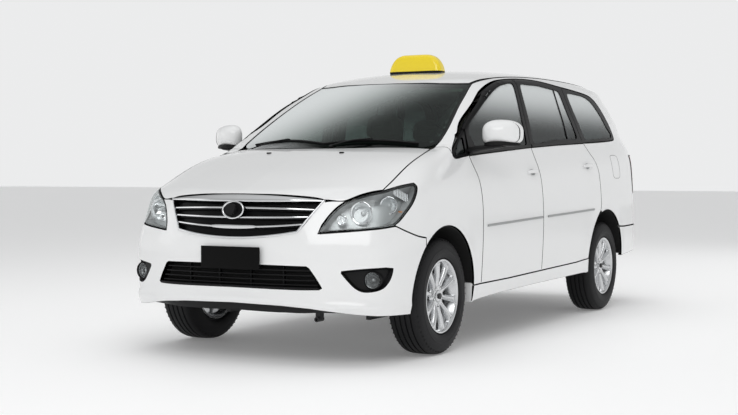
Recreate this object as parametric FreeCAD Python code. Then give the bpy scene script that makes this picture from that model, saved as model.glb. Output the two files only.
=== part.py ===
"""Seven-seat taxi cab: compact people carrier on a ladder frame, roof lamp on top.

Axes: +Z up, ground at z = 0, nose toward -Y, left side toward +X, x = 0 on the
centre plane, y = 0 at mid length.  Tables and driving dimensions are in metres;
everything is written in millimetres.
"""
import FreeCAD, Part
import math
import os

os.makedirs("parts", exist_ok=True)
V = FreeCAD.Vector

# ---- driving dimensions (m) -------------------------------------------------
AXLE_F = -1.485        # front axle, along y
AXLE_R = 1.265         # rear axle
TRACK = 0.755          # wheel centre, along x
TYRE_R = 0.324         # tyre outer radius
TYRE_W = 0.205         # tyre width
RIM_R = 0.2055         # rim flange radius
KING_X = 0.700         # steering axis, along x
ARCH_R = 0.385         # wheel arch radius
GAP = 0.006            # shut gap round doors and lids
WALL = 0.060           # door thickness, skin to trim
DEEP = 0.115           # sill, rail and pillar depth
GLASS = 0.005
HINGE_X = 0.876        # door hinge axes, along x
HINGE_F = -0.977       # front door hinge axis, along y
HINGE_R = 0.008        # rear door hinge axis
BONNET_HINGE = (-1.238, 1.150)     # y, z
GATE_HINGE = (1.981, 1.682)        # y, z


# ---- body shape ------------------------------------------------------------
def natural(pts):
    """Natural cubic spline through (position, value) pairs: knots, values, second derivatives."""
    xs = [float(p[0]) for p in pts]
    ys = [float(p[1]) for p in pts]
    n = len(xs)
    m = [0.0] * n
    c = [0.0] * n
    d = [0.0] * n
    for i in range(1, n - 1):
        h0, h1 = xs[i] - xs[i - 1], xs[i + 1] - xs[i]
        b = 2 * (h0 + h1) - h0 * c[i - 1]
        c[i] = h1 / b
        d[i] = (6 * ((ys[i + 1] - ys[i]) / h1 - (ys[i] - ys[i - 1]) / h0) - h0 * d[i - 1]) / b
    for i in range(n - 2, 0, -1):
        m[i] = d[i] - c[i] * m[i + 1]
    return xs, ys, m


# half width over height, at the doors
T_X = natural([(0.10, 0.800), (0.22, 0.840), (0.30, 0.858), (0.40, 0.868), (0.55, 0.8765), (0.68, 0.880), (0.80, 0.878), (0.92, 0.867), (1.02, 0.847), (1.10, 0.816), (1.175, 0.786), (1.30, 0.757), (1.45, 0.722), (1.58, 0.688), (1.64, 0.664), (1.70, 0.615), (1.78, 0.53)])
# how much of the belt's rise moves the section with it
T_B = natural([(0.0, 0.0), (0.70, 0.0), (0.85, 0.10), (1.0, 0.70), (1.10, 1.0), (1.20, 1.0), (1.32, 0.75), (1.5, 0.15), (1.6, 0.0), (1.9, 0.0)])
# plan taper at the nose and at the tail
T_TF = natural([(-2.5, 0.38), (-2.4, 0.29), (-2.25, 0.165), (-2.15, 0.098), (-2.07, 0.058), (-1.98, 0.028), (-1.90, 0.012), (-1.80, 0.004), (-1.60, 0.0), (-1.3, 0.0), (0.0, 0.0)])
T_TR = natural([(0.0, 0.0), (1.3, 0.0), (1.6, 0.003), (1.8, 0.012), (1.9, 0.021), (2.0, 0.037), (2.1, 0.065), (2.2, 0.108), (2.3, 0.17), (2.5, 0.33), (2.8, 0.62)])
T_SH = natural([(0.0, 0.0), (1.10, 0.0), (1.2, 0.02), (1.3, 0.06), (1.45, 0.13), (1.55, 0.24), (1.65, 0.30), (1.9, 0.34)])
# nose: centreline over height, and how it sweeps back over half width
T_F0 = natural([(0.10, -2.15), (0.20, -2.235), (0.27, -2.285), (0.33, -2.296), (0.40, -2.296), (0.53, -2.298), (0.62, -2.299), (0.70, -2.293), (0.80, -2.280), (0.87, -2.256), (0.93, -2.215), (1.0, -2.15), (1.1, -2.03)])
T_G5 = natural([(0, 0), (0.2, 0.003), (0.35, 0.014), (0.45, 0.030), (0.52, 0.053), (0.60, 0.090), (0.70, 0.140), (0.75, 0.173), (0.80, 0.225), (0.85, 0.33), (0.90, 0.50), (0.95, 0.72)])
T_G8 = natural([(0, 0), (0.2, 0.015), (0.375, 0.060), (0.487, 0.100), (0.58, 0.143), (0.65, 0.178), (0.73, 0.228), (0.80, 0.305), (0.85, 0.42), (0.90, 0.62), (0.95, 0.86)])
# tail
T_R0 = natural([(0.10, 2.10), (0.20, 2.165), (0.27, 2.218), (0.33, 2.250), (0.42, 2.281), (0.52, 2.297), (0.62, 2.299), (0.70, 2.288), (0.78, 2.272), (0.90, 2.262), (1.0, 2.252), (1.15, 2.224), (1.30, 2.181), (1.45, 2.125), (1.55, 2.085), (1.65, 2.045), (1.8, 1.98)])
T_GR = natural([(0, 0), (0.3, 0.006), (0.5, 0.020), (0.6, 0.036), (0.7, 0.070), (0.75, 0.105), (0.80, 0.170), (0.85, 0.30), (0.90, 0.52), (0.95, 0.80)])
# bonnet, windscreen and roof: centreline height along the car, and drop over half width
T_HC = natural([(-2.40, 0.820), (-2.238, 0.894), (-2.1, 0.948), (-1.95, 1.004), (-1.80, 1.054), (-1.65, 1.100), (-1.5, 1.136), (-1.38, 1.158), (-1.2, 1.184), (-0.9, 1.22)])
T_DH = natural([(0, 0), (0.3, 0.006), (0.5, 0.018), (0.6, 0.030), (0.7, 0.050), (0.75, 0.065), (0.80, 0.087), (0.88, 0.14), (0.95, 0.21)])
T_DK = natural([(-2.4, 1.4), (-2.2, 1.4), (-1.96, 1.4), (-1.75, 1.1), (-1.5, 0.85), (-1.2, 0.8), (-0.9, 0.8)])
T_WC = natural([(-1.7, 0.975), (-1.43, 1.135), (-1.2, 1.268), (-1.0, 1.380), (-0.8, 1.487), (-0.59, 1.585), (-0.4, 1.66), (-0.1, 1.76)])
T_DW = natural([(0, 0), (0.2, 0.010), (0.4, 0.042), (0.566, 0.083), (0.62, 0.097), (0.68, 0.108), (0.76, 0.116), (0.84, 0.130), (0.95, 0.16)])
T_RC = natural([(-0.9, 1.45), (-0.59, 1.580), (-0.4, 1.628), (-0.2, 1.664), (0.0, 1.688), (0.3, 1.712), (0.6, 1.728), (0.9, 1.737), (1.2, 1.738), (1.5, 1.728), (1.8, 1.703), (2.0, 1.678), (2.15, 1.655), (2.4, 1.61)])
T_DR = natural([(0, 0), (0.2, 0.005), (0.35, 0.016), (0.5, 0.036), (0.57, 0.050), (0.63, 0.067), (0.70, 0.093), (0.8, 0.15)])
T_DS = natural([(-1.0, 0.72), (-0.59, 0.78), (-0.3, 0.82), (0.0, 0.90), (0.5, 1.10), (0.9, 1.25), (1.5, 1.35), (2.2, 1.4), (2.5, 1.4)])


def sp(T, v):
    """Spline value at v, straight beyond both ends."""
    xs, ys, m = T
    n = len(xs)
    if v < xs[0]:
        s = (ys[1] - ys[0]) / (xs[1] - xs[0]) - (xs[1] - xs[0]) * m[1] / 6
        return ys[0] + s * (v - xs[0])
    if v > xs[n - 1]:
        s = (ys[n - 1] - ys[n - 2]) / (xs[n - 1] - xs[n - 2]) + (xs[n - 1] - xs[n - 2]) * m[n - 2] / 6
        return ys[n - 1] + s * (v - xs[n - 1])
    i = 0
    while i < n - 2 and v > xs[i + 1]:
        i += 1
    h = xs[i + 1] - xs[i]
    a = (xs[i + 1] - v) / h
    b = (v - xs[i]) / h
    return a * ys[i] + b * ys[i + 1] + ((a ** 3 - a) * m[i] + (b ** 3 - b) * m[i + 1]) * h * h / 6


def clip01(v):
    return min(max(v, 0.0), 1.0)


def absv(v):
    return abs(v)


def side_w(y, z):
    """Half width of the body at a point of the side view."""
    rise = 0.0535 * y - 0.01
    w = sp(T_X, z - rise * sp(T_B, z))
    return w - sp(T_TF, y) - sp(T_TR, y + sp(T_SH, z))


def nose_y(x, z):
    """Where the front face stands, at a point of the front view."""
    t = clip01((z - 0.55) / 0.30)
    t = t * t * (3 - 2 * t)
    a = absv(x)
    return sp(T_F0, z) + sp(T_G5, a) * (1 - t) + sp(T_G8, a) * t


def tail_y(x, z):
    return sp(T_R0, z) - sp(T_GR, absv(x))


def bonnet_z(x, y):
    return sp(T_HC, y) - sp(T_DH, absv(x)) * sp(T_DK, y)


def screen_z(x, y):
    return sp(T_WC, y) - sp(T_DW, absv(x))


def roof_z(x, y):
    return sp(T_RC, y) - sp(T_DR, absv(x)) * sp(T_DS, y)


# ---- geometry helpers -------------------------------------------------------
M = 1000.0


def skin(fn, us, vs):
    """Smooth face through a grid of points; fn gives metres."""
    rows = [[V(*[c * M for c in fn(u, v)]) for v in vs] for u in us]
    s = Part.BSplineSurface()
    s.interpolate(rows)
    return s.toShape()


def right_out(s):
    """Same solid with its faces looking outward."""
    if s.Volume < 0:
        s.reverse()
    return s


def steps(a, b, n):
    return [a + (b - a) * i / (n - 1.0) for i in range(n)]


SIDE = skin(lambda y, z: (side_w(y, z), y, z), steps(-2.36, 2.36, 60), steps(0.14, 1.78, 36))
NOSE = skin(lambda x, z: (x, nose_y(x, z), z), steps(-0.93, 0.93, 47), steps(0.14, 1.06, 22))
TAIL = skin(lambda x, z: (x, tail_y(x, z), z), steps(-0.93, 0.93, 47), steps(0.14, 1.78, 30))
BONNET = skin(lambda x, y: (x, y, bonnet_z(x, y)), steps(-0.93, 0.93, 41), steps(-2.38, -0.98, 30))
SCREEN = skin(lambda x, y: (x, y, screen_z(x, y)), steps(-0.93, 0.93, 41), steps(-1.62, -0.20, 26))
ROOF = skin(lambda x, y: (x, y, roof_z(x, y)), steps(-0.78, 0.78, 37), steps(-0.86, 2.36, 46))


def vec(x, y, z):
    return V(x * M, y * M, z * M)


def box(x0, x1, y0, y1, z0, z1):
    return Part.makeBox((x1 - x0) * M, (y1 - y0) * M, (z1 - z0) * M, vec(x0, y0, z0))


def moved(shape, x=0.0, y=0.0, z=0.0):
    s = shape.copy()
    s.translate(vec(x, y, z))
    return s


def mirror(shape):
    return shape.mirror(V(0, 0, 0), V(1, 0, 0))


def both(shape):
    return Part.makeCompound([shape, mirror(shape)])


def prism_x(pts, x0, x1):
    """Side-view outline (y, z) carried across from x0 to x1."""
    p = [vec(x0, a, b) for a, b in pts]
    return right_out(Part.Face(Part.makePolygon(p + [p[0]])).extrude(vec(x1 - x0, 0, 0)))


def prism_y(pts, y0, y1):
    p = [vec(a, y0, b) for a, b in pts]
    return right_out(Part.Face(Part.makePolygon(p + [p[0]])).extrude(vec(0, y1 - y0, 0)))


def prism_z(pts, z0, z1):
    p = [vec(a, b, z0) for a, b in pts]
    return right_out(Part.Face(Part.makePolygon(p + [p[0]])).extrude(vec(0, 0, z1 - z0)))


def splay(pts, x0=0.42, x1=0.98):
    """Side-view outline (y, z, k) whose edges slant: y moves by k for each unit inward from the skin."""
    def ring(x):
        return [vec(x, q[0] + q[2] * (x - side_w(q[0], q[1])), q[1]) for q in pts]
    r0, r1 = ring(x0), ring(x1)
    n = len(pts)
    faces = [Part.Face(Part.makePolygon(r + [r[0]])) for r in (r0, r1)]
    for i in range(n):
        j = (i + 1) % n
        if pts[i][2] == pts[j][2] == 0.0:
            quads = [[r0[i], r0[j], r1[j], r1[i]]]
        else:
            quads = [[r0[i], r0[j], r1[j]], [r0[i], r1[j], r1[i]]]
        faces += [Part.Face(Part.makePolygon(q + [q[0]])) for q in quads]
    return right_out(Part.Solid(Part.Shell(faces)))


def side_slab(d0, d1):
    """Left side wall, from depth d0 to depth d1 under the skin."""
    return right_out(moved(SIDE, x=-d0).extrude(vec(-(d1 - d0), 0, 0)))


def under(face, drop, deep=1.6):
    return right_out(moved(face, z=-drop).extrude(vec(0, 0, -deep)))


def above(face, rise=0.0, high=0.7):
    return right_out(moved(face, z=rise).extrude(vec(0, 0, high)))


def behind_nose(d):
    return right_out(moved(NOSE, y=d).extrude(vec(0, 2.4, 0)))


def ahead_of_tail(d):
    return right_out(moved(TAIL, y=-d).extrude(vec(0, -3.0, 0)))


def common(a, *more):
    for b in more:
        a = a.common(b)
    return a


def cut(a, *more):
    for b in more:
        a = a.cut(b)
    return a


def fuse(a, *more):
    a = a.multiFuse(list(more))
    return a.removeSplitter()


def main_solid(shape, keep=1):
    """The largest solids of a cut, slivers dropped."""
    s = sorted(shape.Solids, key=lambda q: -abs(q.Volume))[:keep]
    return s[0] if keep == 1 else Part.makeCompound(s)


def arc(cy, cz, r, a0, a1, n=13):
    return [(cy + r * math.cos(math.radians(a)), cz + r * math.sin(math.radians(a))) for a in steps(a0, a1, n)]


def inset(pts, d):
    """Closed outline moved inward by d (mitred); negative d moves it outward."""
    n = len(pts)
    area = sum(pts[i][0] * pts[(i + 1) % n][1] - pts[(i + 1) % n][0] * pts[i][1] for i in range(n))
    sgn = 1.0 if area > 0 else -1.0
    out = []
    for i in range(n):
        a, b, c = pts[i - 1], pts[i], pts[(i + 1) % n]
        e0 = (b[0] - a[0], b[1] - a[1])
        e1 = (c[0] - b[0], c[1] - b[1])
        l0, l1 = math.hypot(*e0), math.hypot(*e1)
        n0 = (-e0[1] / l0 * sgn, e0[0] / l0 * sgn)
        n1 = (-e1[1] / l1 * sgn, e1[0] / l1 * sgn)
        q = 1.0 + n0[0] * n1[0] + n0[1] * n1[1]
        q = max(q, 0.35)
        p = (b[0] + d * (n0[0] + n1[0]) / q, b[1] + d * (n0[1] + n1[1]) / q)
        out.append(p if len(b) < 3 else (p[0], p[1], b[2]))
    return out


def cyl_x(x0, x1, y, z, r):
    return Part.makeCylinder(r * M, (x1 - x0) * M, vec(x0, y, z), V(1, 0, 0))


def cyl_z(x, y, z0, z1, r):
    return Part.makeCylinder(r * M, (z1 - z0) * M, vec(x, y, z0), V(0, 0, 1))


def rod(a, b, r):
    a, b = vec(*a), vec(*b)
    d = b.sub(a)
    return Part.makeCylinder(r * M, d.Length, a, d)


def turned_x(pts, x, y, z):
    """Profile (offset along x, radius) spun about the axle line."""
    p = [V((x + a) * M, y * M, (z + b) * M) for a, b in pts]
    return right_out(Part.Face(Part.makePolygon(p + [p[0]])).revolve(vec(x, y, z), V(1, 0, 0), 360))


# ---- outlines in side view (y, z) or (y, z, slant) --------------------------
K = 0.30               # slant of the rear edges of the doors
BELT = [(-0.995, 1.112), (-0.82, 1.122), (-0.09, 1.167), (0.40, 1.192), (1.03, 1.217)]
ROOF_LINE = [(-0.9945, 1.278), (-0.7075, 1.453), (-0.5005, 1.547), (-0.2655, 1.597), (0.0085, 1.622)]
FRONT_DOOR = [(-0.9945, 0.372, 0.0), (-0.9945, 0.70, 0.0), (-0.9945, 1.00, 0.0), (-0.9945, 1.278, 0.0),
              (-0.7075, 1.453, 0.0), (-0.5005, 1.547, 0.0), (-0.2655, 1.597, 0.0),
              (-0.0260, 1.620, K), (-0.0245, 1.50, K), (-0.0190, 1.35, K), (-0.0100, 1.20, K), (-0.0140, 1.10, K),
              (-0.0260, 0.95, K), (-0.030, 0.80, K), (-0.030, 0.60, K), (-0.030, 0.372, K)]
REAR_DOOR = [(-0.024, 0.372, K), (-0.024, 0.60, K), (-0.024, 0.80, K), (-0.0200, 0.95, K), (-0.0080, 1.10, K),
             (-0.0040, 1.20, K), (-0.0130, 1.35, K), (-0.0185, 1.50, K), (-0.0200, 1.620, K),
             (0.3365, 1.626, 0.0), (0.55, 1.616, 0.0),
             (0.815, 1.602, K), (0.885, 1.42, K), (0.970, 1.235, K), (1.03, 1.16, K), (1.105, 1.07, K), (1.118, 0.98, K),
             (1.118, 0.86, K), (1.105, 0.757, K), (1.035, 0.705, K), (0.955, 0.634, K), (0.885, 0.53, K), (0.855, 0.44, K), (0.835, 0.372, K)]
FRONT_PANE = [(-0.925, 1.150), (-0.925, 1.265), (-0.680, 1.420), (-0.485, 1.510), (-0.260, 1.562), (-0.085, 1.580), (-0.068, 1.190), (-0.5, 1.166)]
REAR_PANE = [(0.058, 1.204), (0.036, 1.584), (0.34, 1.592), (0.60, 1.582), (0.738, 1.572), (0.880, 1.252), (0.45, 1.229)]
NOSE_PANE = [(-1.215, 1.128), (-1.035, 1.240), (-1.035, 1.136)]
TAIL_PANE = [(0.912, 1.562), (1.32, 1.551), (1.430, 1.533), (1.530, 1.470), (1.620, 1.372), (1.668, 1.290), (1.56, 1.262), (1.058, 1.245)]

# ---- door leaves ------------------------------------------------------------
door_wall = side_slab(0.0, WALL)
glass_wall = side_slab(0.014, 0.014 + GLASS)


def door(outline, pane, arch):
    leaf = door_wall.common(splay(outline))
    leaf = cut(leaf, prism_x(pane, 0.3, 1.0))
    if arch:
        leaf = leaf.cut(cyl_x(0.4, 1.0, AXLE_R, TYRE_R, 0.400))
    return main_solid(leaf.cut(roof_room))


ROOF_EDGE = [(-0.590, -0.470), (-0.606, -0.30), (-0.612, 0.2), (-0.612, 1.0), (-0.606, 1.6), (-0.592, 2.6)]
roof_room = prism_z(inset(ROOF_EDGE + [(-a, b) for a, b in reversed(ROOF_EDGE)], -0.008), 1.30, 1.85)
front_door = door(FRONT_DOOR, FRONT_PANE, False)
rear_door = door(REAR_DOOR, REAR_PANE, True)
front_pane = main_solid(glass_wall.common(prism_x(FRONT_PANE, 0.3, 1.0)))
rear_pane = main_solid(glass_wall.common(prism_x(REAR_PANE, 0.3, 1.0)))

# ---- body side --------------------------------------------------------------
SIDE_OUT = [(-0.9945 - GAP, 0.268), (0.85, 0.291)] + [(AXLE_R + 0.398 * math.cos(math.radians(a)), TYRE_R + 0.398 * math.sin(math.radians(a))) for a in (176, 160, 140, 120, 100, 80, 60, 40, 28)] + \
    [(1.68, 0.60), (2.35, 0.60), (2.35, 1.76), (-0.75, 1.76), (-1.40, 1.20), (-1.29, 1.098), (-0.9945 - GAP, 1.098)]
wall = side_slab(0.0, WALL + 0.002).common(prism_x(SIDE_OUT, 0.40, 1.0))
opening_f = splay(inset(FRONT_DOOR, -GAP))
opening_r = splay(inset(REAR_DOOR, -GAP))
wall = cut(wall, opening_f, opening_r, prism_x(TAIL_PANE, 0.3, 1.0), prism_x(NOSE_PANE, 0.3, 1.0))
SILL = [(-1.10, 0.285), (0.84, 0.300), (0.84, 0.350), (-1.10, 0.350)]
POST_A = [(-1.10, 0.29), (-1.012, 0.29), (-1.012, 1.283), (-0.715, 1.468), (-0.505, 1.563), (-0.268, 1.612), (0.0, 1.636), (0.336, 1.643), (0.80, 1.618),
          (1.14, 1.602), (1.42, 1.578), (1.575, 1.51), (1.672, 1.395), (1.75, 1.28), (2.35, 1.25), (2.35, 1.76), (-0.75, 1.76), (-1.36, 1.22), (-1.10, 1.10)]
POST_C = [(0.86, 0.29), (0.86, 0.44), (0.90, 0.53)] + [(AXLE_R + 0.398 * math.cos(math.radians(a)), TYRE_R + 0.398 * math.sin(math.radians(a))) for a in (150, 130, 110, 90, 70, 50, 30)] + \
    [(1.68, 0.62), (2.35, 0.62), (2.35, 1.27), (1.75, 1.27), (1.60, 1.225), (1.16, 1.212), (1.16, 0.80), (1.04, 0.73)]
inner = side_slab(WALL - 0.004, DEEP)
rail = inner.common(prism_x(POST_A, 0.35, 1.0))
rail = cut(rail, prism_x(TAIL_PANE, 0.3, 1.0), prism_x([(-1.01, 1.02), (-1.01, 1.125), (-1.24, 1.125), (-1.24, 1.02)], 0.3, 1.0))
sill = inner.common(prism_x(SILL, 0.35, 1.0))
quarter = cut(side_slab(WALL - 0.004, 0.085), opening_r).common(prism_x([(1.165, 0.76), (1.50, 0.70), (1.68, 0.64), (2.35, 0.64), (2.35, 1.26), (1.75, 1.262), (1.55, 1.228), (1.165, 1.205)], 0.35, 1.0))
B_POST = [(-0.105, 0.31), (0.055, 0.31), (0.055, 1.12), (0.048, 1.20), (0.034, 1.64), (-0.078, 1.64), (-0.072, 1.20), (-0.105, 1.10)]
post_b = side_slab(0.087, DEEP + 0.003).common(prism_x(B_POST, 0.35, 1.0))
C_POST = [(0.850, 1.64), (0.900, 1.64), (1.046, 1.215), (1.18, 1.19), (1.18, 0.70), (1.12, 0.65), (1.12, 1.06), (1.01, 1.20)]
post_c = cut(side_slab(WALL - 0.004, 0.100), opening_r).common(prism_x(C_POST, 0.35, 1.0))
GATE = [(-0.640, 0.615), (-0.668, 0.80), (-0.672, 1.00), (-0.650, 1.20), (-0.600, 1.42), (-0.560, 1.60), (-0.545, 1.74)]
GATE = GATE + [(-a, b) for a, b in reversed(GATE)]
gate_hole = prism_y(inset(GATE, -0.0095), 1.70, 2.5)
body_side = fuse(wall, rail, sill, post_b, post_c, quarter)
body_side = cut(body_side, above(ROOF), above(SCREEN)).common(ahead_of_tail(0.0))
roof_hole = prism_z(ROOF_EDGE + [(-a, b) for a, b in reversed(ROOF_EDGE)], 1.30, 1.85).cut(under(ROOF, 0.026))
SCREEN_EDGE = [(0.0, -0.592), (0.2, -0.578), (0.4, -0.538), (0.566, -0.484), (0.690, -1.150), (0.64, -1.205), (0.45, -1.300), (0.2, -1.378), (0.0, -1.400)]
SCREEN_EDGE = SCREEN_EDGE + [(-a, b) for a, b in reversed(SCREEN_EDGE[1:-1])]
screen_hole = prism_z(inset(SCREEN_EDGE, -0.0005), 0.9, 1.85).cut(under(SCREEN, 0.012))
body_side = cut(body_side, roof_hole, screen_hole, gate_hole)
body_side = main_solid(body_side)

# ---- roof, windscreen, fixed side glass ------------------------------------
roof_slab = right_out(ROOF.extrude(vec(0, 0, -0.025)))
roof_cut = inset([(-0.566, -0.4700)] + ROOF_EDGE[:-1] + [(-0.592, 1.976)] + [(0.592, 1.976)] + [(-a, b) for a, b in reversed(ROOF_EDGE[:-1])] + [(0.566, -0.4700), (0.40, -0.5250), (0.2, -0.5650), (0.0, -0.5790), (-0.2, -0.5650), (-0.40, -0.5250)], 0.0008)
roof_panel = main_solid(cut(common(roof_slab, prism_z(roof_cut, 1.2, 1.9)), above(SCREEN, 0.004)))
screen_slab = right_out(moved(SCREEN, z=-0.002).extrude(vec(0, 0, -0.009)))
windscreen = main_solid(cut(common(screen_slab, prism_z(inset(SCREEN_EDGE, 0.001), 0.9, 1.9)), above(ROOF, -0.002)))
tail_pane = main_solid(glass_wall.common(prism_x(TAIL_PANE, 0.3, 1.0)))
nose_pane = main_solid(glass_wall.common(prism_x(NOSE_PANE, 0.3, 1.0)))

# ---- bonnet, wings, lamps, nose --------------------------------------------
BONNET_EDGE = [(0.0, -2.225), (0.25, -2.208), (0.487, -2.158), (0.581, -2.112), (0.66, -2.040), (0.727, -1.963), (0.722, -1.80), (0.708, -1.60), (0.690, -1.40), (0.664, -1.255), (0.45, -1.345), (0.2, -1.425), (0.0, -1.445)]
BONNET_EDGE = BONNET_EDGE + [(-a, b) for a, b in reversed(BONNET_EDGE[1:-1])]
bonnet = main_solid(right_out(BONNET.extrude(vec(0, 0, -0.024))).common(prism_z(BONNET_EDGE, 0.6, 1.3)))
bonnet_hole = prism_z(inset(BONNET_EDGE, -GAP), 0.6, 1.4).cut(under(BONNET, 0.030))

COWL = [(0.610, -1.2215), (0.45, -1.3025), (0.2, -1.3805), (0.0, -1.4025)]
COWL = COWL + [(-a, b) for a, b in reversed(COWL[:-1])]
COWL = COWL + [(a, b - 0.032) for a, b in reversed(COWL)]
cowl = common(right_out(moved(SCREEN, z=-0.006).extrude(vec(0, 0, -0.022))), prism_z(COWL, 0.9, 1.4))
cowl = main_solid(cut(cowl, bonnet_hole))

LAMP_SIDE = [(-2.33, 0.702), (-2.05, 0.722), (-1.965, 0.738), (-1.770, 0.832), (-1.742, 0.920), (-1.765, 0.944), (-1.955, 0.912), (-2.10, 0.852), (-2.33, 0.80)]
LAMP_FRONT = [(0.489, 0.690), (0.583, 0.862), (0.74, 0.960), (0.95, 0.960), (0.95, 0.690)]
block = side_slab(0.0, 0.93)
shell_in = side_slab(0.026, 0.92)
lamp = common(block, prism_x(LAMP_SIDE, 0.2, 1.0), prism_y(LAMP_FRONT, -2.5, -1.6), behind_nose(0.0), under(BONNET, 0.0))
lamp = cut(lamp, bonnet_hole, common(side_slab(0.110, 0.9), behind_nose(0.110), box(0.2, 1.0, -2.4, -1.5, 0.5, 1.1)))
lamp = main_solid(lamp)

WING = [(-0.9945 - GAP, 0.268)] + [(-1.100, 0.267)] + arc(AXLE_F, TYRE_R, ARCH_R, -8, 116.5, 15) + \
    [(-1.96, 0.733), (-1.770, 0.824), (-1.737, 0.920), (-1.763, 0.950), (-1.957, 0.918), (-1.98, 0.909), (-1.98, 1.35), (-1.24, 1.35), (-1.30, 1.098), (-0.9945 - GAP, 1.096)]
wing = common(block, prism_x(WING, 0.40, 1.0), under(BONNET, 0.0))
wing = cut(wing, common(side_slab(0.028, 0.9), under(BONNET, 0.030)), bonnet_hole, box(0.3, 0.735, -1.975, -1.955, 0.9, 1.3))
wing = wing.cut(cyl_x(0.3, 1.0, AXLE_F, TYRE_R, ARCH_R))
wing = common(wing, box(0.58, 1.0, -2.2, -1.0, 0.2, 1.3))
wing = main_solid(wing)

BUMPER_SIDE = [(-2.36, 0.262), (-1.83, 0.262)] + [(AXLE_F + ARCH_R * math.cos(math.radians(a)), TYRE_R + ARCH_R * math.sin(math.radians(a))) for a in (185, 175, 160, 150, 140, 130, 118.5)] + \
    [(-1.963, 0.730), (-2.05, 0.718), (-2.36, 0.698)]
bumper = common(block, box(0.0, 1.0, -2.5, -1.5, 0.2, 0.8), prism_x(BUMPER_SIDE, -0.1, 1.0), behind_nose(0.0))
bumper = bumper.cut(common(side_slab(0.034, 0.95), behind_nose(0.034), box(-0.1, 1.0, -2.5, -1.5, 0.1, 0.9)))
GRILLE_EDGE = [(0.0, 0.664), (0.377, 0.698), (0.487, 0.866), (0.25, 0.884), (0.0, 0.889)]
INTAKE = [(0.0, 0.404), (0.519, 0.404), (0.448, 0.525), (0.0, 0.525)]
bumper = cut(bumper, prism_y(inset(GRILLE_EDGE, -0.001), -2.5, -1.9), prism_y([(-0.05, 0.404), (0.519, 0.404), (0.448, 0.525), (-0.05, 0.525)], -2.5, -1.9))
bumper = bumper.cut(cyl_x(0.3, 1.0, AXLE_F, TYRE_R, ARCH_R))
bumper = main_solid(bumper)
front_bumper = fuse(bumper, mirror(bumper))
gr = [(a, b) for a, b in GRILLE_EDGE] + [(-a, b) for a, b in reversed(GRILLE_EDGE[1:-1])]
grille = cut(common(right_out(moved(NOSE, y=0.004).extrude(vec(0, 0.040, 0))), prism_y(gr, -2.5, -1.9)), bonnet_hole)
it = INTAKE + [(-0.448, 0.525), (-0.519, 0.404)]
intake = common(right_out(moved(NOSE, y=0.036).extrude(vec(0, 0.012, 0))), prism_y(inset([(0.519, 0.404), (0.448, 0.525), (-0.448, 0.525), (-0.519, 0.404)], -0.012), -2.5, -1.9))
grille = Part.makeCompound([main_solid(grille), main_solid(intake)])

# ---- tail -------------------------------------------------------------------
rear_block = common(block, box(0.0, 1.0, 1.5, 2.5, 0.2, 0.612))
REAR_SIDE = [(2.36, 0.290), (1.655, 0.290), (1.662, 0.35)] + [(AXLE_R + 0.398 * math.cos(math.radians(a)), TYRE_R + 0.398 * math.sin(math.radians(a))) for a in (5, 15, 27)] + [(1.672, 0.592), (2.36, 0.592)]
rear_bumper = common(rear_block, prism_x(REAR_SIDE, -0.1, 1.0), ahead_of_tail(0.0))
rear_core = common(side_slab(0.0345, 0.93), box(-0.1, 1.0, 1.45, 2.5, 0.15, 0.9), ahead_of_tail(0.044))
rear_bumper = main_solid(rear_bumper.cut(rear_core))
rear_bumper = fuse(rear_bumper, mirror(rear_bumper))
gate_slab = right_out(TAIL.extrude(vec(0, -0.055, 0)))
GATE_PANE = [(-0.575, 1.205), (-0.535, 1.40), (-0.500, 1.545), (-0.30, 1.590), (0.30, 1.590), (0.500, 1.545), (0.535, 1.40), (0.575, 1.205), (0.3, 1.190), (-0.3, 1.190)]
tailgate = common(gate_slab, prism_y(GATE, 1.6, 2.5), under(ROOF, 0.0), box(-1, 1, 1.9825, 2.5, 0.5, 1.8).fuse(box(-1, 1, 1.7, 2.5, 0.5, 1.580)))
tailgate = cut(tailgate, prism_y(GATE_PANE, 1.6, 2.5))
tailgate = main_solid(tailgate)
gate_pane = main_solid(common(right_out(moved(TAIL, y=-0.010).extrude(vec(0, -GLASS, 0))), prism_y(GATE_PANE, 1.6, 2.5)))
LAMP_TAIL = [(0.688, 0.83), (0.692, 1.00), (0.675, 1.16), (0.95, 1.16), (0.95, 0.83)]
tail_lamp = common(block, box(0.3, 1.0, 1.93, 2.5, 0.84, 1.15), ahead_of_tail(0.0), prism_y(LAMP_TAIL, 1.5, 2.5))
tail_lamp = tail_lamp.cut(common(side_slab(0.050, 0.9), ahead_of_tail(0.060)))
tail_lamp = main_solid(tail_lamp)
body_side = main_solid(cut(body_side, common(box(0.3, 1.0, 1.9295, 2.5, 0.8395, 1.1505), prism_y(inset(LAMP_TAIL, -0.0005), 1.5, 2.5))))

# ---- floor, bulkhead, wheel housings ---------------------------------------
floor = box(-0.735, 0.735, -1.08, 0.83, 0.440, 0.458)
floor = fuse(floor, box(-0.44, 0.44, 0.82, 2.18, 0.440, 0.458), prism_z([(-0.735, 1.70), (0.735, 1.70), (0.735, 1.93), (0.62, 2.08), (0.44, 2.18), (-0.44, 2.18), (-0.62, 2.08), (-0.735, 1.93)], 0.440, 0.458))
bulk = box(-0.660, 0.660, -1.100, -1.078, 0.440, 1.080)
for s in (1, -1):
    x0, x1 = sorted((s * 0.440, s * 0.735))
    outer = cyl_x(x0, x1, AXLE_R, TYRE_R, 0.455).cut(cyl_x(x0 - 0.01 if s < 0 else x0 + 0.016, x1 - 0.016 if s < 0 else x1 + 0.01, AXLE_R, TYRE_R, 0.438))
    bulk = fuse(bulk, common(outer, box(-1, 1, 0.6, 1.9, 0.450, 1.0)))
floor = fuse(floor, bulk)
floor = main_solid(floor)

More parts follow.
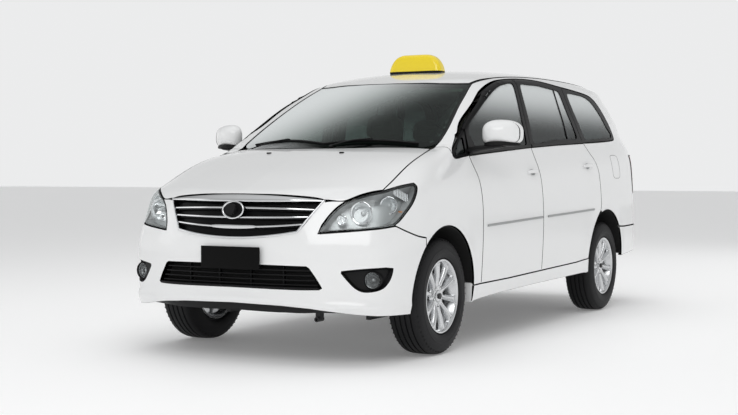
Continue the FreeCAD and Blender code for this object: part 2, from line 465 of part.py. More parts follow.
# ---- chassis ----------------------------------------------------------------
def rails():
    out = []
    for s in (1, -1):
        a = box(0.395, 0.455, -2.14, -1.02, 0.360, 0.430)
        b = box(0.395, 0.455, -1.03, 0.86, 0.335, 0.430)
        c = box(0.340, 0.400, 0.84, 2.12, 0.374, 0.436)
        d = box(0.340, 0.455, 0.78, 0.90, 0.345, 0.436)
        r = fuse(a, b, c, d)
        out.append(r if s > 0 else mirror(r))
    cross = [box(-0.40, 0.40, y - 0.03, y + 0.03, 0.350, 0.425) for y in (-2.08, -0.90, -0.20, 0.50)]
    cross.append(box(-0.36, 0.36, 1.72, 1.78, 0.380, 0.430))
    cross.append(box(-0.36, 0.36, 2.05, 2.11, 0.380, 0.430))
    out += [box(0.45, 0.700, y - 0.035, y + 0.035, 0.352, 0.420) for y in (-0.85, 0.45)]
    out += [box(-0.700, -0.45, y - 0.035, y + 0.035, 0.352, 0.420) for y in (-0.85, 0.45)]
    f = fuse(out[0], out[1], *(cross + out[2:]))
    return f


frame = rails()
JACK = []
for s in (1, -1):
    for y in (-0.85, 0.45):
        pad = cyl_z(s * 0.660, y, 0.300, 0.354, 0.022)
        JACK.append(pad)
frame = fuse(frame, *JACK)
TOW = (0.425, -2.14, 0.236)
tow_nut = Part.makeCylinder(14.0, 60.0, vec(TOW[0], TOW[1], TOW[2]), V(0, 1, 0))
frame = fuse(frame, tow_nut, box(0.411, 0.439, -2.125, -2.085, TOW[2], 0.365)).cut(Part.makeCylinder(8.0, 50.0, vec(TOW[0], TOW[1], TOW[2]), V(0, 1, 0)))
frame = main_solid(frame)

# ---- engine, tank, exhaust ---------------------------------------------------
engine = box(-0.27, 0.27, -1.92, -1.20, 0.45, 0.93)
tank = box(-0.33, -0.06, 0.56, 0.98, 0.19, 0.345)
exhaust = fuse(rod((0.12, -1.15, 0.30), (0.12, 0.98, 0.27), 0.024), Part.makeCylinder(62.0, 330.0, vec(0.12, 0.10, 0.27), V(0, 1, 0)))
tail_pipe = fuse(rod((0.26, 1.60, 0.290), (0.26, 2.20, 0.258), 0.022), Part.makeCylinder(70.0, 360.0, vec(0.26, 1.66, 0.285), V(0, 1, 0)))
exhaust = Part.makeCompound([main_solid(exhaust), main_solid(tail_pipe)])

# ---- front suspension and knuckles ------------------------------------------
Z0 = TYRE_R
PIN = 0.012
lo, hi = Z0 - 0.105, Z0 + 0.115


def wishbone(z):
    leg_a = rod((0.470, -1.365, z), (KING_X - 0.012, AXLE_F, z), 0.014)
    leg_b = rod((0.470, -1.605, z), (KING_X - 0.012, AXLE_F, z), 0.014)
    eye = cyl_z(KING_X, AXLE_F, z - 0.016, z + 0.016, 0.026)
    return fuse(leg_a, leg_b, eye).cut(cyl_z(KING_X, AXLE_F, z - 0.03, z + 0.03, PIN + 0.00006))


susp = fuse(box(0.4555, 0.482, -1.65, -1.32, lo - 0.03, hi + 0.03), wishbone(lo), wishbone(hi), box(-0.01, 0.47, -1.56, -1.41, 0.205, 0.250))
susp = main_solid(fuse(susp, mirror(susp)))

def knuckle():
    post = rod((KING_X, AXLE_F, lo + 0.022), (KING_X, AXLE_F, hi - 0.022), 0.020)
    lower = cyl_z(KING_X, AXLE_F, lo - 0.014, lo + 0.03, PIN)
    upper = cyl_z(KING_X, AXLE_F, hi - 0.03, hi + 0.014, PIN)
    hub = cyl_x(KING_X - 0.025, KING_X + 0.035, AXLE_F, Z0, 0.042)
    spindle = cyl_x(KING_X, 0.835, AXLE_F, Z0, 0.0165)
    lever = box(KING_X - 0.070, KING_X - 0.005, AXLE_F + 0.02, AXLE_F + 0.115, Z0 - 0.045, Z0 - 0.020)
    caliper = box(KING_X + 0.002, KING_X + 0.080, AXLE_F + 0.105, AXLE_F + 0.150, Z0 - 0.055, Z0 + 0.055)
    slot = cyl_x(KING_X + 0.026, KING_X + 0.054, AXLE_F, Z0, 0.148)
    caliper = caliper.cut(slot)
    stay = box(KING_X - 0.012, KING_X + 0.012, AXLE_F + 0.01, AXLE_F + 0.125, Z0 - 0.02, Z0 + 0.02)
    return fuse(post, lower, upper, hub, spindle, lever, stay, caliper)


knuckle_l = main_solid(knuckle())

# ---- rear axle ---------------------------------------------------------------
axle = fuse(cyl_x(-0.690, 0.690, AXLE_R, Z0, 0.036), cyl_x(-0.835, 0.835, AXLE_R, Z0, 0.0165),
            Part.makeSphere(120.0, vec(0.0, AXLE_R, Z0)), cyl_x(0.655, 0.692, AXLE_R, Z0, 0.085), cyl_x(-0.692, -0.655, AXLE_R, Z0, 0.085))
axle = axle.cut(box(-0.2, 0.2, 1.0, 1.5, Z0 + 0.098, 0.6))
shaft = rod((0.0, -0.95, 0.300), (0.0, AXLE_R - 0.05, Z0), 0.030)
links = [rod((s * 0.50, 0.62, 0.30), (s * 0.50, AXLE_R, 0.30), 0.018) for s in (1, -1)]
axle = fuse(axle, *links)
shaft = shaft.cut(Part.makeSphere(120.2, vec(0.0, AXLE_R, Z0)))
shaft = cut(shaft, box(-0.1, 0.1, -0.94, -0.86, 0.345, 0.43), box(-0.1, 0.1, -0.24, -0.16, 0.345, 0.43), box(-0.1, 0.1, 0.46, 0.54, 0.345, 0.43))
axle = Part.makeCompound([main_solid(axle), main_solid(shaft)])

# ---- wheels (left front; outer face toward +x) --------------------------------
def tyre_at(x, y):
    h = TYRE_W / 2
    prof = [(-h + 0.0195, RIM_R - 0.0135), (-h + 0.0195, RIM_R + 0.003), (-h + 0.002, RIM_R + 0.014), (-h, 0.250), (-h + 0.006, 0.290), (-h + 0.022, 0.316), (-0.060, 0.3235), (0.0, TYRE_R),
            (0.060, 0.3235), (h - 0.022, 0.316), (h - 0.006, 0.290), (h, 0.250), (h - 0.002, RIM_R + 0.014), (h - 0.0195, RIM_R + 0.003), (h - 0.0195, RIM_R - 0.0135),
            (h - 0.032, RIM_R - 0.0135), (h - 0.028, 0.235), (h - 0.028, 0.280), (0.06, 0.309), (-0.06, 0.309), (-h + 0.028, 0.280), (-h + 0.028, 0.235), (-h + 0.032, RIM_R - 0.0135)]
    return turned_x(prof, x, y, TYRE_R)


def rim_at(x, y):
    h = TYRE_W / 2
    w = h - 0.0125
    barrel = turned_x([(-w, RIM_R - 0.014), (-w, RIM_R - 0.002), (-w + 0.006, RIM_R - 0.0145), (-0.055, RIM_R - 0.0145), (-0.050, 0.176), (0.050, 0.176), (0.055, RIM_R - 0.0145), (w - 0.006, RIM_R - 0.0145), (w, RIM_R - 0.002), (w, RIM_R - 0.014),
                       (w - 0.002, 0.186), (0.064, 0.182), (0.058, 0.168), (-0.058, 0.168), (-0.062, 0.182), (-w + 0.002, 0.186)], x, y, TYRE_R)
    hub = turned_x([(-0.018, 0.01656), (-0.018, 0.070), (0.030, 0.070), (0.066, 0.055), (0.082, 0.030), (0.082, 0.01656)], x, y, TYRE_R)
    disc = turned_x([(-0.014, 0.05), (-0.014, 0.142), (-0.004, 0.142), (-0.004, 0.05)], x, y, TYRE_R)
    arms = []
    for i in range(10):
        a = 36.0 * i
        b = Part.makeBox(20.0, 26.0, 125.0, V((x + 0.040) * M, -13.0, 52.0))
        b.rotate(V(0, 0, 0), V(1, 0, 0), a)
        b.translate(V(0, y * M, TYRE_R * M))
        arms.append(b)
    w_ = fuse(barrel, hub, disc, *arms)
    return main_solid(w_)


tyre_f = tyre_at(TRACK, AXLE_F)
rim_f = rim_at(TRACK, AXLE_F)
tyre_r = moved(tyre_f, y=AXLE_R - AXLE_F)
rim_r = moved(rim_f, y=AXLE_R - AXLE_F)

# ---- cabin --------------------------------------------------------------------
DASH = [(-1.060, 0.62), (-1.060, 1.045), (-0.98, 1.075), (-0.80, 1.060), (-0.70, 0.995), (-0.72, 0.90), (-0.82, 0.76), (-0.86, 0.62)]
dash = prism_x(DASH, -0.655, 0.655)
console = box(-0.115, 0.115, -0.87, -0.40, 0.460, 0.72)
dash = fuse(dash, console)
column = rod((-0.36, -0.80, 0.93), (-0.36, -0.605, 0.983), 0.030)
dash = fuse(dash, column)
wheel_n = V(0, 0.962, 0.274)
sw_c = V(-360.0, -560.0, 996.0)
sw = Part.makeTorus(185.0, 14.0, sw_c, wheel_n)
sw = fuse(sw, Part.makeCylinder(52.0, 36.0, sw_c.sub(V(0, 26, 7)), wheel_n))
for a in (0, 90, 180):
    spoke = Part.makeBox(150.0, 22.0, 18.0, V(40.0, -11.0, -9.0))
    spoke.rotate(V(0, 0, 0), V(0, 0, 1), -a)
    r = FreeCAD.Rotation(V(0, 0, 1), wheel_n)
    spoke.Placement = FreeCAD.Placement(sw_c, r).multiply(spoke.Placement)
    sw = fuse(sw, spoke)
steering_wheel = main_solid(sw)


def seat(x0, x1, y0, z0, base=0.47, back=0.66, depth=0.50, lean=0.17, legs=True):
    cushion = prism_x([(y0, z0), (y0, z0 + 0.12), (y0 + depth, z0 + 0.10), (y0 + depth, z0 - 0.02)], x0, x1)
    squab = prism_x([(y0 + depth - 0.06, z0 + 0.09), (y0 + depth + 0.07, z0 + 0.06), (y0 + depth + 0.07 + lean, z0 + back), (y0 + depth + lean - 0.02, z0 + back)], x0, x1)
    parts = [cushion, squab]
    n = 1 if (x1 - x0) < 0.7 else (2 if (x1 - x0) < 1.2 else 3)
    for i in range(n):
        c = x0 + (x1 - x0) * (i + 0.5) / n
        yb = y0 + depth + lean
        parts.append(box(c - 0.12, c + 0.12, yb - 0.02, yb + 0.07, z0 + back - 0.02, z0 + back + 0.17))
    if legs:
        parts.append(box(x0 + 0.02, x1 - 0.02, y0 + 0.06, y0 + depth - 0.02, 0.458, z0 + 0.05))
    return main_solid(fuse(*parts))


front_l = seat(0.135, 0.625, -0.52, 0.63)
front_seats = Part.makeCompound([front_l, mirror(front_l)])
row2 = seat(-0.62, 0.62, 0.28, 0.64)
row3 = seat(-0.425, 0.425, 1.18, 0.66, depth=0.44, lean=0.12, back=0.60)
rear_seats = Part.makeCompound([row2, row3])

# ---- roof lamp and mirrors ------------------------------------------------------
SIGN_Y = -0.10
sz = roof_z(0.10, SIGN_Y) - 0.004
sign = prism_z([(-0.20, SIGN_Y - 0.065), (0.20, SIGN_Y - 0.065), (0.20, SIGN_Y + 0.065), (-0.20, SIGN_Y + 0.065)], 1.60, sz + 0.020)
lens = prism_y([(-0.195, sz + 0.018), (-0.185, sz + 0.08), (-0.160, sz + 0.112), (-0.120, sz + 0.124), (0.120, sz + 0.124), (0.160, sz + 0.112), (0.185, sz + 0.08), (0.195, sz + 0.018)], SIGN_Y - 0.058, SIGN_Y + 0.058)
sign = fuse(sign, lens).cut(under(ROOF, 0.0, 0.3))
sign = main_solid(sign)

mirror_head = prism_y([(0.885, 1.172), (0.868, 1.20), (0.872, 1.275), (0.90, 1.303), (1.02, 1.300), (1.066, 1.270), (1.078, 1.225), (1.060, 1.180), (1.02, 1.165)], -0.995, -0.875)
mirror_arm = box(side_w(-0.93, 1.14) - 0.012, 0.93, -0.965, -0.905, 1.125, 1.178)
door_mirror = fuse(mirror_head, mirror_arm)
door_mirror = cut(door_mirror, side_slab(0.0, 0.2), prism_x(FRONT_PANE, 0.3, side_w(-0.93, 1.2)))
door_mirror = main_solid(door_mirror)

# ---- write -----------------------------------------------------------------------
PARTS = {
    "body_sides": both(body_side), "roof_panel": roof_panel, "windshield": windscreen,
    "side_quarter_glass": Part.makeCompound([tail_pane, mirror(tail_pane), nose_pane, mirror(nose_pane)]),
    "front_fenders": both(wing), "front_bumper": front_bumper, "rear_bumper": rear_bumper, "grille": grille,
    "headlamps": both(lamp), "cowl": cowl, "tail_lamps": both(tail_lamp), "floor_pan": floor, "chassis_frame": frame,
    "engine_block": engine, "fuel_tank": tank, "exhaust": exhaust, "front_suspension": susp, "rear_axle": axle,
    "dashboard": dash, "steering_wheel": steering_wheel, "front_seats": front_seats, "rear_seats": rear_seats,
    "roof_sign": sign, "hood": bonnet, "tailgate": tailgate, "tailgate_glass": gate_pane,
    "front_door_left": front_door, "front_door_right": mirror(front_door),
    "front_door_glass_left": front_pane, "front_door_glass_right": mirror(front_pane),
    "rear_door_left": rear_door, "rear_door_right": mirror(rear_door),
    "rear_door_glass_left": rear_pane, "rear_door_glass_right": mirror(rear_pane),
    "mirror_left": door_mirror, "mirror_right": mirror(door_mirror),
    "knuckle_left": knuckle_l, "knuckle_right": mirror(knuckle_l),
    "tyre_front_left": tyre_f, "tyre_front_right": mirror(tyre_f), "tyre_rear_left": tyre_r, "tyre_rear_right": mirror(tyre_r),
    "rim_front_left": rim_f, "rim_front_right": mirror(rim_f), "rim_rear_left": rim_r, "rim_rear_right": mirror(rim_r),
}
for name, shape in PARTS.items():
    shape.exportStep("parts/%s.step" % name)
    bb = shape.BoundBox
    print("%-24s solids %d valid %s vol %.1f L  x %.0f..%.0f y %.0f..%.0f z %.0f..%.0f" % (
        name, len(shape.Solids), shape.isValid(), shape.Volume / 1e6, bb.XMin, bb.XMax, bb.YMin, bb.YMax, bb.ZMin, bb.ZMax))
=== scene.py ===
import bpy
import math
import numpy as np
import bmesh
from mathutils import Vector, Matrix
from mathutils.geometry import delaunay_2d_cdt


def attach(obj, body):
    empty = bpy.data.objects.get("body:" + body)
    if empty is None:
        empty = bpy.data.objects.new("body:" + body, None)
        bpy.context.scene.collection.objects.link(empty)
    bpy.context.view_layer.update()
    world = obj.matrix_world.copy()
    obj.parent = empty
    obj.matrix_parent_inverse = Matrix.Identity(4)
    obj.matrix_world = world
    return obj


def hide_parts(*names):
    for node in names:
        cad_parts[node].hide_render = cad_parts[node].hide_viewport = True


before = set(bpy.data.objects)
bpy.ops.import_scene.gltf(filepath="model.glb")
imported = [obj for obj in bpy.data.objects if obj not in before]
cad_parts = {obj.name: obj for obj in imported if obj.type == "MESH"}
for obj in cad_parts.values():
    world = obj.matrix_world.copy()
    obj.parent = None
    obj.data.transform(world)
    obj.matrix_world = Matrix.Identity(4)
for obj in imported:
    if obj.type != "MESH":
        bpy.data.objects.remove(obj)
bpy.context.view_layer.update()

PI = math.pi
TAU = 2 * math.pi

# ---------------------------------------------------------------- body shape
def natural(pts):
    """Natural cubic spline through (position, value) pairs: knots, values, second derivatives."""
    xs = [float(p[0]) for p in pts]
    ys = [float(p[1]) for p in pts]
    n = len(xs)
    m = [0.0] * n
    c = [0.0] * n
    d = [0.0] * n
    for i in range(1, n - 1):
        h0, h1 = xs[i] - xs[i - 1], xs[i + 1] - xs[i]
        b = 2 * (h0 + h1) - h0 * c[i - 1]
        c[i] = h1 / b
        d[i] = (6 * ((ys[i + 1] - ys[i]) / h1 - (ys[i] - ys[i - 1]) / h0) - h0 * d[i - 1]) / b
    for i in range(n - 2, 0, -1):
        m[i] = d[i] - c[i] * m[i + 1]
    return xs, ys, m


# half width over height, at the doors
T_X = natural([(0.10, 0.800), (0.22, 0.840), (0.30, 0.858), (0.40, 0.868), (0.55, 0.8765), (0.68, 0.880), (0.80, 0.878), (0.92, 0.867), (1.02, 0.847), (1.10, 0.816), (1.175, 0.786), (1.30, 0.757), (1.45, 0.722), (1.58, 0.688), (1.64, 0.664), (1.70, 0.615), (1.78, 0.53)])
# how much of the belt's rise moves the section with it
T_B = natural([(0.0, 0.0), (0.70, 0.0), (0.85, 0.10), (1.0, 0.70), (1.10, 1.0), (1.20, 1.0), (1.32, 0.75), (1.5, 0.15), (1.6, 0.0), (1.9, 0.0)])
# plan taper at the nose and at the tail
T_TF = natural([(-2.5, 0.38), (-2.4, 0.29), (-2.25, 0.165), (-2.15, 0.098), (-2.07, 0.058), (-1.98, 0.028), (-1.90, 0.012), (-1.80, 0.004), (-1.60, 0.0), (-1.3, 0.0), (0.0, 0.0)])
T_TR = natural([(0.0, 0.0), (1.3, 0.0), (1.6, 0.003), (1.8, 0.012), (1.9, 0.021), (2.0, 0.037), (2.1, 0.065), (2.2, 0.108), (2.3, 0.17), (2.5, 0.33), (2.8, 0.62)])
T_SH = natural([(0.0, 0.0), (1.10, 0.0), (1.2, 0.02), (1.3, 0.06), (1.45, 0.13), (1.55, 0.24), (1.65, 0.30), (1.9, 0.34)])
# nose: centreline over height, and how it sweeps back over half width
T_F0 = natural([(0.10, -2.15), (0.20, -2.235), (0.27, -2.285), (0.33, -2.296), (0.40, -2.296), (0.53, -2.298), (0.62, -2.299), (0.70, -2.293), (0.80, -2.280), (0.87, -2.256), (0.93, -2.215), (1.0, -2.15), (1.1, -2.03)])
T_G5 = natural([(0, 0), (0.2, 0.003), (0.35, 0.014), (0.45, 0.030), (0.52, 0.053), (0.60, 0.090), (0.70, 0.140), (0.75, 0.173), (0.80, 0.225), (0.85, 0.33), (0.90, 0.50), (0.95, 0.72)])
T_G8 = natural([(0, 0), (0.2, 0.015), (0.375, 0.060), (0.487, 0.100), (0.58, 0.143), (0.65, 0.178), (0.73, 0.228), (0.80, 0.305), (0.85, 0.42), (0.90, 0.62), (0.95, 0.86)])
# tail
T_R0 = natural([(0.10, 2.10), (0.20, 2.165), (0.27, 2.218), (0.33, 2.250), (0.42, 2.281), (0.52, 2.297), (0.62, 2.299), (0.70, 2.288), (0.78, 2.272), (0.90, 2.262), (1.0, 2.252), (1.15, 2.224), (1.30, 2.181), (1.45, 2.125), (1.55, 2.085), (1.65, 2.045), (1.8, 1.98)])
T_GR = natural([(0, 0), (0.3, 0.006), (0.5, 0.020), (0.6, 0.036), (0.7, 0.070), (0.75, 0.105), (0.80, 0.170), (0.85, 0.30), (0.90, 0.52), (0.95, 0.80)])
# bonnet, windscreen and roof: centreline height along the car, and drop over half width
T_HC = natural([(-2.40, 0.820), (-2.238, 0.894), (-2.1, 0.948), (-1.95, 1.004), (-1.80, 1.054), (-1.65, 1.100), (-1.5, 1.136), (-1.38, 1.158), (-1.2, 1.184), (-0.9, 1.22)])
T_DH = natural([(0, 0), (0.3, 0.006), (0.5, 0.018), (0.6, 0.030), (0.7, 0.050), (0.75, 0.065), (0.80, 0.087), (0.88, 0.14), (0.95, 0.21)])
T_DK = natural([(-2.4, 1.4), (-2.2, 1.4), (-1.96, 1.4), (-1.75, 1.1), (-1.5, 0.85), (-1.2, 0.8), (-0.9, 0.8)])
T_WC = natural([(-1.7, 0.975), (-1.43, 1.135), (-1.2, 1.268), (-1.0, 1.380), (-0.8, 1.487), (-0.59, 1.585), (-0.4, 1.66), (-0.1, 1.76)])
T_DW = natural([(0, 0), (0.2, 0.010), (0.4, 0.042), (0.566, 0.083), (0.62, 0.097), (0.68, 0.108), (0.76, 0.116), (0.84, 0.130), (0.95, 0.16)])
T_RC = natural([(-0.9, 1.45), (-0.59, 1.580), (-0.4, 1.628), (-0.2, 1.664), (0.0, 1.688), (0.3, 1.712), (0.6, 1.728), (0.9, 1.737), (1.2, 1.738), (1.5, 1.728), (1.8, 1.703), (2.0, 1.678), (2.15, 1.655), (2.4, 1.61)])
T_DR = natural([(0, 0), (0.2, 0.005), (0.35, 0.016), (0.5, 0.036), (0.57, 0.050), (0.63, 0.067), (0.70, 0.093), (0.8, 0.15)])
T_DS = natural([(-1.0, 0.72), (-0.59, 0.78), (-0.3, 0.82), (0.0, 0.90), (0.5, 1.10), (0.9, 1.25), (1.5, 1.35), (2.2, 1.4), (2.5, 1.4)])


def sp(T, v):
    """Spline values, straight beyond both ends."""
    xs, ys, m = (np.asarray(t) for t in T)
    v = np.asarray(v, float)
    i = np.clip(np.searchsorted(xs, v) - 1, 0, len(xs) - 2)
    h = xs[i + 1] - xs[i]
    a = (xs[i + 1] - v) / h
    b = (v - xs[i]) / h
    inside = a * ys[i] + b * ys[i + 1] + ((a ** 3 - a) * m[i] + (b ** 3 - b) * m[i + 1]) * h * h / 6
    s0 = (ys[1] - ys[0]) / (xs[1] - xs[0]) - (xs[1] - xs[0]) * m[1] / 6
    s1 = (ys[-1] - ys[-2]) / (xs[-1] - xs[-2]) + (xs[-1] - xs[-2]) * m[-2] / 6
    return np.where(v < xs[0], ys[0] + s0 * (v - xs[0]), np.where(v > xs[-1], ys[-1] + s1 * (v - xs[-1]), inside))


def clip01(v):
    return np.clip(v, 0, 1)


def absv(v):
    return np.abs(v)


def side_w(y, z):
    """Half width of the body at a point of the side view."""
    rise = 0.0535 * y - 0.01
    w = sp(T_X, z - rise * sp(T_B, z))
    return w - sp(T_TF, y) - sp(T_TR, y + sp(T_SH, z))


def nose_y(x, z):
    """Where the front face stands, at a point of the front view."""
    t = clip01((z - 0.55) / 0.30)
    t = t * t * (3 - 2 * t)
    a = absv(x)
    return sp(T_F0, z) + sp(T_G5, a) * (1 - t) + sp(T_G8, a) * t


def tail_y(x, z):
    return sp(T_R0, z) - sp(T_GR, absv(x))


def bonnet_z(x, y):
    return sp(T_HC, y) - sp(T_DH, absv(x)) * sp(T_DK, y)


def screen_z(x, y):
    return sp(T_WC, y) - sp(T_DW, absv(x))


def roof_z(x, y):
    return sp(T_RC, y) - sp(T_DR, absv(x)) * sp(T_DS, y)


def smax(a, b, k):
    h = np.maximum(k - np.abs(a - b), 0) / k
    return np.maximum(a, b) + h * h * h * k / 6


def step01(v, a, b):
    t = np.clip((v - a) / (b - a), 0, 1)
    return t * t * (3 - 2 * t)


AXLE_F, AXLE_R, TRACK, TYRE_R, KING_X = -1.485, 1.265, 0.755, 0.324, 0.700
ARCH_F = (-1.498, 0.330, 0.387)    # wheel arch outlines: centre y, z, radius
ARCH_B = (1.227, 0.352, 0.385)


def flare(y, z):
    """Slight swelling of the skin round the wheel arches."""
    out = 0.0
    for (cy, cz, ra), w in ((ARCH_F, 0.007), (ARCH_B, 0.006)):
        r = np.hypot(y - cy, (z - cz) * 0.97)
        out = out + w * np.exp(-((r - ra) / 0.060) ** 2) * (r > 0.2)
    return out


def top_low(P):
    return P[:, 2] - bonnet_z(P[:, 0], P[:, 1])


def top_high(P):
    return smax(P[:, 2] - screen_z(P[:, 0], P[:, 1]), P[:, 2] - roof_z(P[:, 0], P[:, 1]), 0.03)


def f_body(P):
    """Below zero inside the painted body."""
    x, y, z = P[:, 0], P[:, 1], P[:, 2]
    k = 0.012 + 0.09 * step01(np.abs(x), 0.64, 0.76)
    top = -smax(-top_low(P), -top_high(P), k)
    kc = 0.085 - 0.040 * step01(y, -1.45, -1.05)
    f = smax(np.abs(x) - side_w(y, z) - flare(y, z), top, kc)
    f = smax(f, nose_y(x, z) - y, 0.055)
    return smax(f, y - tail_y(x, z), 0.05)


def f_hood(P):
    x, y, z = P[:, 0], P[:, 1], P[:, 2]
    f = smax(np.abs(x) - side_w(y, z), top_low(P), 0.085)
    return smax(f, nose_y(x, z) - y, 0.055)


def f_screen(P):
    return P[:, 2] - screen_z(P[:, 0], P[:, 1]) + 0.003


def f_roof(P):
    x, y, z = P[:, 0], P[:, 1], P[:, 2]
    return smax(smax(z - roof_z(x, y), z - screen_z(x, y), 0.012), y - tail_y(x, z), 0.05)


def inset_field(f, d):
    return lambda P: f(P) + d


# ---------------------------------------------------------------- ray maps
class Wrap:
    """Rays fan out round the nose and the tail and run straight across between yf and yr."""
    def __init__(s, yf, yr, zc):
        s.yf, s.yr, s.zc = yf, yr, zc

    def ray(s, uv):
        y = np.clip(uv[:, 0], s.yf, s.yr)
        al = (uv[:, 0] - y) / 0.9
        v = uv[:, 1] / 0.9
        C = np.stack([np.zeros_like(y), y, np.full_like(y, s.zc)], 1)
        D = np.stack([np.cos(v) * np.cos(al), np.cos(v) * np.sin(al), np.sin(v)], 1)
        return C, D

    def inv(s, P):
        y = np.clip(P[:, 1], s.yf, s.yr)
        dy = P[:, 1] - y
        al = np.arctan2(dy, P[:, 0])
        return np.stack([y + 0.9 * al, 0.9 * np.arctan2(P[:, 2] - s.zc, np.hypot(P[:, 0], dy))], 1)


class Flat:
    """Parallel rays along one axis."""
    def __init__(s, kind, start=0.0):
        s.k, s.s = kind, start

    def ray(s, uv):
        a, b = uv[:, 0], uv[:, 1]
        o = np.zeros_like(a)
        if s.k == "top":
            return np.stack([a, b, o + s.s], 1), np.stack([o, o, o + 1], 1)
        if s.k == "front":
            return np.stack([a, o + s.s, b], 1), np.stack([o, o - 1, o], 1)
        if s.k == "back":
            return np.stack([a, o + s.s, b], 1), np.stack([o, o + 1, o], 1)
        return np.stack([o + s.s, a, b], 1), np.stack([o + 1, o, o], 1)

    def inv(s, P):
        if s.k == "top":
            return P[:, [0, 1]].copy()
        if s.k in ("front", "back"):
            return P[:, [0, 2]].copy()
        return P[:, [1, 2]].copy()


TOP = Flat("top", 0.4)
FRONT = Flat("front", -1.4)
BACK = Flat("back", 1.2)
SIDE = Flat("side", 0.0)


def cast(f, C, D, far=1.6):
    """Where rays from inside leave the field."""
    a = np.zeros(len(C))
    b = np.full(len(C), far)
    for _ in range(34):
        m = (a + b) / 2
        inside = f(C + m[:, None] * D) < 0
        a = np.where(inside, m, a)
        b = np.where(inside, b, m)
    return C + ((a + b) / 2)[:, None] * D


def on(f, m, uv):
    C, D = m.ray(np.asarray(uv, float))
    return cast(f, C, D)


def grad(f, P, e=0.0015):
    g = np.zeros_like(P)
    for i in range(3):
        d = np.zeros(3)
        d[i] = e
        g[:, i] = (f(P + d) - f(P - d))
    n = np.linalg.norm(g, axis=1)
    return g / np.maximum(n, 1e-12)[:, None]


# ---------------------------------------------------------------- curves
def spline_pts(pts, step=0.012, closed=False, corners=()):
    """Catmull-Rom curve through points, straight-cornered at the listed indices; sampled evenly."""
    P = np.asarray(pts, float)
    n = len(P)
    corners = set(c % n for c in corners)
    if not closed:
        corners |= {0, n - 1}
    out = []
    segs = n if closed else n - 1
    for i in range(segs):
        p1, p2 = P[i], P[(i + 1) % n]
        p0 = 2 * p1 - p2 if i in corners else P[i - 1]
        p3 = 2 * p2 - p1 if (i + 1) % n in corners else P[(i + 2) % n]
        if i in corners and (i + 1) % n in corners:
            p0, p3 = 2 * p1 - p2, 2 * p2 - p1
        L = np.linalg.norm(p2 - p1)
        k = max(1, int(round(L / step)))
        t = np.arange(k) / k
        a, b, c = (np.linalg.norm(q) ** 0.5 + 1e-9 for q in (p1 - p0, p2 - p1, p3 - p2))
        m1 = (p2 - p1) - b * ((p2 - p0) / (a + b) - (p1 - p0) / a) * 1.0
        m1 = b * ((p1 - p0) / a - (p2 - p0) / (a + b) + (p2 - p1) / b)
        m2 = b * ((p2 - p1) / b - (p3 - p1) / (b + c) + (p3 - p2) / c)
        t = t[:, None]
        out.append((2 * t ** 3 - 3 * t ** 2 + 1) * p1 + (t ** 3 - 2 * t ** 2 + t) * m1 + (-2 * t ** 3 + 3 * t ** 2) * p2 + (t ** 3 - t ** 2) * m2)
    if not closed:
        out.append(P[-1:])
    return np.concatenate(out)


def dense(P, step=0.012, closed=True):
    """Straight outline with extra points."""
    return spline_pts(P, step, closed, corners=range(len(P)))


def arc2(cy, cz, r, a0, a1, step=0.012):
    n = max(3, int(abs(math.radians(a1 - a0)) * r / step) + 1)
    a = np.radians(np.linspace(a0, a1, n))
    return np.stack([cy + r * np.cos(a), cz + r * np.sin(a)], 1)


def lift(f, kind, pts):
    """Outline in one view put onto the surface."""
    m = {"top": TOP, "front": FRONT, "back": BACK, "side": SIDE}[kind]
    return on(f, m, np.asarray(pts, float))


def join(*runs, tol=0.004):
    """Runs of 3-D points end to end as one closed outline."""
    P = np.concatenate([np.asarray(r, float) for r in runs])
    keep = [0]
    for i in range(1, len(P)):
        if np.linalg.norm(P[i] - P[keep[-1]]) > tol:
            keep.append(i)
    P = P[keep]
    if np.linalg.norm(P[0] - P[-1]) < tol:
        P = P[:-1]
    return P


def flip(P):
    Q = np.array(P, float)
    Q[:, 0] *= -1
    return Q


# ---------------------------------------------------------------- meshes
def mesh_obj(name, verts, faces, mats, fmat=None, normals=None, smooth=True):
    me = bpy.data.meshes.new(name)
    me.from_pydata([tuple(map(float, v)) for v in verts], [], [tuple(int(i) for i in f) for f in faces])
    for m in (mats if isinstance(mats, (list, tuple)) else [mats]):
        me.materials.append(m)
    if fmat is not None:
        me.polygons.foreach_set("material_index", np.asarray(fmat, np.int32))
    me.polygons.foreach_set("use_smooth", np.full(len(me.polygons), bool(smooth)))
    me.validate()
    me.update()
    if normals is not None and len(normals) == len(me.vertices):
        me.normals_split_custom_set_from_vertices([tuple(map(float, n)) for n in normals])
    ob = bpy.data.objects.new(name, me)
    bpy.context.scene.collection.objects.link(ob)
    return ob


def inside_poly(loops, Q):
    """Even-odd test of points against loops."""
    c = np.zeros(len(Q), bool)
    x, y = Q[:, 0][:, None], Q[:, 1][:, None]
    for L in loops:
        a, b = L, np.roll(L, -1, axis=0)
        ay, by = a[None, :, 1], b[None, :, 1]
        ax, bx = a[None, :, 0], b[None, :, 0]
        cond = (ay > y) != (by > y)
        with np.errstate(divide="ignore", invalid="ignore"):
            xi = ax + (y - ay) / (by - ay) * (bx - ax)
        c ^= (np.sum(cond & (x < xi), axis=1) % 2).astype(bool)
    return c


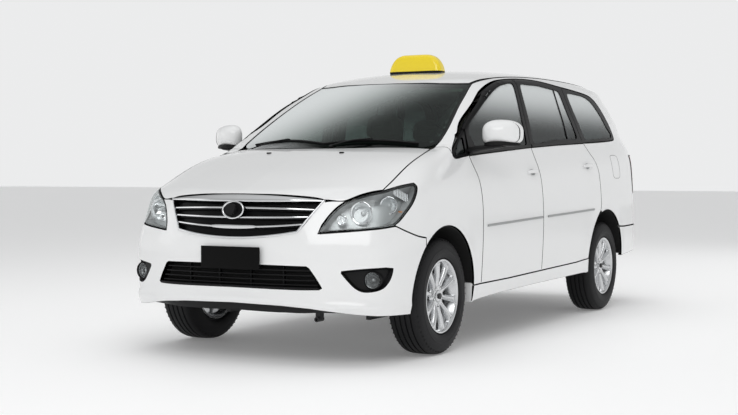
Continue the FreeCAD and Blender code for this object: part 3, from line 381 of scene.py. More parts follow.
def fill(loops, step):
    """Triangles inside loops (outer first, then holes) with an even grid of inner points."""
    lo = loops[0].min(0)
    hi = loops[0].max(0)
    gx = np.arange(lo[0] + step * 0.5, hi[0], step)
    gy = np.arange(lo[1] + step * 0.5, hi[1], step * 0.87)
    X, Y = np.meshgrid(gx, gy)
    X = X + (np.arange(len(gy)) % 2)[:, None] * step * 0.5
    G = np.stack([X.ravel(), Y.ravel()], 1)
    G = G[inside_poly(loops, G)]
    B = np.concatenate(loops)
    if len(G):
        keep = np.ones(len(G), bool)
        for i in range(0, len(G), 2000):
            d = ((G[i:i + 2000, None] - B[None]) ** 2).sum(2).min(1)
            keep[i:i + 2000] = d > (step * 0.55) ** 2
        G = G[keep]
    pts = np.concatenate([B, G]) if len(G) else B
    edges = []
    s = 0
    for L in loops:
        n = len(L)
        edges += [(s + i, s + (i + 1) % n) for i in range(n)]
        s += n
    res = delaunay_2d_cdt([Vector(p) for p in pts.tolist()], edges, [], 0, 1e-7)
    V2 = np.array([tuple(v) for v in res[0]])
    orig = np.full(len(V2), -1)
    for i, o in enumerate(res[3]):
        if o:
            orig[i] = o[0]
    T = np.array([f for f in res[2] if len(f) == 3], int)
    cen = V2[T].mean(1)
    T = T[inside_poly(loops, cen)]
    a, b, c = V2[T[:, 0]], V2[T[:, 1]], V2[T[:, 2]]
    ar = (b[:, 0] - a[:, 0]) * (c[:, 1] - a[:, 1]) - (b[:, 1] - a[:, 1]) * (c[:, 0] - a[:, 0])
    T = np.where((ar < 0)[:, None], T[:, ::-1], T)
    T = T[np.abs(ar) > 1e-10]
    back = {int(o): i for i, o in enumerate(orig) if o >= 0}
    return V2, T, back


def loop_frames(f, m, L3):
    """Surface normal and outward in-surface direction along an outline."""
    N = grad(f, L3)
    T = np.roll(L3, -1, axis=0) - np.roll(L3, 1, axis=0)
    T /= np.maximum(np.linalg.norm(T, axis=1), 1e-9)[:, None]
    B = np.cross(T, N)
    B /= np.maximum(np.linalg.norm(B, axis=1), 1e-9)[:, None]
    uv = m.inv(L3)
    d = m.inv(L3 + 0.004 * B) - uv
    t2 = np.roll(uv, -1, axis=0) - np.roll(uv, 1, axis=0)
    area = 0.5 * np.sum(uv[:, 0] * np.roll(uv[:, 1], -1) - np.roll(uv[:, 0], -1) * uv[:, 1])
    n2 = np.stack([t2[:, 1], -t2[:, 0]], 1) * (1 if area > 0 else -1)
    s = np.sign(np.sum((n2 * d).sum(1)))
    return N, B * (s if s != 0 else 1)


def patch(f, m, loops3, step=0.03, r=0.0022, depth=0.016, solid=0.0, hem=4, lift_by=0.0):
    """A panel with rounded, turned-in edges. Returns verts, faces, normals, part ids (0 skin, 1 flange, 2 inner)."""
    fr = [loop_frames(f, m, L) for L in loops3]
    loops_in, B_, N_ = [], [], []
    for i, (L, (N, B)) in enumerate(zip(loops3, fr)):
        B = B if i == 0 else -B
        loops_in.append(m.inv(L - r * B))
        B_.append(B)
        N_.append(N)
    V2, T, back = fill(loops_in, step)
    P = on(f, m, V2)
    N = grad(f, P)
    a, b, c = P[T[:, 0]], P[T[:, 1]], P[T[:, 2]]
    g = np.cross(b - a, c - a)
    if np.sum((g * N[T[:, 0]]).sum(1)) < 0:
        T = T[:, ::-1]
    V = [P + lift_by * N]
    NN = [N]
    F = [tuple(t) for t in T]
    ids = [0] * len(T)
    s = 0
    nv = len(P)
    inner_faces = []
    last_rings = []
    for L, B, Nn in zip(loops_in, B_, N_):
        n = len(L)
        idx = np.array([back.get(s + i, -1) for i in range(n)])
        s += n
        ok = idx >= 0
        if not ok.all():
            idx = idx[ok]
            B, Nn = B[ok], Nn[ok]
            n = len(idx)
        base = V[0][idx]
        Nb = N[idx]
        Bb = B - (B * Nb).sum(1)[:, None] * Nb
        Bb /= np.maximum(np.linalg.norm(Bb, axis=1), 1e-9)[:, None]
        prev = idx
        w = np.cross(base[np.arange(n) - 1] - base, Nb)
        turn = np.sign(np.sum((w * Bb).sum(1)))
        rings = []
        for k in range(1, hem + 1):
            al = PI / 2 * k / hem
            rings.append((base + r * math.sin(al) * Bb - r * (1 - math.cos(al)) * Nb, math.cos(al) * Nb + math.sin(al) * Bb, 0))
        tot = solid if solid > 0 else depth
        if tot > r:
            rings.append((base + r * Bb - tot * Nb, Bb, 1))
        for R, RN, tag in rings:
            cur = np.arange(nv, nv + n)
            V.append(R)
            NN.append(RN)
            nv += n
            for i in range(n):
                j = (i + 1) % n
                q = (prev[i], prev[j], cur[j], cur[i])
                F.append(q if turn < 0 else q[::-1])
                ids.append(tag)
            prev = cur
        last_rings.append((idx, prev))
    if solid > 0:
        off = nv
        V.append(V[0] - solid * N)
        NN.append(-N)
        nv += len(P)
        m2 = {}
        for idx, ring in last_rings:
            for a0, b0 in zip(idx, ring):
                m2[int(a0)] = int(b0)
        for t in T:
            F.append(tuple(m2.get(int(i), off + int(i)) for i in t[::-1]))
            ids.append(2)
    V = np.concatenate(V)
    NN = np.concatenate(NN)
    return V, F, NN, ids


def tidy(V, F, NN):
    used = np.zeros(len(V), bool)
    for f in F:
        for i in f:
            used[i] = True
    mp = np.cumsum(used) - 1
    return V[used], [tuple(int(mp[i]) for i in f) for f in F], (NN[used] if NN is not None else None)


def panel(name, body, f, m, loops3, mats, mirror=False, custom=True, **kw):
    """Builds a panel and, if asked, its twin on the other side."""
    V, F, NN, ids = patch(f, m, loops3, **kw)
    V, F, NN = tidy(V, F, NN)
    if not isinstance(mats, (list, tuple)):
        mats = [mats]
    ids = [min(i, len(mats) - 1) for i in ids]
    out = []
    names = [(name, V, F, NN, body)]
    if mirror:
        Vm, Nm = V.copy(), NN.copy()
        Vm[:, 0] *= -1
        Nm[:, 0] *= -1
        nm = name.replace("left", "right") if "left" in name else name + "_right"
        names.append((nm, Vm, [q[::-1] for q in F], Nm, body.replace("left", "right")))
    for nme, v, q, n, b in names:
        ob = mesh_obj(nme, v, q, mats, ids, n if custom else None)
        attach(ob, b)
        out.append(ob)
    return out


# ---------------------------------------------------------------- materials
def mat(name, color, rough=0.5, metal=0.0, coat=0.0, coat_rough=0.03, spec=0.5, trans=0.0, ior=1.45, emit=None, emit_s=0.0, alpha=1.0, sheen=0.0):
    m = bpy.data.materials.new(name)
    m.use_nodes = True
    b = m.node_tree.nodes["Principled BSDF"]
    b.inputs["Base Color"].default_value = (*color, 1.0)
    b.inputs["Roughness"].default_value = rough
    b.inputs["Metallic"].default_value = metal
    b.inputs["Coat Weight"].default_value = coat
    b.inputs["Coat Roughness"].default_value = coat_rough
    b.inputs["Specular IOR Level"].default_value = spec
    b.inputs["Transmission Weight"].default_value = trans
    b.inputs["IOR"].default_value = ior
    b.inputs["Alpha"].default_value = alpha
    b.inputs["Sheen Weight"].default_value = sheen
    if emit is not None:
        b.inputs["Emission Color"].default_value = (*emit, 1.0)
        b.inputs["Emission Strength"].default_value = emit_s
    return m


def bumpy(m, kind="noise", scale=200.0, strength=0.3, dist=0.001, detail=3.0):
    """Fine surface relief from a procedural texture."""
    nt = m.node_tree
    tc = nt.nodes.new("ShaderNodeTexCoord")
    if kind == "noise":
        tx = nt.nodes.new("ShaderNodeTexNoise")
        tx.inputs["Scale"].default_value = scale
        tx.inputs["Detail"].default_value = detail
        out = tx.outputs["Fac"]
    else:
        tx = nt.nodes.new("ShaderNodeTexVoronoi")
        tx.inputs["Scale"].default_value = scale
        out = tx.outputs["Distance"]
    nt.links.new(tc.outputs["Object"], tx.inputs["Vector"])
    bp = nt.nodes.new("ShaderNodeBump")
    bp.inputs["Strength"].default_value = strength
    bp.inputs["Distance"].default_value = dist
    nt.links.new(out, bp.inputs["Height"])
    nt.links.new(bp.outputs["Normal"], nt.nodes["Principled BSDF"].inputs["Normal"])
    return m


M_PAINT = mat("white_paint", (0.86, 0.865, 0.865), rough=0.32, coat=1.0, coat_rough=0.02, spec=0.5)
M_INNER = mat("inner_paint", (0.62, 0.63, 0.63), rough=0.5)
M_BLACK = bumpy(mat("black_plastic", (0.008, 0.008, 0.0085), rough=0.5, spec=0.22), scale=900, strength=0.12)
M_GLOSSB = mat("gloss_black", (0.005, 0.005, 0.0055), rough=0.30, spec=0.10)
M_RUBBER = mat("seal_rubber", (0.012, 0.012, 0.012), rough=0.6)
M_CHROME = mat("chrome", (0.80, 0.81, 0.82), rough=0.09, metal=1.0)
M_SILVER = mat("silver_plastic", (0.62, 0.63, 0.64), rough=0.28, metal=0.9)
M_ALLOY = mat("alloy", (0.66, 0.67, 0.68), rough=0.24, metal=0.9, coat=0.5)
M_STEEL = mat("steel", (0.42, 0.42, 0.42), rough=0.35, metal=1.0)
M_PIPE = mat("pipe_steel", (0.16, 0.155, 0.15), rough=0.45, metal=0.9)
M_DARKMET = mat("dark_metal", (0.035, 0.035, 0.036), rough=0.5, metal=0.3)
M_TYRE = bumpy(mat("tyre_rubber", (0.010, 0.010, 0.011), rough=0.58, spec=0.30), scale=600, strength=0.12)
M_GREY = mat("moulding_grey", (0.33, 0.34, 0.34), rough=0.4)
M_LINER = mat("arch_liner", (0.010, 0.010, 0.010), rough=0.85)
M_LENSRED = mat("red_lens", (0.42, 0.012, 0.015), rough=0.12, coat=1.0, trans=0.25)
M_LENSAMB = mat("amber_lens", (0.80, 0.28, 0.02), rough=0.12, coat=1.0, trans=0.3)
M_LENSWHT = mat("white_lens", (0.85, 0.86, 0.87), rough=0.10, coat=1.0, trans=0.3)
M_SIGN = mat("sign_yellow", (0.86, 0.66, 0.015), rough=0.22, coat=0.8, emit=(0.9, 0.66, 0.02), emit_s=0.05)
M_HEADLINER = mat("headliner", (0.50, 0.48, 0.44), rough=0.9)
M_TRIM = bumpy(mat("trim_beige", (0.36, 0.32, 0.27), rough=0.7), scale=700, strength=0.2)
M_DASH = bumpy(mat("dash_grey", (0.17, 0.165, 0.155), rough=0.6), scale=700, strength=0.2)
M_CARPET = bumpy(mat("carpet", (0.10, 0.095, 0.09), rough=0.95), scale=1400, strength=0.6, dist=0.002)
M_CLOTH = bumpy(mat("seat_cloth", (0.50, 0.46, 0.40), rough=0.85, sheen=0.3), scale=1100, strength=0.35)
M_CLOTH2 = bumpy(mat("seat_cloth_dark", (0.24, 0.225, 0.20), rough=0.85, sheen=0.3), scale=1100, strength=0.35)
M_MIRROR = mat("mirror_glass", (0.85, 0.87, 0.88), rough=0.01, metal=1.0)


def glass_mat(name, tint, rough=0.0, spec=0.5, painted_reflection=None):
    """Thin tinted pane: clear tint with a surface reflection, and a painted reflection: a pale diffuse layer that grows
    along a direction of the car.
    """
    m = bpy.data.materials.new(name)
    m.use_nodes = True
    nt = m.node_tree
    nt.nodes.clear()
    out = nt.nodes.new("ShaderNodeOutputMaterial")
    tr = nt.nodes.new("ShaderNodeBsdfTransparent")
    tr.inputs["Color"].default_value = (*tint, 1.0)
    gl = nt.nodes.new("ShaderNodeBsdfGlossy")
    gl.inputs["Color"].default_value = (0.85, 0.87, 0.87, 1)
    gl.inputs["Roughness"].default_value = rough
    lw = nt.nodes.new("ShaderNodeLayerWeight")
    lw.inputs["Blend"].default_value = 0.5
    pw = nt.nodes.new("ShaderNodeMath")
    pw.operation = "POWER"
    pw.inputs[1].default_value = 4.5
    nt.links.new(lw.outputs["Facing"], pw.inputs[0])
    ad = nt.nodes.new("ShaderNodeMath")
    ad.operation = "MULTIPLY_ADD"
    ad.inputs[1].default_value = 0.50
    ad.inputs[2].default_value = spec * 0.10
    nt.links.new(pw.outputs["Value"], ad.inputs[0])
    mx = nt.nodes.new("ShaderNodeMixShader")
    nt.links.new(ad.outputs["Value"], mx.inputs["Fac"])
    base = tr.outputs["BSDF"]
    # painted reflection: a pale diffuse layer mixed in more along the given direction, standing in for a sky reflection
    if painted_reflection is not None:
        tc = nt.nodes.new("ShaderNodeTexCoord")
        dp = nt.nodes.new("ShaderNodeVectorMath")
        dp.operation = "DOT_PRODUCT"
        dp.inputs[1].default_value = painted_reflection[0]
        nt.links.new(tc.outputs["Object"], dp.inputs[0])
        mr = nt.nodes.new("ShaderNodeMapRange")
        mr.interpolation_type = "SMOOTHERSTEP"
        mr.inputs["From Min"].default_value, mr.inputs["From Max"].default_value = painted_reflection[1]
        mr.inputs["To Min"].default_value, mr.inputs["To Max"].default_value = 0.0, painted_reflection[2]
        nt.links.new(dp.outputs["Value"], mr.inputs["Value"])
        painted_sky_layer = nt.nodes.new("ShaderNodeBsdfDiffuse")
        painted_sky_layer.inputs["Color"].default_value = (0.80, 0.83, 0.83, 1)
        m2 = nt.nodes.new("ShaderNodeMixShader")
        nt.links.new(mr.outputs["Result"], m2.inputs["Fac"])
        nt.links.new(base, m2.inputs[1])
        nt.links.new(painted_sky_layer.outputs["BSDF"], m2.inputs[2])
        base = m2.outputs["Shader"]
    nt.links.new(base, mx.inputs[1])
    nt.links.new(gl.outputs["BSDF"], mx.inputs[2])
    nt.links.new(mx.outputs["Shader"], out.inputs["Surface"])
    return m


def pane_mat(name, base, trans=1.0, rough=0.0, ior=1.45, alpha=1.0):
    m = bpy.data.materials.new(name)
    m.use_nodes = True
    b = m.node_tree.nodes["Principled BSDF"]
    b.inputs["Base Color"].default_value = (*base, 1.0)
    b.inputs["Roughness"].default_value = rough
    b.inputs["Transmission Weight"].default_value = trans
    b.inputs["IOR"].default_value = ior
    b.inputs["Alpha"].default_value = alpha
    return m


# windscreen: painted reflection, paler towards the top on the -x side
M_SCREEN = glass_mat("screen_glass", (0.48, 0.57, 0.53), rough=0.02, spec=0.20, painted_reflection=((-0.9, 0.0, 1.3), (1.40, 2.40), 0.95))
# side glass: painted sky reflection, paler towards the top of the pane
M_GLASS = glass_mat("side_glass", (0.36, 0.39, 0.39), rough=0.10, spec=0.30, painted_reflection=((0.0, 0.0, 1.0), (1.24, 1.585), 0.86))
M_CLEAR = glass_mat("clear_lens", (0.96, 0.97, 0.97), spec=0.35)
M_LAMPWALL = mat("lamp_wall", (0.42, 0.425, 0.43), rough=0.42, metal=0.4)
M_FOGBACK = mat("fog_back", (0.26, 0.265, 0.27), rough=0.24, metal=0.8)
M_BOWL = mat("lamp_bowl", (0.92, 0.93, 0.94), rough=0.10, metal=1.0)
M_LAMPBACK = mat("lamp_back", (0.54, 0.555, 0.56), rough=0.34, metal=0.65)
M_PLATE = mat("plate_black", (0.003, 0.003, 0.003), rough=0.6, spec=0.12)

ROOT = "car_body"

# ---------------------------------------------------------------- outlines (metres)
YD = -0.9945                       # door front edge
G = 0.0017                         # half of a shut gap
HOOD_HALF = [(0.0, -2.222), (0.15, -2.216), (0.30, -2.199), (0.487, -2.157), (0.584, -2.114), (0.66, -2.046), (0.727, -1.963), (0.724, -1.85), (0.716, -1.70), (0.703, -1.52), (0.688, -1.40), (0.662, -1.262), (0.60, -1.290), (0.45, -1.348), (0.2, -1.418), (0.0, -1.436)]
DLO = [(-1.211, 1.107), (-1.197, 1.135), (-1.159, 1.165), (-1.063, 1.2265), (-0.916, 1.313), (-0.779, 1.386), (-0.584, 1.481), (-0.491, 1.522), (-0.392, 1.559), (-0.300, 1.585), (-0.221, 1.599), (0.0085, 1.620), (0.3365, 1.629), (0.7785, 1.609), (1.1375, 1.591), (1.32, 1.578), (1.4155, 1.563), (1.49, 1.537), (1.5595, 1.494), (1.6555, 1.389), (1.7175, 1.292), (1.712, 1.268), (1.685, 1.256), (1.5995, 1.246), (1.0305, 1.219), (0.40, 1.193), (-0.0945, 1.168), (-0.8215, 1.122), (-1.0, 1.1085), (-1.24, 1.084)]
SPLIT_F = [(-0.026, 1.630), (-0.0245, 1.50), (-0.019, 1.35), (-0.012, 1.22), (-0.010, 1.166), (-0.013, 1.10), (-0.024, 0.95), (-0.030, 0.80), (-0.030, 0.60), (-0.030, 0.372)]
REAR_EDGE = [(0.812, 1.612), (0.850, 1.50), (0.890, 1.40), (0.9835, 1.2165), (1.030, 1.150), (1.085, 1.085), (1.112, 1.02), (1.118, 0.96), (1.118, 0.84), (1.108, 0.775), (1.085, 0.735)]


def belt_z(y):
    return float(np.interp(y, [-1.24, -1.0, -0.8215, -0.0945, 0.40, 1.0305, 1.5995], [1.084, 1.1085, 1.122, 1.168, 1.193, 1.219, 1.246]))


def sill_z(y):
    return float(np.interp(y, [-1.1, -0.58, -0.02, 0.62, 0.84, 0.9], [0.361, 0.365, 0.377, 0.390, 0.402, 0.410]))


def dlo_top(y0, y1, off=0.0):
    """Upper window line between two positions."""
    up = np.array(DLO[2:17], float)
    C = spline_pts(up, 0.01)
    k = (C[:, 0] > min(y0, y1)) & (C[:, 0] < max(y0, y1))
    C = C[k]
    C[:, 1] += off
    return C if y0 < y1 else C[::-1]


def split_x(pts, dy=0.0):
    return np.array([(a + dy, b) for a, b in pts])


WR = Wrap(-1.55, 1.45, 0.72)
WF = Wrap(-1.45, 1.45, 0.55)

# hood
half = spline_pts(HOOD_HALF, 0.012, corners=(3, 6, 11))
hood_xy = np.concatenate([half, (half * [-1, 1])[::-1][1:-1]])
hood_loop = join(lift(f_hood, "top", hood_xy))
hood = panel("hood_skin", "hood_lid", f_hood, TOP, [hood_loop], [M_PAINT, M_PAINT, M_INNER], step=0.03, solid=0.018)[0]
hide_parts("hood")

# doors
fd = [(YD + G, 0.372), (YD + G, belt_z(YD))]
sill = [(y, sill_z(y)) for y in np.linspace(-0.030 - G, YD + G, 40)]
skin = np.concatenate([spline_pts([(YD + G, sill_z(YD)), (YD + G, belt_z(YD) - 0.004)], 0.012),
                       spline_pts([(y, belt_z(y) - 0.004) for y in np.linspace(YD + G, -0.0125, 18)], 0.012),
                       spline_pts([(a - G, b) for a, b in [(-0.010, belt_z(-0.0125) - 0.004)] + SPLIT_F[5:-1] + [(-0.030, sill_z(-0.03))]], 0.012),
                       np.array(sill)])
door_loop = join(lift(f_body, "side", skin))
for ob, sd in zip(panel("front_door_left_skin", "front_left_door", f_body, SIDE, [door_loop], [M_PAINT, M_PAINT, M_TRIM], mirror=True, step=0.03, solid=0.050), ("left", "right")):
    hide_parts("front_door_" + sd)
rd_low = [(1.085, 0.735), (1.035, 0.702), (0.990, 0.665), (0.952, 0.628), (0.918, 0.582), (0.890, 0.53), (0.872, 0.485), (0.860, 0.44), (0.852, 0.404)]
skin = np.concatenate([spline_pts([(a + G, b) for a, b in [(-0.030, sill_z(-0.03))] + SPLIT_F[-2:4:-1] + [(-0.010, belt_z(-0.0075) - 0.004)]], 0.012),
                       spline_pts([(y, belt_z(y) - 0.004) for y in np.linspace(-0.0075, 0.981, 22)], 0.012),
                       spline_pts([(a - G, b) for a, b in REAR_EDGE[3:]], 0.012),
                       spline_pts([(a - G, b) for a, b in rd_low], 0.012),
                       np.array([(y, sill_z(y)) for y in np.linspace(0.852 - G, -0.030 + G, 50)])])
door_loop = join(lift(f_body, "side", skin))
for ob, sd in zip(panel("rear_door_left_skin", "rear_left_door", f_body, SIDE, [door_loop], [M_PAINT, M_PAINT, M_TRIM], mirror=True, step=0.03, solid=0.050), ("left", "right")):
    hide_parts("rear_door_" + sd)


# ---------------------------------------------------------------- simple solids
class Kit:
    """Collects simple solids into one mesh."""
    def __init__(s):
        s.V, s.F, s.M, s.n = [], [], [], 0

    def add(s, VF, m=0):
        V, F = VF
        V = np.asarray(V, float).reshape(-1, 3)
        s.V.append(V)
        s.F += [tuple(int(i) + s.n for i in f) for f in F]
        s.M += [m] * len(F)
        s.n += len(V)
        return s

    def twin(s):
        """Adds a mirror image of all so far."""
        V = np.concatenate(s.V)
        F, M = list(s.F), list(s.M)
        n = s.n
        s.V.append(V * [-1, 1, 1])
        s.F += [tuple(i + n for i in f[::-1]) for f in F]
        s.M += M
        s.n += len(V)
        return s

    def out(s, name, body, mats, angle=38, replaces=()):
        ob = mesh_obj(name, np.concatenate(s.V), s.F, mats if isinstance(mats, (list, tuple)) else [mats], s.M, None)
        ob.data.set_sharp_from_angle(angle=math.radians(angle))
        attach(ob, body)
        if replaces:
            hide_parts(*([replaces] if isinstance(replaces, str) else replaces))
        return ob

    def pair(s, name, body, mats, angle=38, replaces=()):
        """The left piece and its right twin."""
        a = s.out(name, body, mats, angle, replaces)
        k = Kit()
        k.V, k.F, k.M, k.n = [np.concatenate(s.V) * [-1, 1, 1]], [f[::-1] for f in s.F], list(s.M), s.n
        r = [replaces] if isinstance(replaces, str) else list(replaces)
        b = k.out(name.replace("left", "right"), body.replace("left", "right"), mats, angle, [q.replace("left", "right") for q in r])
        return a, b


def rbox(lo, hi, r=0.004, seg=2):
    """Box with rounded edges."""
    lo, hi = np.minimum(lo, hi), np.maximum(lo, hi)
    bm = bmesh.new()
    bmesh.ops.create_cube(bm, size=1.0)
    c, d = (lo + hi) / 2, hi - lo
    for v in bm.verts:
        v.co = Vector((c[0] + v.co.x * d[0], c[1] + v.co.y * d[1], c[2] + v.co.z * d[2]))
    r = min(r, 0.45 * float(d.min()))
    if r > 1e-5:
        bmesh.ops.bevel(bm, geom=list(bm.edges) + list(bm.verts), offset=r, segments=seg, affect="EDGES", profile=0.5)
    bm.verts.index_update()
    V = [tuple(v.co) for v in bm.verts]
    F = [tuple(v.index for v in f.verts) for f in bm.faces]
    bm.free()
    return np.array(V), F


def loft(rings, caps=(True, True), closed=False):
    """Skin through rings of equal count; closed joins the last ring to the first."""
    R = [np.asarray(r, float) for r in rings]
    n = len(R[0])
    V = np.concatenate(R)
    F = []
    m = len(R)
    for k in range(m if closed else m - 1):
        a, b = k * n, ((k + 1) % m) * n
        for i in range(n):
            j = (i + 1) % n
            F.append((a + i, a + j, b + j, b + i))
    if not closed:
        if caps[0]:
            F.append(tuple(range(n))[::-1])
        if caps[1]:
            F.append(tuple(range((m - 1) * n, m * n)))
    vol = 0.0
    for f in F:
        p = V[list(f)]
        for i in range(1, len(f) - 1):
            vol += np.dot(p[0], np.cross(p[i], p[i + 1]))
    if vol < 0:
        F = [f[::-1] for f in F]
    return V, F


def unit(v):
    v = np.asarray(v, float)
    return v / max(np.linalg.norm(v), 1e-12)


def sweep(path, prof, up, closed=False, caps=True, scale=None):
    """Profile (side, out) carried along a path; up gives the out direction."""
    P = np.asarray(path, float)
    U = np.asarray(up, float)
    if U.ndim == 1:
        U = np.tile(U, (len(P), 1))
    T = np.roll(P, -1, axis=0) - np.roll(P, 1, axis=0)
    if not closed:
        T[0], T[-1] = P[1] - P[0], P[-1] - P[-2]
    T /= np.maximum(np.linalg.norm(T, axis=1), 1e-12)[:, None]
    U = U - (U * T).sum(1)[:, None] * T
    U /= np.maximum(np.linalg.norm(U, axis=1), 1e-12)[:, None]
    B = np.cross(T, U)
    pr = np.asarray(prof, float)
    rings = []
    for i in range(len(P)):
        k = 1.0 if scale is None else scale[i]
        k = np.array(k if np.ndim(k) else (k, k), float)
        rings.append(P[i] + (pr[:, :1] * k[0]) * B[i] + (pr[:, 1:2] * k[1]) * U[i])
    return loft(rings, (caps, caps), closed)


def circle(r, n=12, ry=None):
    a = np.linspace(0, TAU, n, endpoint=False)
    return np.stack([r * np.cos(a), (ry if ry is not None else r) * np.sin(a)], 1)


def rrect(w, h, r=0.003, n=3):
    """Rounded rectangle profile centred on the path."""
    out = []
    r = min(r, w / 2 - 1e-5, h / 2 - 1e-5)
    for sx, sy, a0 in ((1, 1, 0), (-1, 1, 90), (-1, -1, 180), (1, -1, 270)):
        for k in range(n + 1):
            a = math.radians(a0 + 90 * k / n)
            out.append((sx * (w / 2 - r) + r * math.cos(a), sy * (h / 2 - r) + r * math.sin(a)))
    return np.array(out)


def tube(path, r, n=10, up=(0.123, 0.456, 0.88), closed=False):
    return sweep(path, circle(r, n), up, closed)


def spin(prof, origin, axis, n=32, ref=(0.1, 0.3, 0.95), start=0.0, span=TAU, squash=(1.0, 1.0)):
    """Profile (along axis, radius) turned about an axis."""
    ax = unit(axis)
    u = unit(np.cross(ax, ref))
    v = np.cross(ax, u)
    full = abs(span - TAU) < 1e-6
    ang = start + np.linspace(0, span, n + (0 if full else 1), endpoint=not full)
    pr = np.asarray(prof, float)
    o = np.asarray(origin, float)
    rings = []
    for a in ang:
        d = math.cos(a) * u * squash[0] + math.sin(a) * v * squash[1]
        rings.append(o + pr[:, :1] * ax + pr[:, 1:2] * d)
    V, F = loft(rings, (False, False) if full else (True, True), full)
    return V, F


def plate(loop, thick, normal):
    """Flat or curved outline given some thickness (convex or nearly so)."""
    L = np.asarray(loop, float)
    n = unit(normal)
    return loft([L, L + n * thick])


def place(VF, move=(0, 0, 0), rot=None):
    V, F = VF
    V = np.asarray(V, float)
    if rot is not None:
        V = V @ np.array(rot).T
    return V + np.asarray(move, float), F


def rot3(axis, deg):
    return np.array(Matrix.Rotation(math.radians(deg), 3, Vector(axis)))


def basis(x, y, z):
    return np.stack([unit(x), unit(y), unit(z)], 1)


def paintnode(name, material):
    """Gives a CAD node its finish."""
    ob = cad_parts[name]
    ob.data.materials.clear()
    ob.data.materials.append(material)

# body side: pillar, roof rail and rear quarter in one skin
SCREEN_SIDE = [(0.664, -1.205), (0.668, -1.150), (0.665, -1.100), (0.658, -1.032), (0.640, -0.922), (0.609, -0.761), (0.589, -0.643), (0.561, -0.502), (0.549, -0.440)]
DITCH = [(0.551, -0.426), (0.564, -0.37), (0.587, -0.28), (0.604, -0.15), (0.612, 0.0), (0.616, 0.2), (0.616, 0.8), (0.612, 1.3), (0.604, 1.7), (0.592, 1.86), (0.568, 1.945), (0.536, 2.012)]
GATE_EDGE = [(0.5385, 1.578), (0.570, 1.535), (0.586, 1.487), (0.602, 1.42), (0.652, 1.20), (0.674, 1.00), (0.670, 0.80), (0.642, 0.612)]


def on_top(pts, f=f_body):
    return lift(f, "top", pts)


def on_side(pts, f=f_body):
    return lift(f, "side", pts)


def on_back(pts, f=f_body):
    return lift(f, "back", pts)


def on_front(pts, f=f_body):
    return lift(f, "front", pts)


base_seam = [(0.672, -1.215), (0.705, -1.235), (0.745, -1.262)]
p_top = on_top(spline_pts([(a + 0.004, b) for a, b in SCREEN_SIDE], 0.012))
p_ditch = on_top(spline_pts([(a + 0.004, b) for a, b in DITCH], 0.012))
p_gate = on_back(spline_pts([(a + G, b) for a, b in GATE_EDGE], 0.012))
low_y = np.array([(1.672, 0.600), (1.80, 0.600), (2.00, 0.600)])
RB_TOP_Z = 0.600
edge_r = on(f_body, WR, WR.inv(np.array([[0.642, 2.15, 0.612]])))
# bumper line: from the gate's lower corner round the rear corner to the arch
u_gate = WR.inv(p_gate[-1:])[0]
u_arch = WR.inv(on_side([(1.668, 0.604)]))[0]
band = np.stack([np.linspace(u_gate[0], u_arch[0], 90), np.linspace(u_gate[1], u_arch[1], 90)], 1)


def level(f, m, uv, z):
    """Slides ray targets up or down until they lie at height z."""
    uv = np.array(uv, float)
    z = np.broadcast_to(np.asarray(z, float), (len(uv),))
    for _ in range(7):
        P = on(f, m, uv)
        uv[:, 1] += (z - P[:, 2]) * 0.9
    return on(f, m, uv)


p_band = level(f_body, WR, band, np.linspace(p_gate[-1][2], 0.604, 90))
arc_r = [(a, b) for a, b in arc2(ARCH_B[0], ARCH_B[1], ARCH_B[2], 42, 107)]
p_arch = on_side(arc_r)
p_redge = on_side(spline_pts([(a + G, b) for a, b in REAR_EDGE[3:]][::-1], 0.012))
low_dlo = spline_pts([(0.984 + G, belt_z(0.984) - 0.001), (1.0305, 1.216), (1.5995, 1.243), (1.685, 1.252), (1.715, 1.266), (1.7205, 1.292), (1.6585, 1.391), (1.5625, 1.497), (1.492, 1.541), (1.417, 1.567), (1.32, 1.582), (1.1375, 1.595)], 0.012)
up_dlo = dlo_top(1.13, -1.05, 0.004)
front_dlo = spline_pts([(-1.065, 1.2310), (-1.161, 1.169), (-1.2005, 1.1375), (-1.215, 1.106)], 0.012)
p_dlo = on_side(np.concatenate([low_dlo, up_dlo, front_dlo]))
seam = on(f_body, WR, np.linspace(WR.inv(p_dlo[-1:])[0], WR.inv(on_top([base_seam[0]]))[0], 14))
side_loop = join(p_top, p_ditch, p_gate, p_band[::1], p_arch, p_redge, p_dlo, seam)
bs = panel("body_side_left_skin", ROOT, f_body, WR, [side_loop], [M_PAINT, M_PAINT, M_INNER], mirror=True, step=0.03, solid=0.022)
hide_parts("body_sides")
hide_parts("body_sides")

# front wing
WING_LAMP = [(-1.965, 0.740), (-1.930, 0.757), (-1.862, 0.795), (-1.800, 0.835), (-1.775, 0.880), (-1.752, 0.925), (-1.753, 0.944)]
SPLIT_WING = [(-1.768, 0.662), (-1.84, 0.672), (-1.92, 0.704), (-1.962, 0.733)]
w_rear = on_side(spline_pts([(YD - G, sill_z(YD)), (YD - G, 1.10)], 0.012))
w_low = on_side(spline_pts([(-1.112, sill_z(-1.1)), (YD - G, sill_z(YD))], 0.012))
w_arch = on_side(arc2(ARCH_F[0], ARCH_F[1], ARCH_F[2], 131.5, 6.4))
w_dlo = on_side(spline_pts([(YD - G, belt_z(YD) - 0.001), (-1.10, belt_z(-1.10) - 0.001), (-1.175, 1.0885), (-1.205, 1.0925), (-1.2155, 1.102)], 0.012))
hood_side = [(a + 0.0038, b) for a, b in HOOD_HALF[6:12]]
w_hood = on_top(spline_pts([(0.672, -1.222)] + [(0.668, -1.262)] + hood_side[:5][::-1] + [(0.733, -1.960)], 0.012, corners=(1,)))
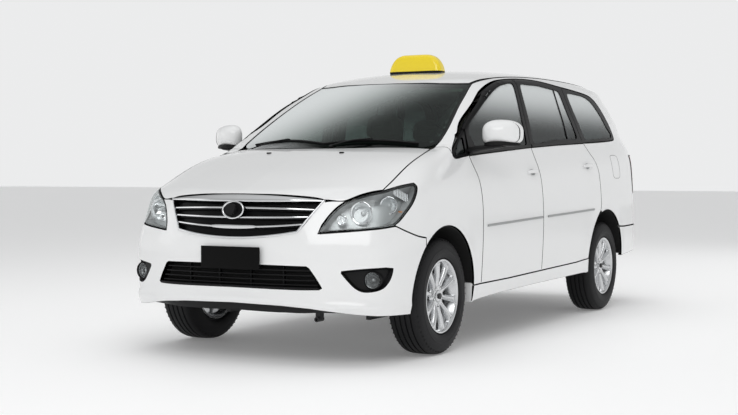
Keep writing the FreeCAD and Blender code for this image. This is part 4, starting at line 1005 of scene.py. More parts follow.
LAMP3 = [(0.733, -1.960, 0.916), (0.762, -1.862, 0.934), (0.797, -1.765, 0.947), (0.8155, -1.765, 0.930), (0.827, -1.786, 0.905), (0.843, -1.838, 0.855), (0.847, -1.872, 0.828), (0.839, -1.915, 0.792), (0.826, -1.965, 0.752), (0.816, -1.990, 0.737)]
lamp_edge = on(f_body, WF, WF.inv(spline_pts(LAMP3, 0.012, corners=(2, 9))))
w_seam = seam[::-1]
w_split = on_side(spline_pts([(-1.985, 0.7305), (-1.93, 0.7055), (-1.84, 0.6755), (-1.757, 0.6625)], 0.012))
WF2 = Wrap(-1.60, 1.45, 0.60)
wing_loop = join(w_hood, lamp_edge, w_split, w_arch, w_low, w_rear[1:-1], w_dlo, seam)
for ob in panel("front_wing_left_skin", ROOT, f_body, WF2, [wing_loop], [M_PAINT, M_PAINT, M_INNER], mirror=True, step=0.028, depth=0.02):
    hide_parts("front_fenders")

# head lamp outline
LAMP_LOW = [(0.816, -1.993, 0.733), (0.770, -2.055, 0.722), (0.723, -2.098, 0.716), (0.65, -2.145, 0.709), (0.59, -2.177, 0.704), (0.53, -2.205, 0.699), (0.484, -2.226, 0.695)]
LAMP_IN = [(0.484, -2.226, 0.695), (0.501, -2.205, 0.738), (0.526, -2.175, 0.786), (0.556, -2.145, 0.828), (0.588, -2.116, 0.857)]
LAMP_TOP = [(0.588, -2.116, 0.857), (0.654, -2.059, 0.890), (0.733, -1.960, 0.916)]


def wrapped(pts, m=WF, corners=(), f=f_body):
    return on(f, m, m.inv(spline_pts(pts, 0.012, corners=corners)))


lamp_loop = join(wrapped(LAMP3, corners=(2, 9)), wrapped(LAMP_LOW), wrapped(LAMP_IN), wrapped(LAMP_TOP))

# front bumper
GR_HALF = [(0.0, 0.664), (0.12, 0.668), (0.25, 0.679), (0.377, 0.698), (0.410, 0.742), (0.450, 0.808), (0.489, 0.868)]
b_bot = np.stack([np.linspace(0, 1, 90), np.zeros(90)], 1)
arch_low = on_side([(ARCH_F[0] - ARCH_F[2] * math.cos(math.radians(9.5)), ARCH_F[1] - ARCH_F[2] * math.sin(math.radians(9.5)))])
u0 = WF.inv(np.array([[0.0, -2.29, 0.285]]))[0]
u1 = WF.inv(arch_low)[0]
uu = np.stack([np.linspace(u0[0], u1[0], 110), np.linspace(u0[1], u1[1], 110)], 1)
xx = on(f_body, WF, uu)[:, 0]
zz = np.interp(xx, [0, 0.30, 0.45, 0.56, 0.66, 0.76, 0.84, 0.88], [0.322, 0.316, 0.306, 0.290, 0.276, 0.266, 0.262, 0.262])
p_bot = level(f_body, WF, uu, zz)
p_archb = on_side(arc2(ARCH_F[0], ARCH_F[1], ARCH_F[2], 189.5, 132.5))
p_split = on_side(spline_pts([(-1.7585, 0.6585), (-1.84, 0.6715), (-1.93, 0.7015), (-1.985, 0.7265)], 0.012))
p_lamp = join(wrapped([(a, b, c - 0.005) for a, b, c in LAMP_LOW]), wrapped([(a - 0.005, b, c) for a, b, c in LAMP_IN[1:]]))
p_hood = on_top([(x, y - 0.0045) for x, y in [(0.580, -2.1135), (0.55, -2.128), (0.52, -2.142), (0.49, -2.157)]])
gr_pts = spline_pts(GR_HALF, 0.012, corners=(3,))
p_gr = on_front(gr_pts[::-1])
half_loop = join(p_bot, p_archb, p_split, p_lamp, p_hood, p_gr)
hl = half_loop[1:-1]
hl = half_loop
k0 = hl[(np.abs(hl[:, 0]) > 0.002)]
c_bot, c_top = half_loop[:1], p_gr[-1:]
bump_loop = join(c_bot, k0, c_top, flip(k0)[::-1])
IN_HALF = [(0.0, 0.404), (0.40, 0.402), (0.505, 0.404), (0.519, 0.412), (0.490, 0.462), (0.455, 0.514), (0.440, 0.523), (0.0, 0.527)]
ih = spline_pts(IN_HALF, 0.012, corners=(0, 2, 3, 5, 6, 7))
in_loop = join(on_front(np.concatenate([ih, (ih * [-1, 1])[::-1][1:-1]])))
FOG3 = [(0.612, 0.500), (0.70, 0.510), (0.80, 0.517), (0.822, 0.512), (0.818, 0.478), (0.808, 0.440), (0.790, 0.410), (0.760, 0.396), (0.710, 0.394), (0.675, 0.412), (0.642, 0.448), (0.610, 0.490)]


def front_xz(pts, f=f_body):
    """Front-view outline on the rounded corner: rays fan out instead of running straight back."""
    pts = np.array(pts, float)
    lo, hi = np.zeros(len(pts)), np.full(len(pts), 1.5)
    v = WF.inv(np.stack([pts[:, 0], np.full(len(pts), -2.2), pts[:, 1]], 1))[:, 1]
    for _ in range(26):
        a = (lo + hi) / 2
        P = on(f, WF, np.stack([WF.yf - 0.9 * a, v], 1))
        big = P[:, 0] > pts[:, 0]
        lo, hi = np.where(big, a, lo), np.where(big, hi, a)
    return level(f, WF, WF.inv(P), pts[:, 1])


fog_pts = spline_pts(FOG3, 0.010, closed=True, corners=(0, 2, 3, 11))
fog_loop = front_xz(fog_pts)
def f_bumper(P):
    """Bumper skin with a lip standing proud along its lower edge."""
    a = np.abs(P[:, 0])
    zc = np.interp(a, [0, 0.30, 0.45, 0.60, 0.80, 0.88], [0.350, 0.346, 0.338, 0.322, 0.312, 0.310])
    amp = np.interp(a, [0, 0.45, 0.70, 0.85], [0.012, 0.014, 0.019, 0.010]) * step01(-P[:, 1], 1.80, 1.95)
    q = (P[:, 2] - zc) / np.where(P[:, 2] > zc, 0.024, 0.034)
    return f_body(P) - amp * np.exp(-q * q)


fb = panel("front_bumper_skin", ROOT, f_bumper, WF, [bump_loop, in_loop, fog_loop, flip(fog_loop)[::-1]], [M_PAINT, M_PAINT, M_BLACK], step=0.03, depth=0.025)
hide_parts("front_bumper")

# roof
def f_roof2(P):
    return np.where(P[:, 1] > 1.75, f_body(P), f_roof(P))


rh = [(a - 0.016, b) for a, b in DITCH]
front = [(0.0, -0.612), (0.15, -0.601), (0.224, -0.588), (0.376, -0.537), (0.47, -0.486), (0.535, -0.434)]
rear = [(0.520, 2.0125), (0.40, 2.018), (0.2, 2.022), (0.0, 2.024)]
rp = np.concatenate([spline_pts(front, 0.02), spline_pts(rh, 0.02), spline_pts(rear, 0.02)])
rp = np.concatenate([rp, (rp * [-1, 1])[::-1]])
roof_loop = join(on_top(rp, f_roof2))
rf = panel("roof_skin", ROOT, f_roof2, TOP, [roof_loop], [M_PAINT, M_PAINT, M_HEADLINER], step=0.04, solid=0.022)
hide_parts("roof_panel")

# tailgate
gh = [(a - G, b) for a, b in GATE_EDGE]
gt = [(0.553 - G, 1.640), (0.545, 1.655)]
gp = spline_pts([(0.0, 0.612)] + [(0.3, 0.612)] + [(0.60, 0.612)] + gh[::-1][0:], 0.014, corners=(2, 3))
GATE_TOP = [(0.0, 1.700), (0.2, 1.697), (0.4, 1.681), (0.50, 1.664), (0.5505, 1.640)]
p_side = on_back(gp)
gtx = spline_pts([(0.5345, 2.0162), (0.40, 2.0218), (0.2, 2.0258), (0.0, 2.0278)], 0.02)
BG = Wrap(-1.0, 1.25, 1.25)
p_t = on_top(gtx, f_body)
ghalf = join(p_side, p_t)
gk = ghalf[np.abs(ghalf[:, 0]) > 0.002]
gate_loop = join(p_side[:1], gk, p_t[-1:], flip(gk)[::-1])
GPANE = [(0.0, 1.176), (0.30, 1.180), (0.56, 1.196), (0.592, 1.216), (0.572, 1.32), (0.540, 1.46), (0.522, 1.540), (0.495, 1.566), (0.30, 1.600), (0.0, 1.610)]
gpn = spline_pts(GPANE, 0.014)
gpn = np.concatenate([gpn, (gpn * [-1, 1])[::-1][1:-1]])
gate_hole = join(on_back(gpn))
tg = panel("tailgate_skin", "tailgate_lid", f_body, BG, [gate_loop, gate_hole], [M_PAINT, M_PAINT, M_TRIM], step=0.03, solid=0.035)
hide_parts("tailgate")

# rear bumper
rb0 = p_band[::-1]
arch_e = on_side(arc2(ARCH_B[0], ARCH_B[1], ARCH_B[2], 40.5, 4.5))
ur0 = WR.inv(arch_e[-1:])[0]
ur1 = WR.inv(np.array([[0.0, 2.28, 0.29]]))[0]
ub = np.stack([np.linspace(ur0[0], ur1[0], 110), np.linspace(ur0[1], ur1[1], 110)], 1)
p_rb = level(f_body, WR, ub, np.interp(np.linspace(0, 1, 110), [0, 0.25, 0.45, 1], [0.382, 0.398, 0.405, 0.385]))
mid = on_back([(x, 0.604) for x in np.linspace(0.63, 0.0, 50)])
band2 = level(f_body, WR, WR.inv(p_band), p_band[:, 2] - 0.006)
rh_ = join(mid[::-1], band2, arch_e, p_rb)
rk = rh_[np.abs(rh_[:, 0]) > 0.002]
rb_loop = join(mid[-1:], rk, p_rb[-1:], flip(rk)[::-1])
rbp = panel("rear_bumper_skin", ROOT, f_body, WR, [rb_loop], [M_PAINT, M_PAINT, M_BLACK], step=0.03, depth=0.025)
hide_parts("rear_bumper")

# side skirts
sk_top = [(y, sill_z(y) - 0.0032) for y in np.linspace(-1.118, 0.848, 60)]
sk = np.concatenate([spline_pts([(-1.122, 0.266), (-1.118, 0.352)], 0.012), np.array(sk_top), spline_pts([(0.8485, 0.390), (0.852, 0.350), (0.862, 0.305)], 0.012), spline_pts([(0.862, 0.305), (0.3, 0.300), (-0.287, 0.292), (-0.817, 0.279), (-1.122, 0.266)], 0.015)])
sk_loop = join(on_side(sk))
panel("side_skirt_left_skin", ROOT, lambda P: f_body(P) - 0.004, SIDE, [sk_loop], [M_PAINT, M_PAINT, M_BLACK], mirror=True, step=0.03, depth=0.05)

# windscreen glass and its black surround
ws = [(0.0, -1.400), (0.2, -1.378), (0.45, -1.300), (0.60, -1.232), (0.650, -1.190), (0.664, -1.150), (0.661, -1.100), (0.654, -1.032), (0.636, -0.922), (0.605, -0.761), (0.585, -0.643), (0.557, -0.502), (0.546, -0.445), (0.535, -0.439), (0.47, -0.491), (0.376, -0.542), (0.224, -0.593), (0.15, -0.606), (0.0, -0.617)]
wsp = spline_pts(ws, 0.02, corners=(12, 13))
wsp = np.concatenate([wsp, (wsp * [-1, 1])[::-1][1:-1]])
ws_loop = join(on_top(wsp, f_screen))
wi = [(0.0, -1.325), (0.2, -1.306), (0.44, -1.236), (0.580, -1.174), (0.636, -1.130), (0.642, -1.08), (0.617, -0.922), (0.587, -0.761), (0.567, -0.643), (0.541, -0.555), (0.528, -0.518), (0.505, -0.522), (0.45, -0.556), (0.37, -0.598), (0.22, -0.648), (0.0, -0.672)]
wip = spline_pts(wi, 0.02)
wip = np.concatenate([wip, (wip * [-1, 1])[::-1][1:-1]])
wi_loop = join(on_top(wip, f_screen))
glass = panel("windshield_glass", ROOT, f_screen, TOP, [ws_loop], [M_SCREEN], step=0.05, solid=0.005, r=0.001)[0]
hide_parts("windshield")
panel("windshield_frit", ROOT, inset_field(f_screen, 0.0052), TOP, [ws_loop, wi_loop], [M_GLOSSB], step=0.05, depth=0.002, r=0.0005)

# ---------------------------------------------------------------- side windows
def side_loop_of(pts, step=0.012, corners=(), f=f_body):
    P = spline_pts(pts, step, True, corners)
    return join(lift(f, "side", P))


f_win = inset_field(f_body, 0.0004)
f_pane = inset_field(f_body, 0.0060)
GLASS_F = [(-0.915, 1.150), (-0.925, 1.162), (-0.928, 1.260), (-0.916, 1.283), (-0.768, 1.3645), (-0.574, 1.459), (-0.482, 1.4998), (-0.3845, 1.536), (-0.295, 1.5615), (-0.2185, 1.575), (-0.105, 1.585), (-0.088, 1.573), (-0.072, 1.35), (-0.064, 1.205), (-0.076, 1.191), (-0.5, 1.168)]
GLASS_R = [(0.058, 1.214), (0.044, 1.40), (0.034, 1.572), (0.048, 1.585), (0.20, 1.592), (0.34, 1.594), (0.50, 1.588), (0.60, 1.583), (0.722, 1.575), (0.742, 1.562), (0.800, 1.43), (0.888, 1.262), (0.880, 1.250), (0.70, 1.243), (0.45, 1.229), (0.070, 1.203)]
GLASS_Q = [(0.900, 1.556), (0.915, 1.567), (1.10, 1.570), (1.26, 1.560), (1.385, 1.530), (1.490, 1.462), (1.60, 1.350), (1.672, 1.296), (1.660, 1.277), (1.58, 1.266), (1.30, 1.256), (1.062, 1.243), (1.046, 1.256)]
GLASS_N = [(-1.175, 1.112), (-1.172, 1.124), (-1.045, 1.212), (-1.030, 1.210), (-1.028, 1.136), (-1.037, 1.127)]

fr_top = dlo_top(-0.989, -0.0285, -0.001)
frame_f = np.concatenate([spline_pts([(YD + G, belt_z(YD) + 0.0), (YD + G, 1.2645)], 0.012), fr_top,
                          spline_pts([(a - G, b) for a, b in [(-0.026, 1.617)] + SPLIT_F[1:4] + [(-0.0105, belt_z(-0.0125))]], 0.012),
                          spline_pts([(y, belt_z(y)) for y in np.linspace(-0.014, YD + G, 18)], 0.012)])
panel("front_door_left_frame", "front_left_door", f_win, SIDE, [join(lift(f_win, "side", frame_f)), side_loop_of(GLASS_F, f=f_win)], [M_GLOSSB, M_GLOSSB, M_TRIM], mirror=True, step=0.018, solid=0.014, r=0.0015)
frame_r = np.concatenate([spline_pts([(a + G, b) for a, b in [(-0.0105, belt_z(-0.0075))] + SPLIT_F[3:0:-1] + [(-0.0258, 1.618)]], 0.012),
                          dlo_top(-0.019, 0.808, -0.001),
                          spline_pts([(a - G, b) for a, b in REAR_EDGE[:4]], 0.012),
                          spline_pts([(y, belt_z(y)) for y in np.linspace(0.980, -0.006, 22)], 0.012)])
panel("rear_door_left_frame", "rear_left_door", f_win, SIDE, [join(lift(f_win, "side", frame_r)), side_loop_of(GLASS_R, corners=(), f=f_win)], [M_GLOSSB, M_GLOSSB, M_TRIM], mirror=True, step=0.018, solid=0.014, r=0.0015)
quarter = np.concatenate([spline_pts([(0.9835 + G, 1.2175)] + [(a + G, b) for a, b in REAR_EDGE[2:0:-1]] + [(0.8165, 1.606)], 0.012),
                          dlo_top(0.822, 1.135, -0.001),
                          spline_pts([(1.1375, 1.590), (1.32, 1.577), (1.4155, 1.562), (1.49, 1.536), (1.5595, 1.493), (1.6555, 1.388), (1.7155, 1.292), (1.710, 1.269), (1.685, 1.257), (1.5995, 1.248), (1.0305, 1.221), (0.990, 1.2185)], 0.012)])
panel("quarter_left_frame", ROOT, f_win, SIDE, [join(lift(f_win, "side", quarter)), side_loop_of(GLASS_Q, f=f_win)], [M_GLOSSB, M_GLOSSB, M_TRIM], mirror=True, step=0.018, solid=0.014, r=0.0015)
nose_tri = np.concatenate([spline_pts([(YD - G, belt_z(YD) + 0.003), (YD - G, 1.2635)], 0.012), spline_pts([(-1.063, 1.2235), (-1.158, 1.1625), (-1.194, 1.134), (-1.208, 1.107)], 0.012), spline_pts([(-1.200, 1.0965), (-1.172, 1.0925), (-1.10, 1.0995), (-1.02, 1.1065)], 0.012)])
panel("corner_left_frame", ROOT, f_win, SIDE, [join(lift(f_win, "side", nose_tri)), side_loop_of(GLASS_N, 0.008, f=f_win)], [M_GLOSSB, M_GLOSSB, M_TRIM], mirror=True, step=0.014, solid=0.014, r=0.0015)


def grow(pts, d):
    P = np.array(pts, float)
    c = P.mean(0)
    v = P - c
    return c + v * (1 + d / np.linalg.norm(v, axis=1))[:, None]


for nm, gl, body, node in (("front_door_glass_left", GLASS_F, "front_left_door", "front_door_glass_left"), ("rear_door_glass_left", GLASS_R, "rear_left_door", "rear_door_glass_left"), ("quarter_glass_left", GLASS_Q, ROOT, None), ("corner_glass_left", GLASS_N, ROOT, None)):
    g = panel(nm + "_pane", body, f_pane, SIDE, [side_loop_of(grow(gl, 0.010), f=f_pane)], [M_GLASS], mirror=True, step=0.022, solid=0.0035, r=0.0005)
    for ob, sd in zip(g, ("left", "right")):
        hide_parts(node.replace("left", sd) if node else "side_quarter_glass")


def strip(pts, f=f_body, w=0.012, h=0.006, out=0.0, r=0.002, step=0.012, kind="side", corners=(), mapto=None):
    """A thin strip that follows a line drawn on the surface."""
    c = spline_pts(pts, step, False, corners)
    P = lift(f, kind, c) if mapto is None else mapto(c)
    N = grad(f, P)
    return sweep(P + N * out, rrect(w, h, r), N)


# divider bar of the rear door, belt seals and moulding
for nm, body, k in (("rear_door_left_divider", "rear_left_door", [(0.641, 1.592), (0.662, 1.46), (0.688, 1.33), (0.704, 1.236)]),):
    Kit().add(strip(k, f_body, 0.016, 0.012, -0.006)).pair(nm, body, M_GLOSSB)
Kit().add(strip([(YD + 0.012, belt_z(YD) + 0.012), (-0.82, belt_z(-0.82) + 0.010), (-0.5, belt_z(-0.5) + 0.009), (-0.020, belt_z(-0.02) + 0.009)], f_body, 0.018, 0.010, 0.001)).pair("front_door_left_belt_seal", "front_left_door", M_RUBBER)
Kit().add(strip([(0.004, belt_z(0.004) + 0.009), (0.45, belt_z(0.45) + 0.009), (0.966, belt_z(0.966) + 0.009)], f_body, 0.018, 0.010, 0.001)).pair("rear_door_left_belt_seal", "rear_left_door", M_RUBBER)
Kit().add(strip([(-0.934, 0.697), (-0.5, 0.7085), (-0.052, 0.7200)], f_body, 0.014, 0.010, 0.002, 0.004)).pair("front_door_left_moulding", "front_left_door", M_GREY)
Kit().add(strip([(0.045, 0.7222), (0.5, 0.733), (0.950, 0.7447)], f_body, 0.014, 0.010, 0.002, 0.004)).pair("rear_door_left_moulding", "rear_left_door", M_GREY)


def handle(nm, body, y0, y1, z):
    """Pull handle over a dished recess; the dish is grey, painted shade."""
    ys = np.linspace(y0, y1, 15)
    zz = np.full(15, z) + 0.004 * np.linspace(0, 1, 15)
    P = lift(f_body, "side", np.stack([ys, zz], 1))
    N = grad(f_body, P)
    s = np.linspace(-1, 1, 15)
    lift_ = 0.024 * np.clip(1 - np.abs(s) ** 4, 0, 1)
    wd = 0.5 + 0.5 * np.clip(1 - np.abs(s) ** 6, 0, 1) ** 0.5
    k = Kit().add(sweep(P + N * lift_[:, None], rrect(0.024, 0.010, 0.0048, 4), N, scale=[(w, 1) for w in wd]))
    c = P[7]
    # dish in grey: painted shade in the recess under the handle
    u = unit(P[10] - P[4])
    w = unit(np.cross(N[7], u))
    dish = [c + N[7] * 0.0022 + math.cos(a) * 0.040 * u + math.sin(a) * 0.021 * w for a in np.linspace(0, TAU, 28, endpoint=False)]
    ring2 = [c + N[7] * 0.0006 + math.cos(a) * 0.032 * u + math.sin(a) * 0.015 * w for a in np.linspace(0, TAU, 28, endpoint=False)]
    painted_shade_dish = Kit().add(loft([np.array(dish), np.array(ring2)], (False, True)), 0)
    k.pair(nm + "_handle", body, M_PAINT)
    painted_shade_dish.pair(nm + "_handle_dish", body, M_GREY)
    lock = P[13] + N[13] * 0.001
    Kit().add(spin([(0, 0), (0, 0.0085), (0.004, 0.008), (0.004, 0)], lock + unit(P[14] - P[13]) * 0.018, N[13], 16)).pair(nm + "_lock", body, M_SILVER)


handle("front_door_left", "front_left_door", -0.222, -0.066, 1.008)
handle("rear_door_left", "rear_left_door", 0.812, 0.975, 1.049)

# mirror
def mirror_shell(kx, kz, y0, y1, cx=0.976, cz=1.236, n=40, m=12):
    """Rounded housing: superellipse sections along y, closed at the front, open at the back."""
    rings = []
    for t in np.linspace(0, 1, m):
        y = y0 + (y1 - y0) * t
        q = math.sin(min(1.0, t * 1.05 + 0.02) * PI / 2) ** 0.55
        a = np.linspace(0, TAU, n, endpoint=False)
        e = 2 / 3.2
        X = np.sign(np.cos(a)) * np.abs(np.cos(a)) ** e * kx * q
        Z = np.sign(np.sin(a)) * np.abs(np.sin(a)) ** e * kz * q
        Z = Z + 0.014 * np.clip(1 - np.abs(X / kx) ** 2, 0, 1) * (Z > 0)
        lean = 0.10 * (X / kx)
        rings.append(np.stack([cx + X - 0.010 * (1 - t), y + 0.028 * (X / kx) + np.zeros(n), cz + Z * (1 - lean * 0.6)], 1))
    return rings


rg = mirror_shell(0.114, 0.069, -1.000, -0.905, cx=0.966, cz=1.235)
Kit().add(loft(rg, (True, False))).add(loft([rg[-1], rg[-1] * [1, 1, 1] + (rg[-1].mean(0) - rg[-1]) * 0.05 + [0, 0.002, 0]], (False, False)), 0).pair("mirror_left_cap", "front_left_door", M_PAINT, replaces="mirror_left")
g0 = rg[-1] + (rg[-1].mean(0) - rg[-1]) * 0.05
g1 = g0 + (g0.mean(0) - g0) * 0.02 + [0, -0.014, 0]
Kit().add(loft([g0, g1], (False, False)), 0).add(loft([g1, g1 + [0, -0.02, 0]], (False, True)), 0).pair("mirror_left_rim", "front_left_door", M_BLACK)
gm = g1 + (g1.mean(0) - g1) * 0.03 + [0, 0.004, 0]
Kit().add(loft([gm, gm + [0, -0.006, 0]], (True, True))).pair("mirror_left_glass", "front_left_door", M_MIRROR)
# black foot of the mirror
foot = []
sx = float(lift(f_body, "side", [(-0.935, 1.142)])[0][0])
for t in np.linspace(0, 1, 9):
    x = sx - 0.012 + (0.985 - sx + 0.012) * t
    z = 1.135 + 0.032 * t ** 0.7
    w = 0.050 * (1 - 0.25 * t)
    h = 0.021 - 0.008 * t
    foot.append(np.stack([np.full(20, x), -0.945 + w * np.cos(np.linspace(0, TAU, 20, endpoint=False)), z + h * np.sin(np.linspace(0, TAU, 20, endpoint=False))], 1))
lower = []
for i, r_ in enumerate(mirror_shell(0.100, 0.012, -0.990, -0.915, cx=0.966, cz=1.171)):
    lower.append(r_)
Kit().add(loft(foot)).add(loft(lower, (True, True))).pair("mirror_left_foot", "front_left_door", M_BLACK)
sail = np.concatenate([spline_pts([(-0.985, 1.121), (-0.985, 1.262)], 0.01), spline_pts([(-0.93, 1.262), (-0.885, 1.19), (-0.85, 1.150)], 0.01), spline_pts([(-0.84, 1.130)], 0.01)])
panel("mirror_left_sail", "front_left_door", lambda P: f_body(P) - 0.004, SIDE, [join(lift(lambda P: f_body(P) - 0.004, "side", np.array([(-0.986, 1.122), (-0.986, 1.20), (-0.984, 1.268), (-0.955, 1.250), (-0.92, 1.215), (-0.885, 1.175), (-0.855, 1.145), (-0.850, 1.128)])), tol=0.001)], [M_BLACK], mirror=True, step=0.03, depth=0.010, r=0.003)

# ---------------------------------------------------------------- inside of the body shell
def slab(nm, pts, d0, d1, mats, body=ROOT, step=0.05, corners=None):
    c = spline_pts(pts, 0.03, True, corners if corners is not None else range(len(pts)))
    f = inset_field(f_body, d0)
    return panel(nm, body, f, SIDE, [join(lift(f, "side", c))], mats, mirror=True, step=step, solid=d1 - d0, r=0.006)


slab("centre_post_left", [(-0.105, 0.315), (0.055, 0.315), (0.055, 1.12), (0.048, 1.20), (0.034, 1.625), (-0.078, 1.625), (-0.072, 1.20), (-0.105, 1.10)], 0.087, 0.125, [M_PAINT, M_PAINT, M_TRIM])
slab("sill_left", [(-1.08, 0.290), (0.85, 0.303), (0.85, 0.352), (-1.08, 0.352)], 0.055, 0.125, [M_PAINT, M_PAINT, M_CARPET])
slab("roof_rail_left", [(-0.392, 1.537), (-0.221, 1.578), (0.0, 1.600), (0.336, 1.610), (0.80, 1.591), (1.14, 1.574), (1.42, 1.548), (1.90, 1.50), (1.90, 1.590), (1.42, 1.630), (0.8, 1.648), (0.3, 1.655), (-0.27, 1.628), (-0.41, 1.590)], 0.045, 0.080, [M_HEADLINER, M_HEADLINER, M_HEADLINER])
slab("pillar_trim_left", [(-1.012, 1.242), (-0.916, 1.299), (-0.779, 1.370), (-0.584, 1.463), (-0.392, 1.539), (-0.40, 1.562), (-0.60, 1.485), (-0.80, 1.388), (-0.96, 1.300)], 0.0235, 0.034, [M_RUBBER, M_RUBBER, M_RUBBER])
slab("hinge_post_left", [(-1.085, 0.30), (-1.012, 0.30), (-1.012, 1.238), (-1.16, 1.150), (-1.16, 1.08), (-1.085, 1.08)], 0.030, 0.120, [M_PAINT, M_PAINT, M_TRIM])
slab("rear_post_left", [(0.840, 1.625), (0.892, 1.625), (1.040, 1.245), (1.20, 1.243), (1.60, 1.262), (1.72, 1.262), (1.72, 1.25), (1.98, 1.20), (1.98, 0.64), (1.68, 0.64), (1.60, 0.70), (1.42, 0.775), (1.25, 0.80), (1.165, 0.79), (1.145, 0.85), (1.145, 0.98), (1.10, 1.09), (1.03, 1.175), (1.005, 1.225)], 0.050, 0.090, [M_PAINT, M_PAINT, M_TRIM])
slab("tail_post_left", [(1.72, 1.27), (1.98, 1.20), (1.96, 1.56), (1.45, 1.58), (1.575, 1.51), (1.672, 1.395)], 0.040, 0.085, [M_PAINT, M_PAINT, M_TRIM])

# ---------------------------------------------------------------- front face
def front_pts(xz, f=f_body):
    """Points of the front view on the surface; works round the corner as well."""
    return front_xz(np.asarray(xz, float), f) if np.abs(np.asarray(xz)[:, 0]).max() > 0.55 else lift(f, "front", np.asarray(xz, float))


def gr_top(x):
    return 0.869 + 0.028 * (1 - (x / 0.487) ** 2)


def gr_low(x):
    return 0.7000 - 0.0345 * (1 - (x / 0.378) ** 2)


def gr_line(t, n=41, span=1.0, shift=0.0):
    """Curve across the grille; t = 0 top edge, t = 1 bottom edge."""
    u = np.linspace(-span, span, n)
    x = u * (0.487 - 0.110 * t)
    z = (1 - t) * gr_top(0.487 * u) + t * gr_low(0.377 * u) + shift
    return np.stack([x, z], 1)


def slat(t, w, h, out, span=0.985, n=41, shift=0.0, r=0.002, taper=None):
    P = lift(f_body, "front", gr_line(t, n, span, shift))
    N = grad(f_body, P)
    return sweep(P + N * out, rrect(w, h, r), N, scale=taper)


g_in = np.concatenate([gr_line(-0.02, 41, 1.0), gr_line(1.02, 41, 1.0)[::-1]])
f_grille = inset_field(f_body, 0.030)
gb = panel("grille_backing", ROOT, f_grille, FRONT, [join(lift(f_grille, "front", dense(g_in, 0.02)))], [M_GLOSSB], step=0.04, depth=0.004, r=0.001)
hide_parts("grille")
# dark walls of the opening
wl = lift(f_body, "front", dense(g_in, 0.02))
Nw = grad(f_body, wl)
Kit().add(loft([wl - Nw * 0.004, wl - Nw * 0.034], (False, False))).out("grille_walls", ROOT, M_GLOSSB, 40)
# upper bar, deepest at the middle
bar = []
for x in np.linspace(-0.484, 0.484, 61):
    h = 0.010 + 0.030 * (1 - (x / 0.487) ** 2)
    zt = gr_top(x) - 0.003
    sec = []
    for q, o in ((0.0, -0.018), (0.0, 0.000), (0.06, 0.0045), (0.20, 0.0075), (0.55, 0.0090), (0.82, 0.0070), (0.95, 0.0030), (1.0, -0.002), (1.0, -0.018)):
        sec.append((x, zt - q * h, o))
    sec = np.array(sec)
    P = lift(f_body, "front", sec[:, :2])
    bar.append(P + np.array([0, -1, 0]) * sec[:, 2:3])
Kit().add(loft(bar)).out("grille_top_bar", ROOT, M_CHROME, 50)
tp = [((0.75 + 0.25 * math.sqrt(max(0.0, 1 - abs(u) ** 6))), 1) for u in np.linspace(-1, 1, 41)]
k = Kit()
for t in (0.315, 0.535, 0.755):
    k.add(slat(t, 0.0095, 0.018, -0.009, 0.985, taper=tp))
k.out("grille_slats", ROOT, M_CHROME, 50)
k = Kit()
for t in (0.315, 0.535, 0.755):
    k.add(slat(t, 0.0085, 0.020, -0.022, 0.985, shift=-0.007))
k.out("grille_slat_backs", ROOT, M_GLOSSB, 50)
# lower lip and side frames in one run
lip = np.concatenate([gr_line(1.0, 41, 1.0)])
side_l = [(0.377 + 0.110 * s, 0.700 + 0.166 * s) for s in np.linspace(0.04, 0.985, 14)]
run = np.concatenate([np.array(side_l)[::-1] * [-1, 1], lip, np.array(side_l)])
P = lift(f_body, "front", run)
N = grad(f_body, P)
wv = np.concatenate([np.linspace(0.55, 1, 14), np.ones(41), np.linspace(1, 0.55, 14)])
Kit().add(sweep(P + N * 0.001, rrect(0.011, 0.016, 0.004), N, scale=[(a, 1) for a in wv])).out("grille_lip", ROOT, M_CHROME, 50)
# wider centre of the lowest slat
P = lift(f_body, "front", gr_line(0.755, 21, 0.36))
N = grad(f_body, P)
Kit().add(sweep(P + N * -0.004, rrect(0.022, 0.016, 0.005), N, scale=[(0.35 + 0.65 * math.sqrt(max(0, 1 - abs(u) ** 3)), 1) for u in np.linspace(-1, 1, 21)])).out("grille_slat_centre", ROOT, M_CHROME, 50)
# plain oval badge with nothing on it
ec = np.array([0.0, float(lift(f_body, "front", [(0.0, 0.812)])[0][1]) - 0.012, 0.812])
tilt = rot3((1, 0, 0), -10)
ring = np.array([(0.064 * math.cos(a), 0, 0.0445 * math.sin(a)) for a in np.linspace(0, TAU, 64, endpoint=False)]) @ tilt.T + ec
Kit().add(sweep(ring, circle(0.0058, 12, 0.0050), tilt @ np.array([0, -1, 0]), True)).out("badge_ring", ROOT, M_CHROME, 60)
dk = []
for q, o in ((1.0, -0.010), (1.0, 0.0), (0.97, 0.0012), (0.8, 0.0034), (0.5, 0.0052), (0.2, 0.0060)):
    dk.append(np.array([(0.058 * q * math.cos(a), -o, 0.0395 * q * math.sin(a)) for a in np.linspace(0, TAU, 48, endpoint=False)]) @ tilt.T + ec)
Kit().add(loft(dk)).out("badge_disc", ROOT, M_GLOSSB, 50)
Kit().add(spin([(-0.030, 0.0), (-0.030, 0.030), (0.008, 0.030), (0.008, 0.0)], ec, tilt @ np.array([0, 1, 0]), 24)).out("badge_stem", ROOT, M_BLACK)

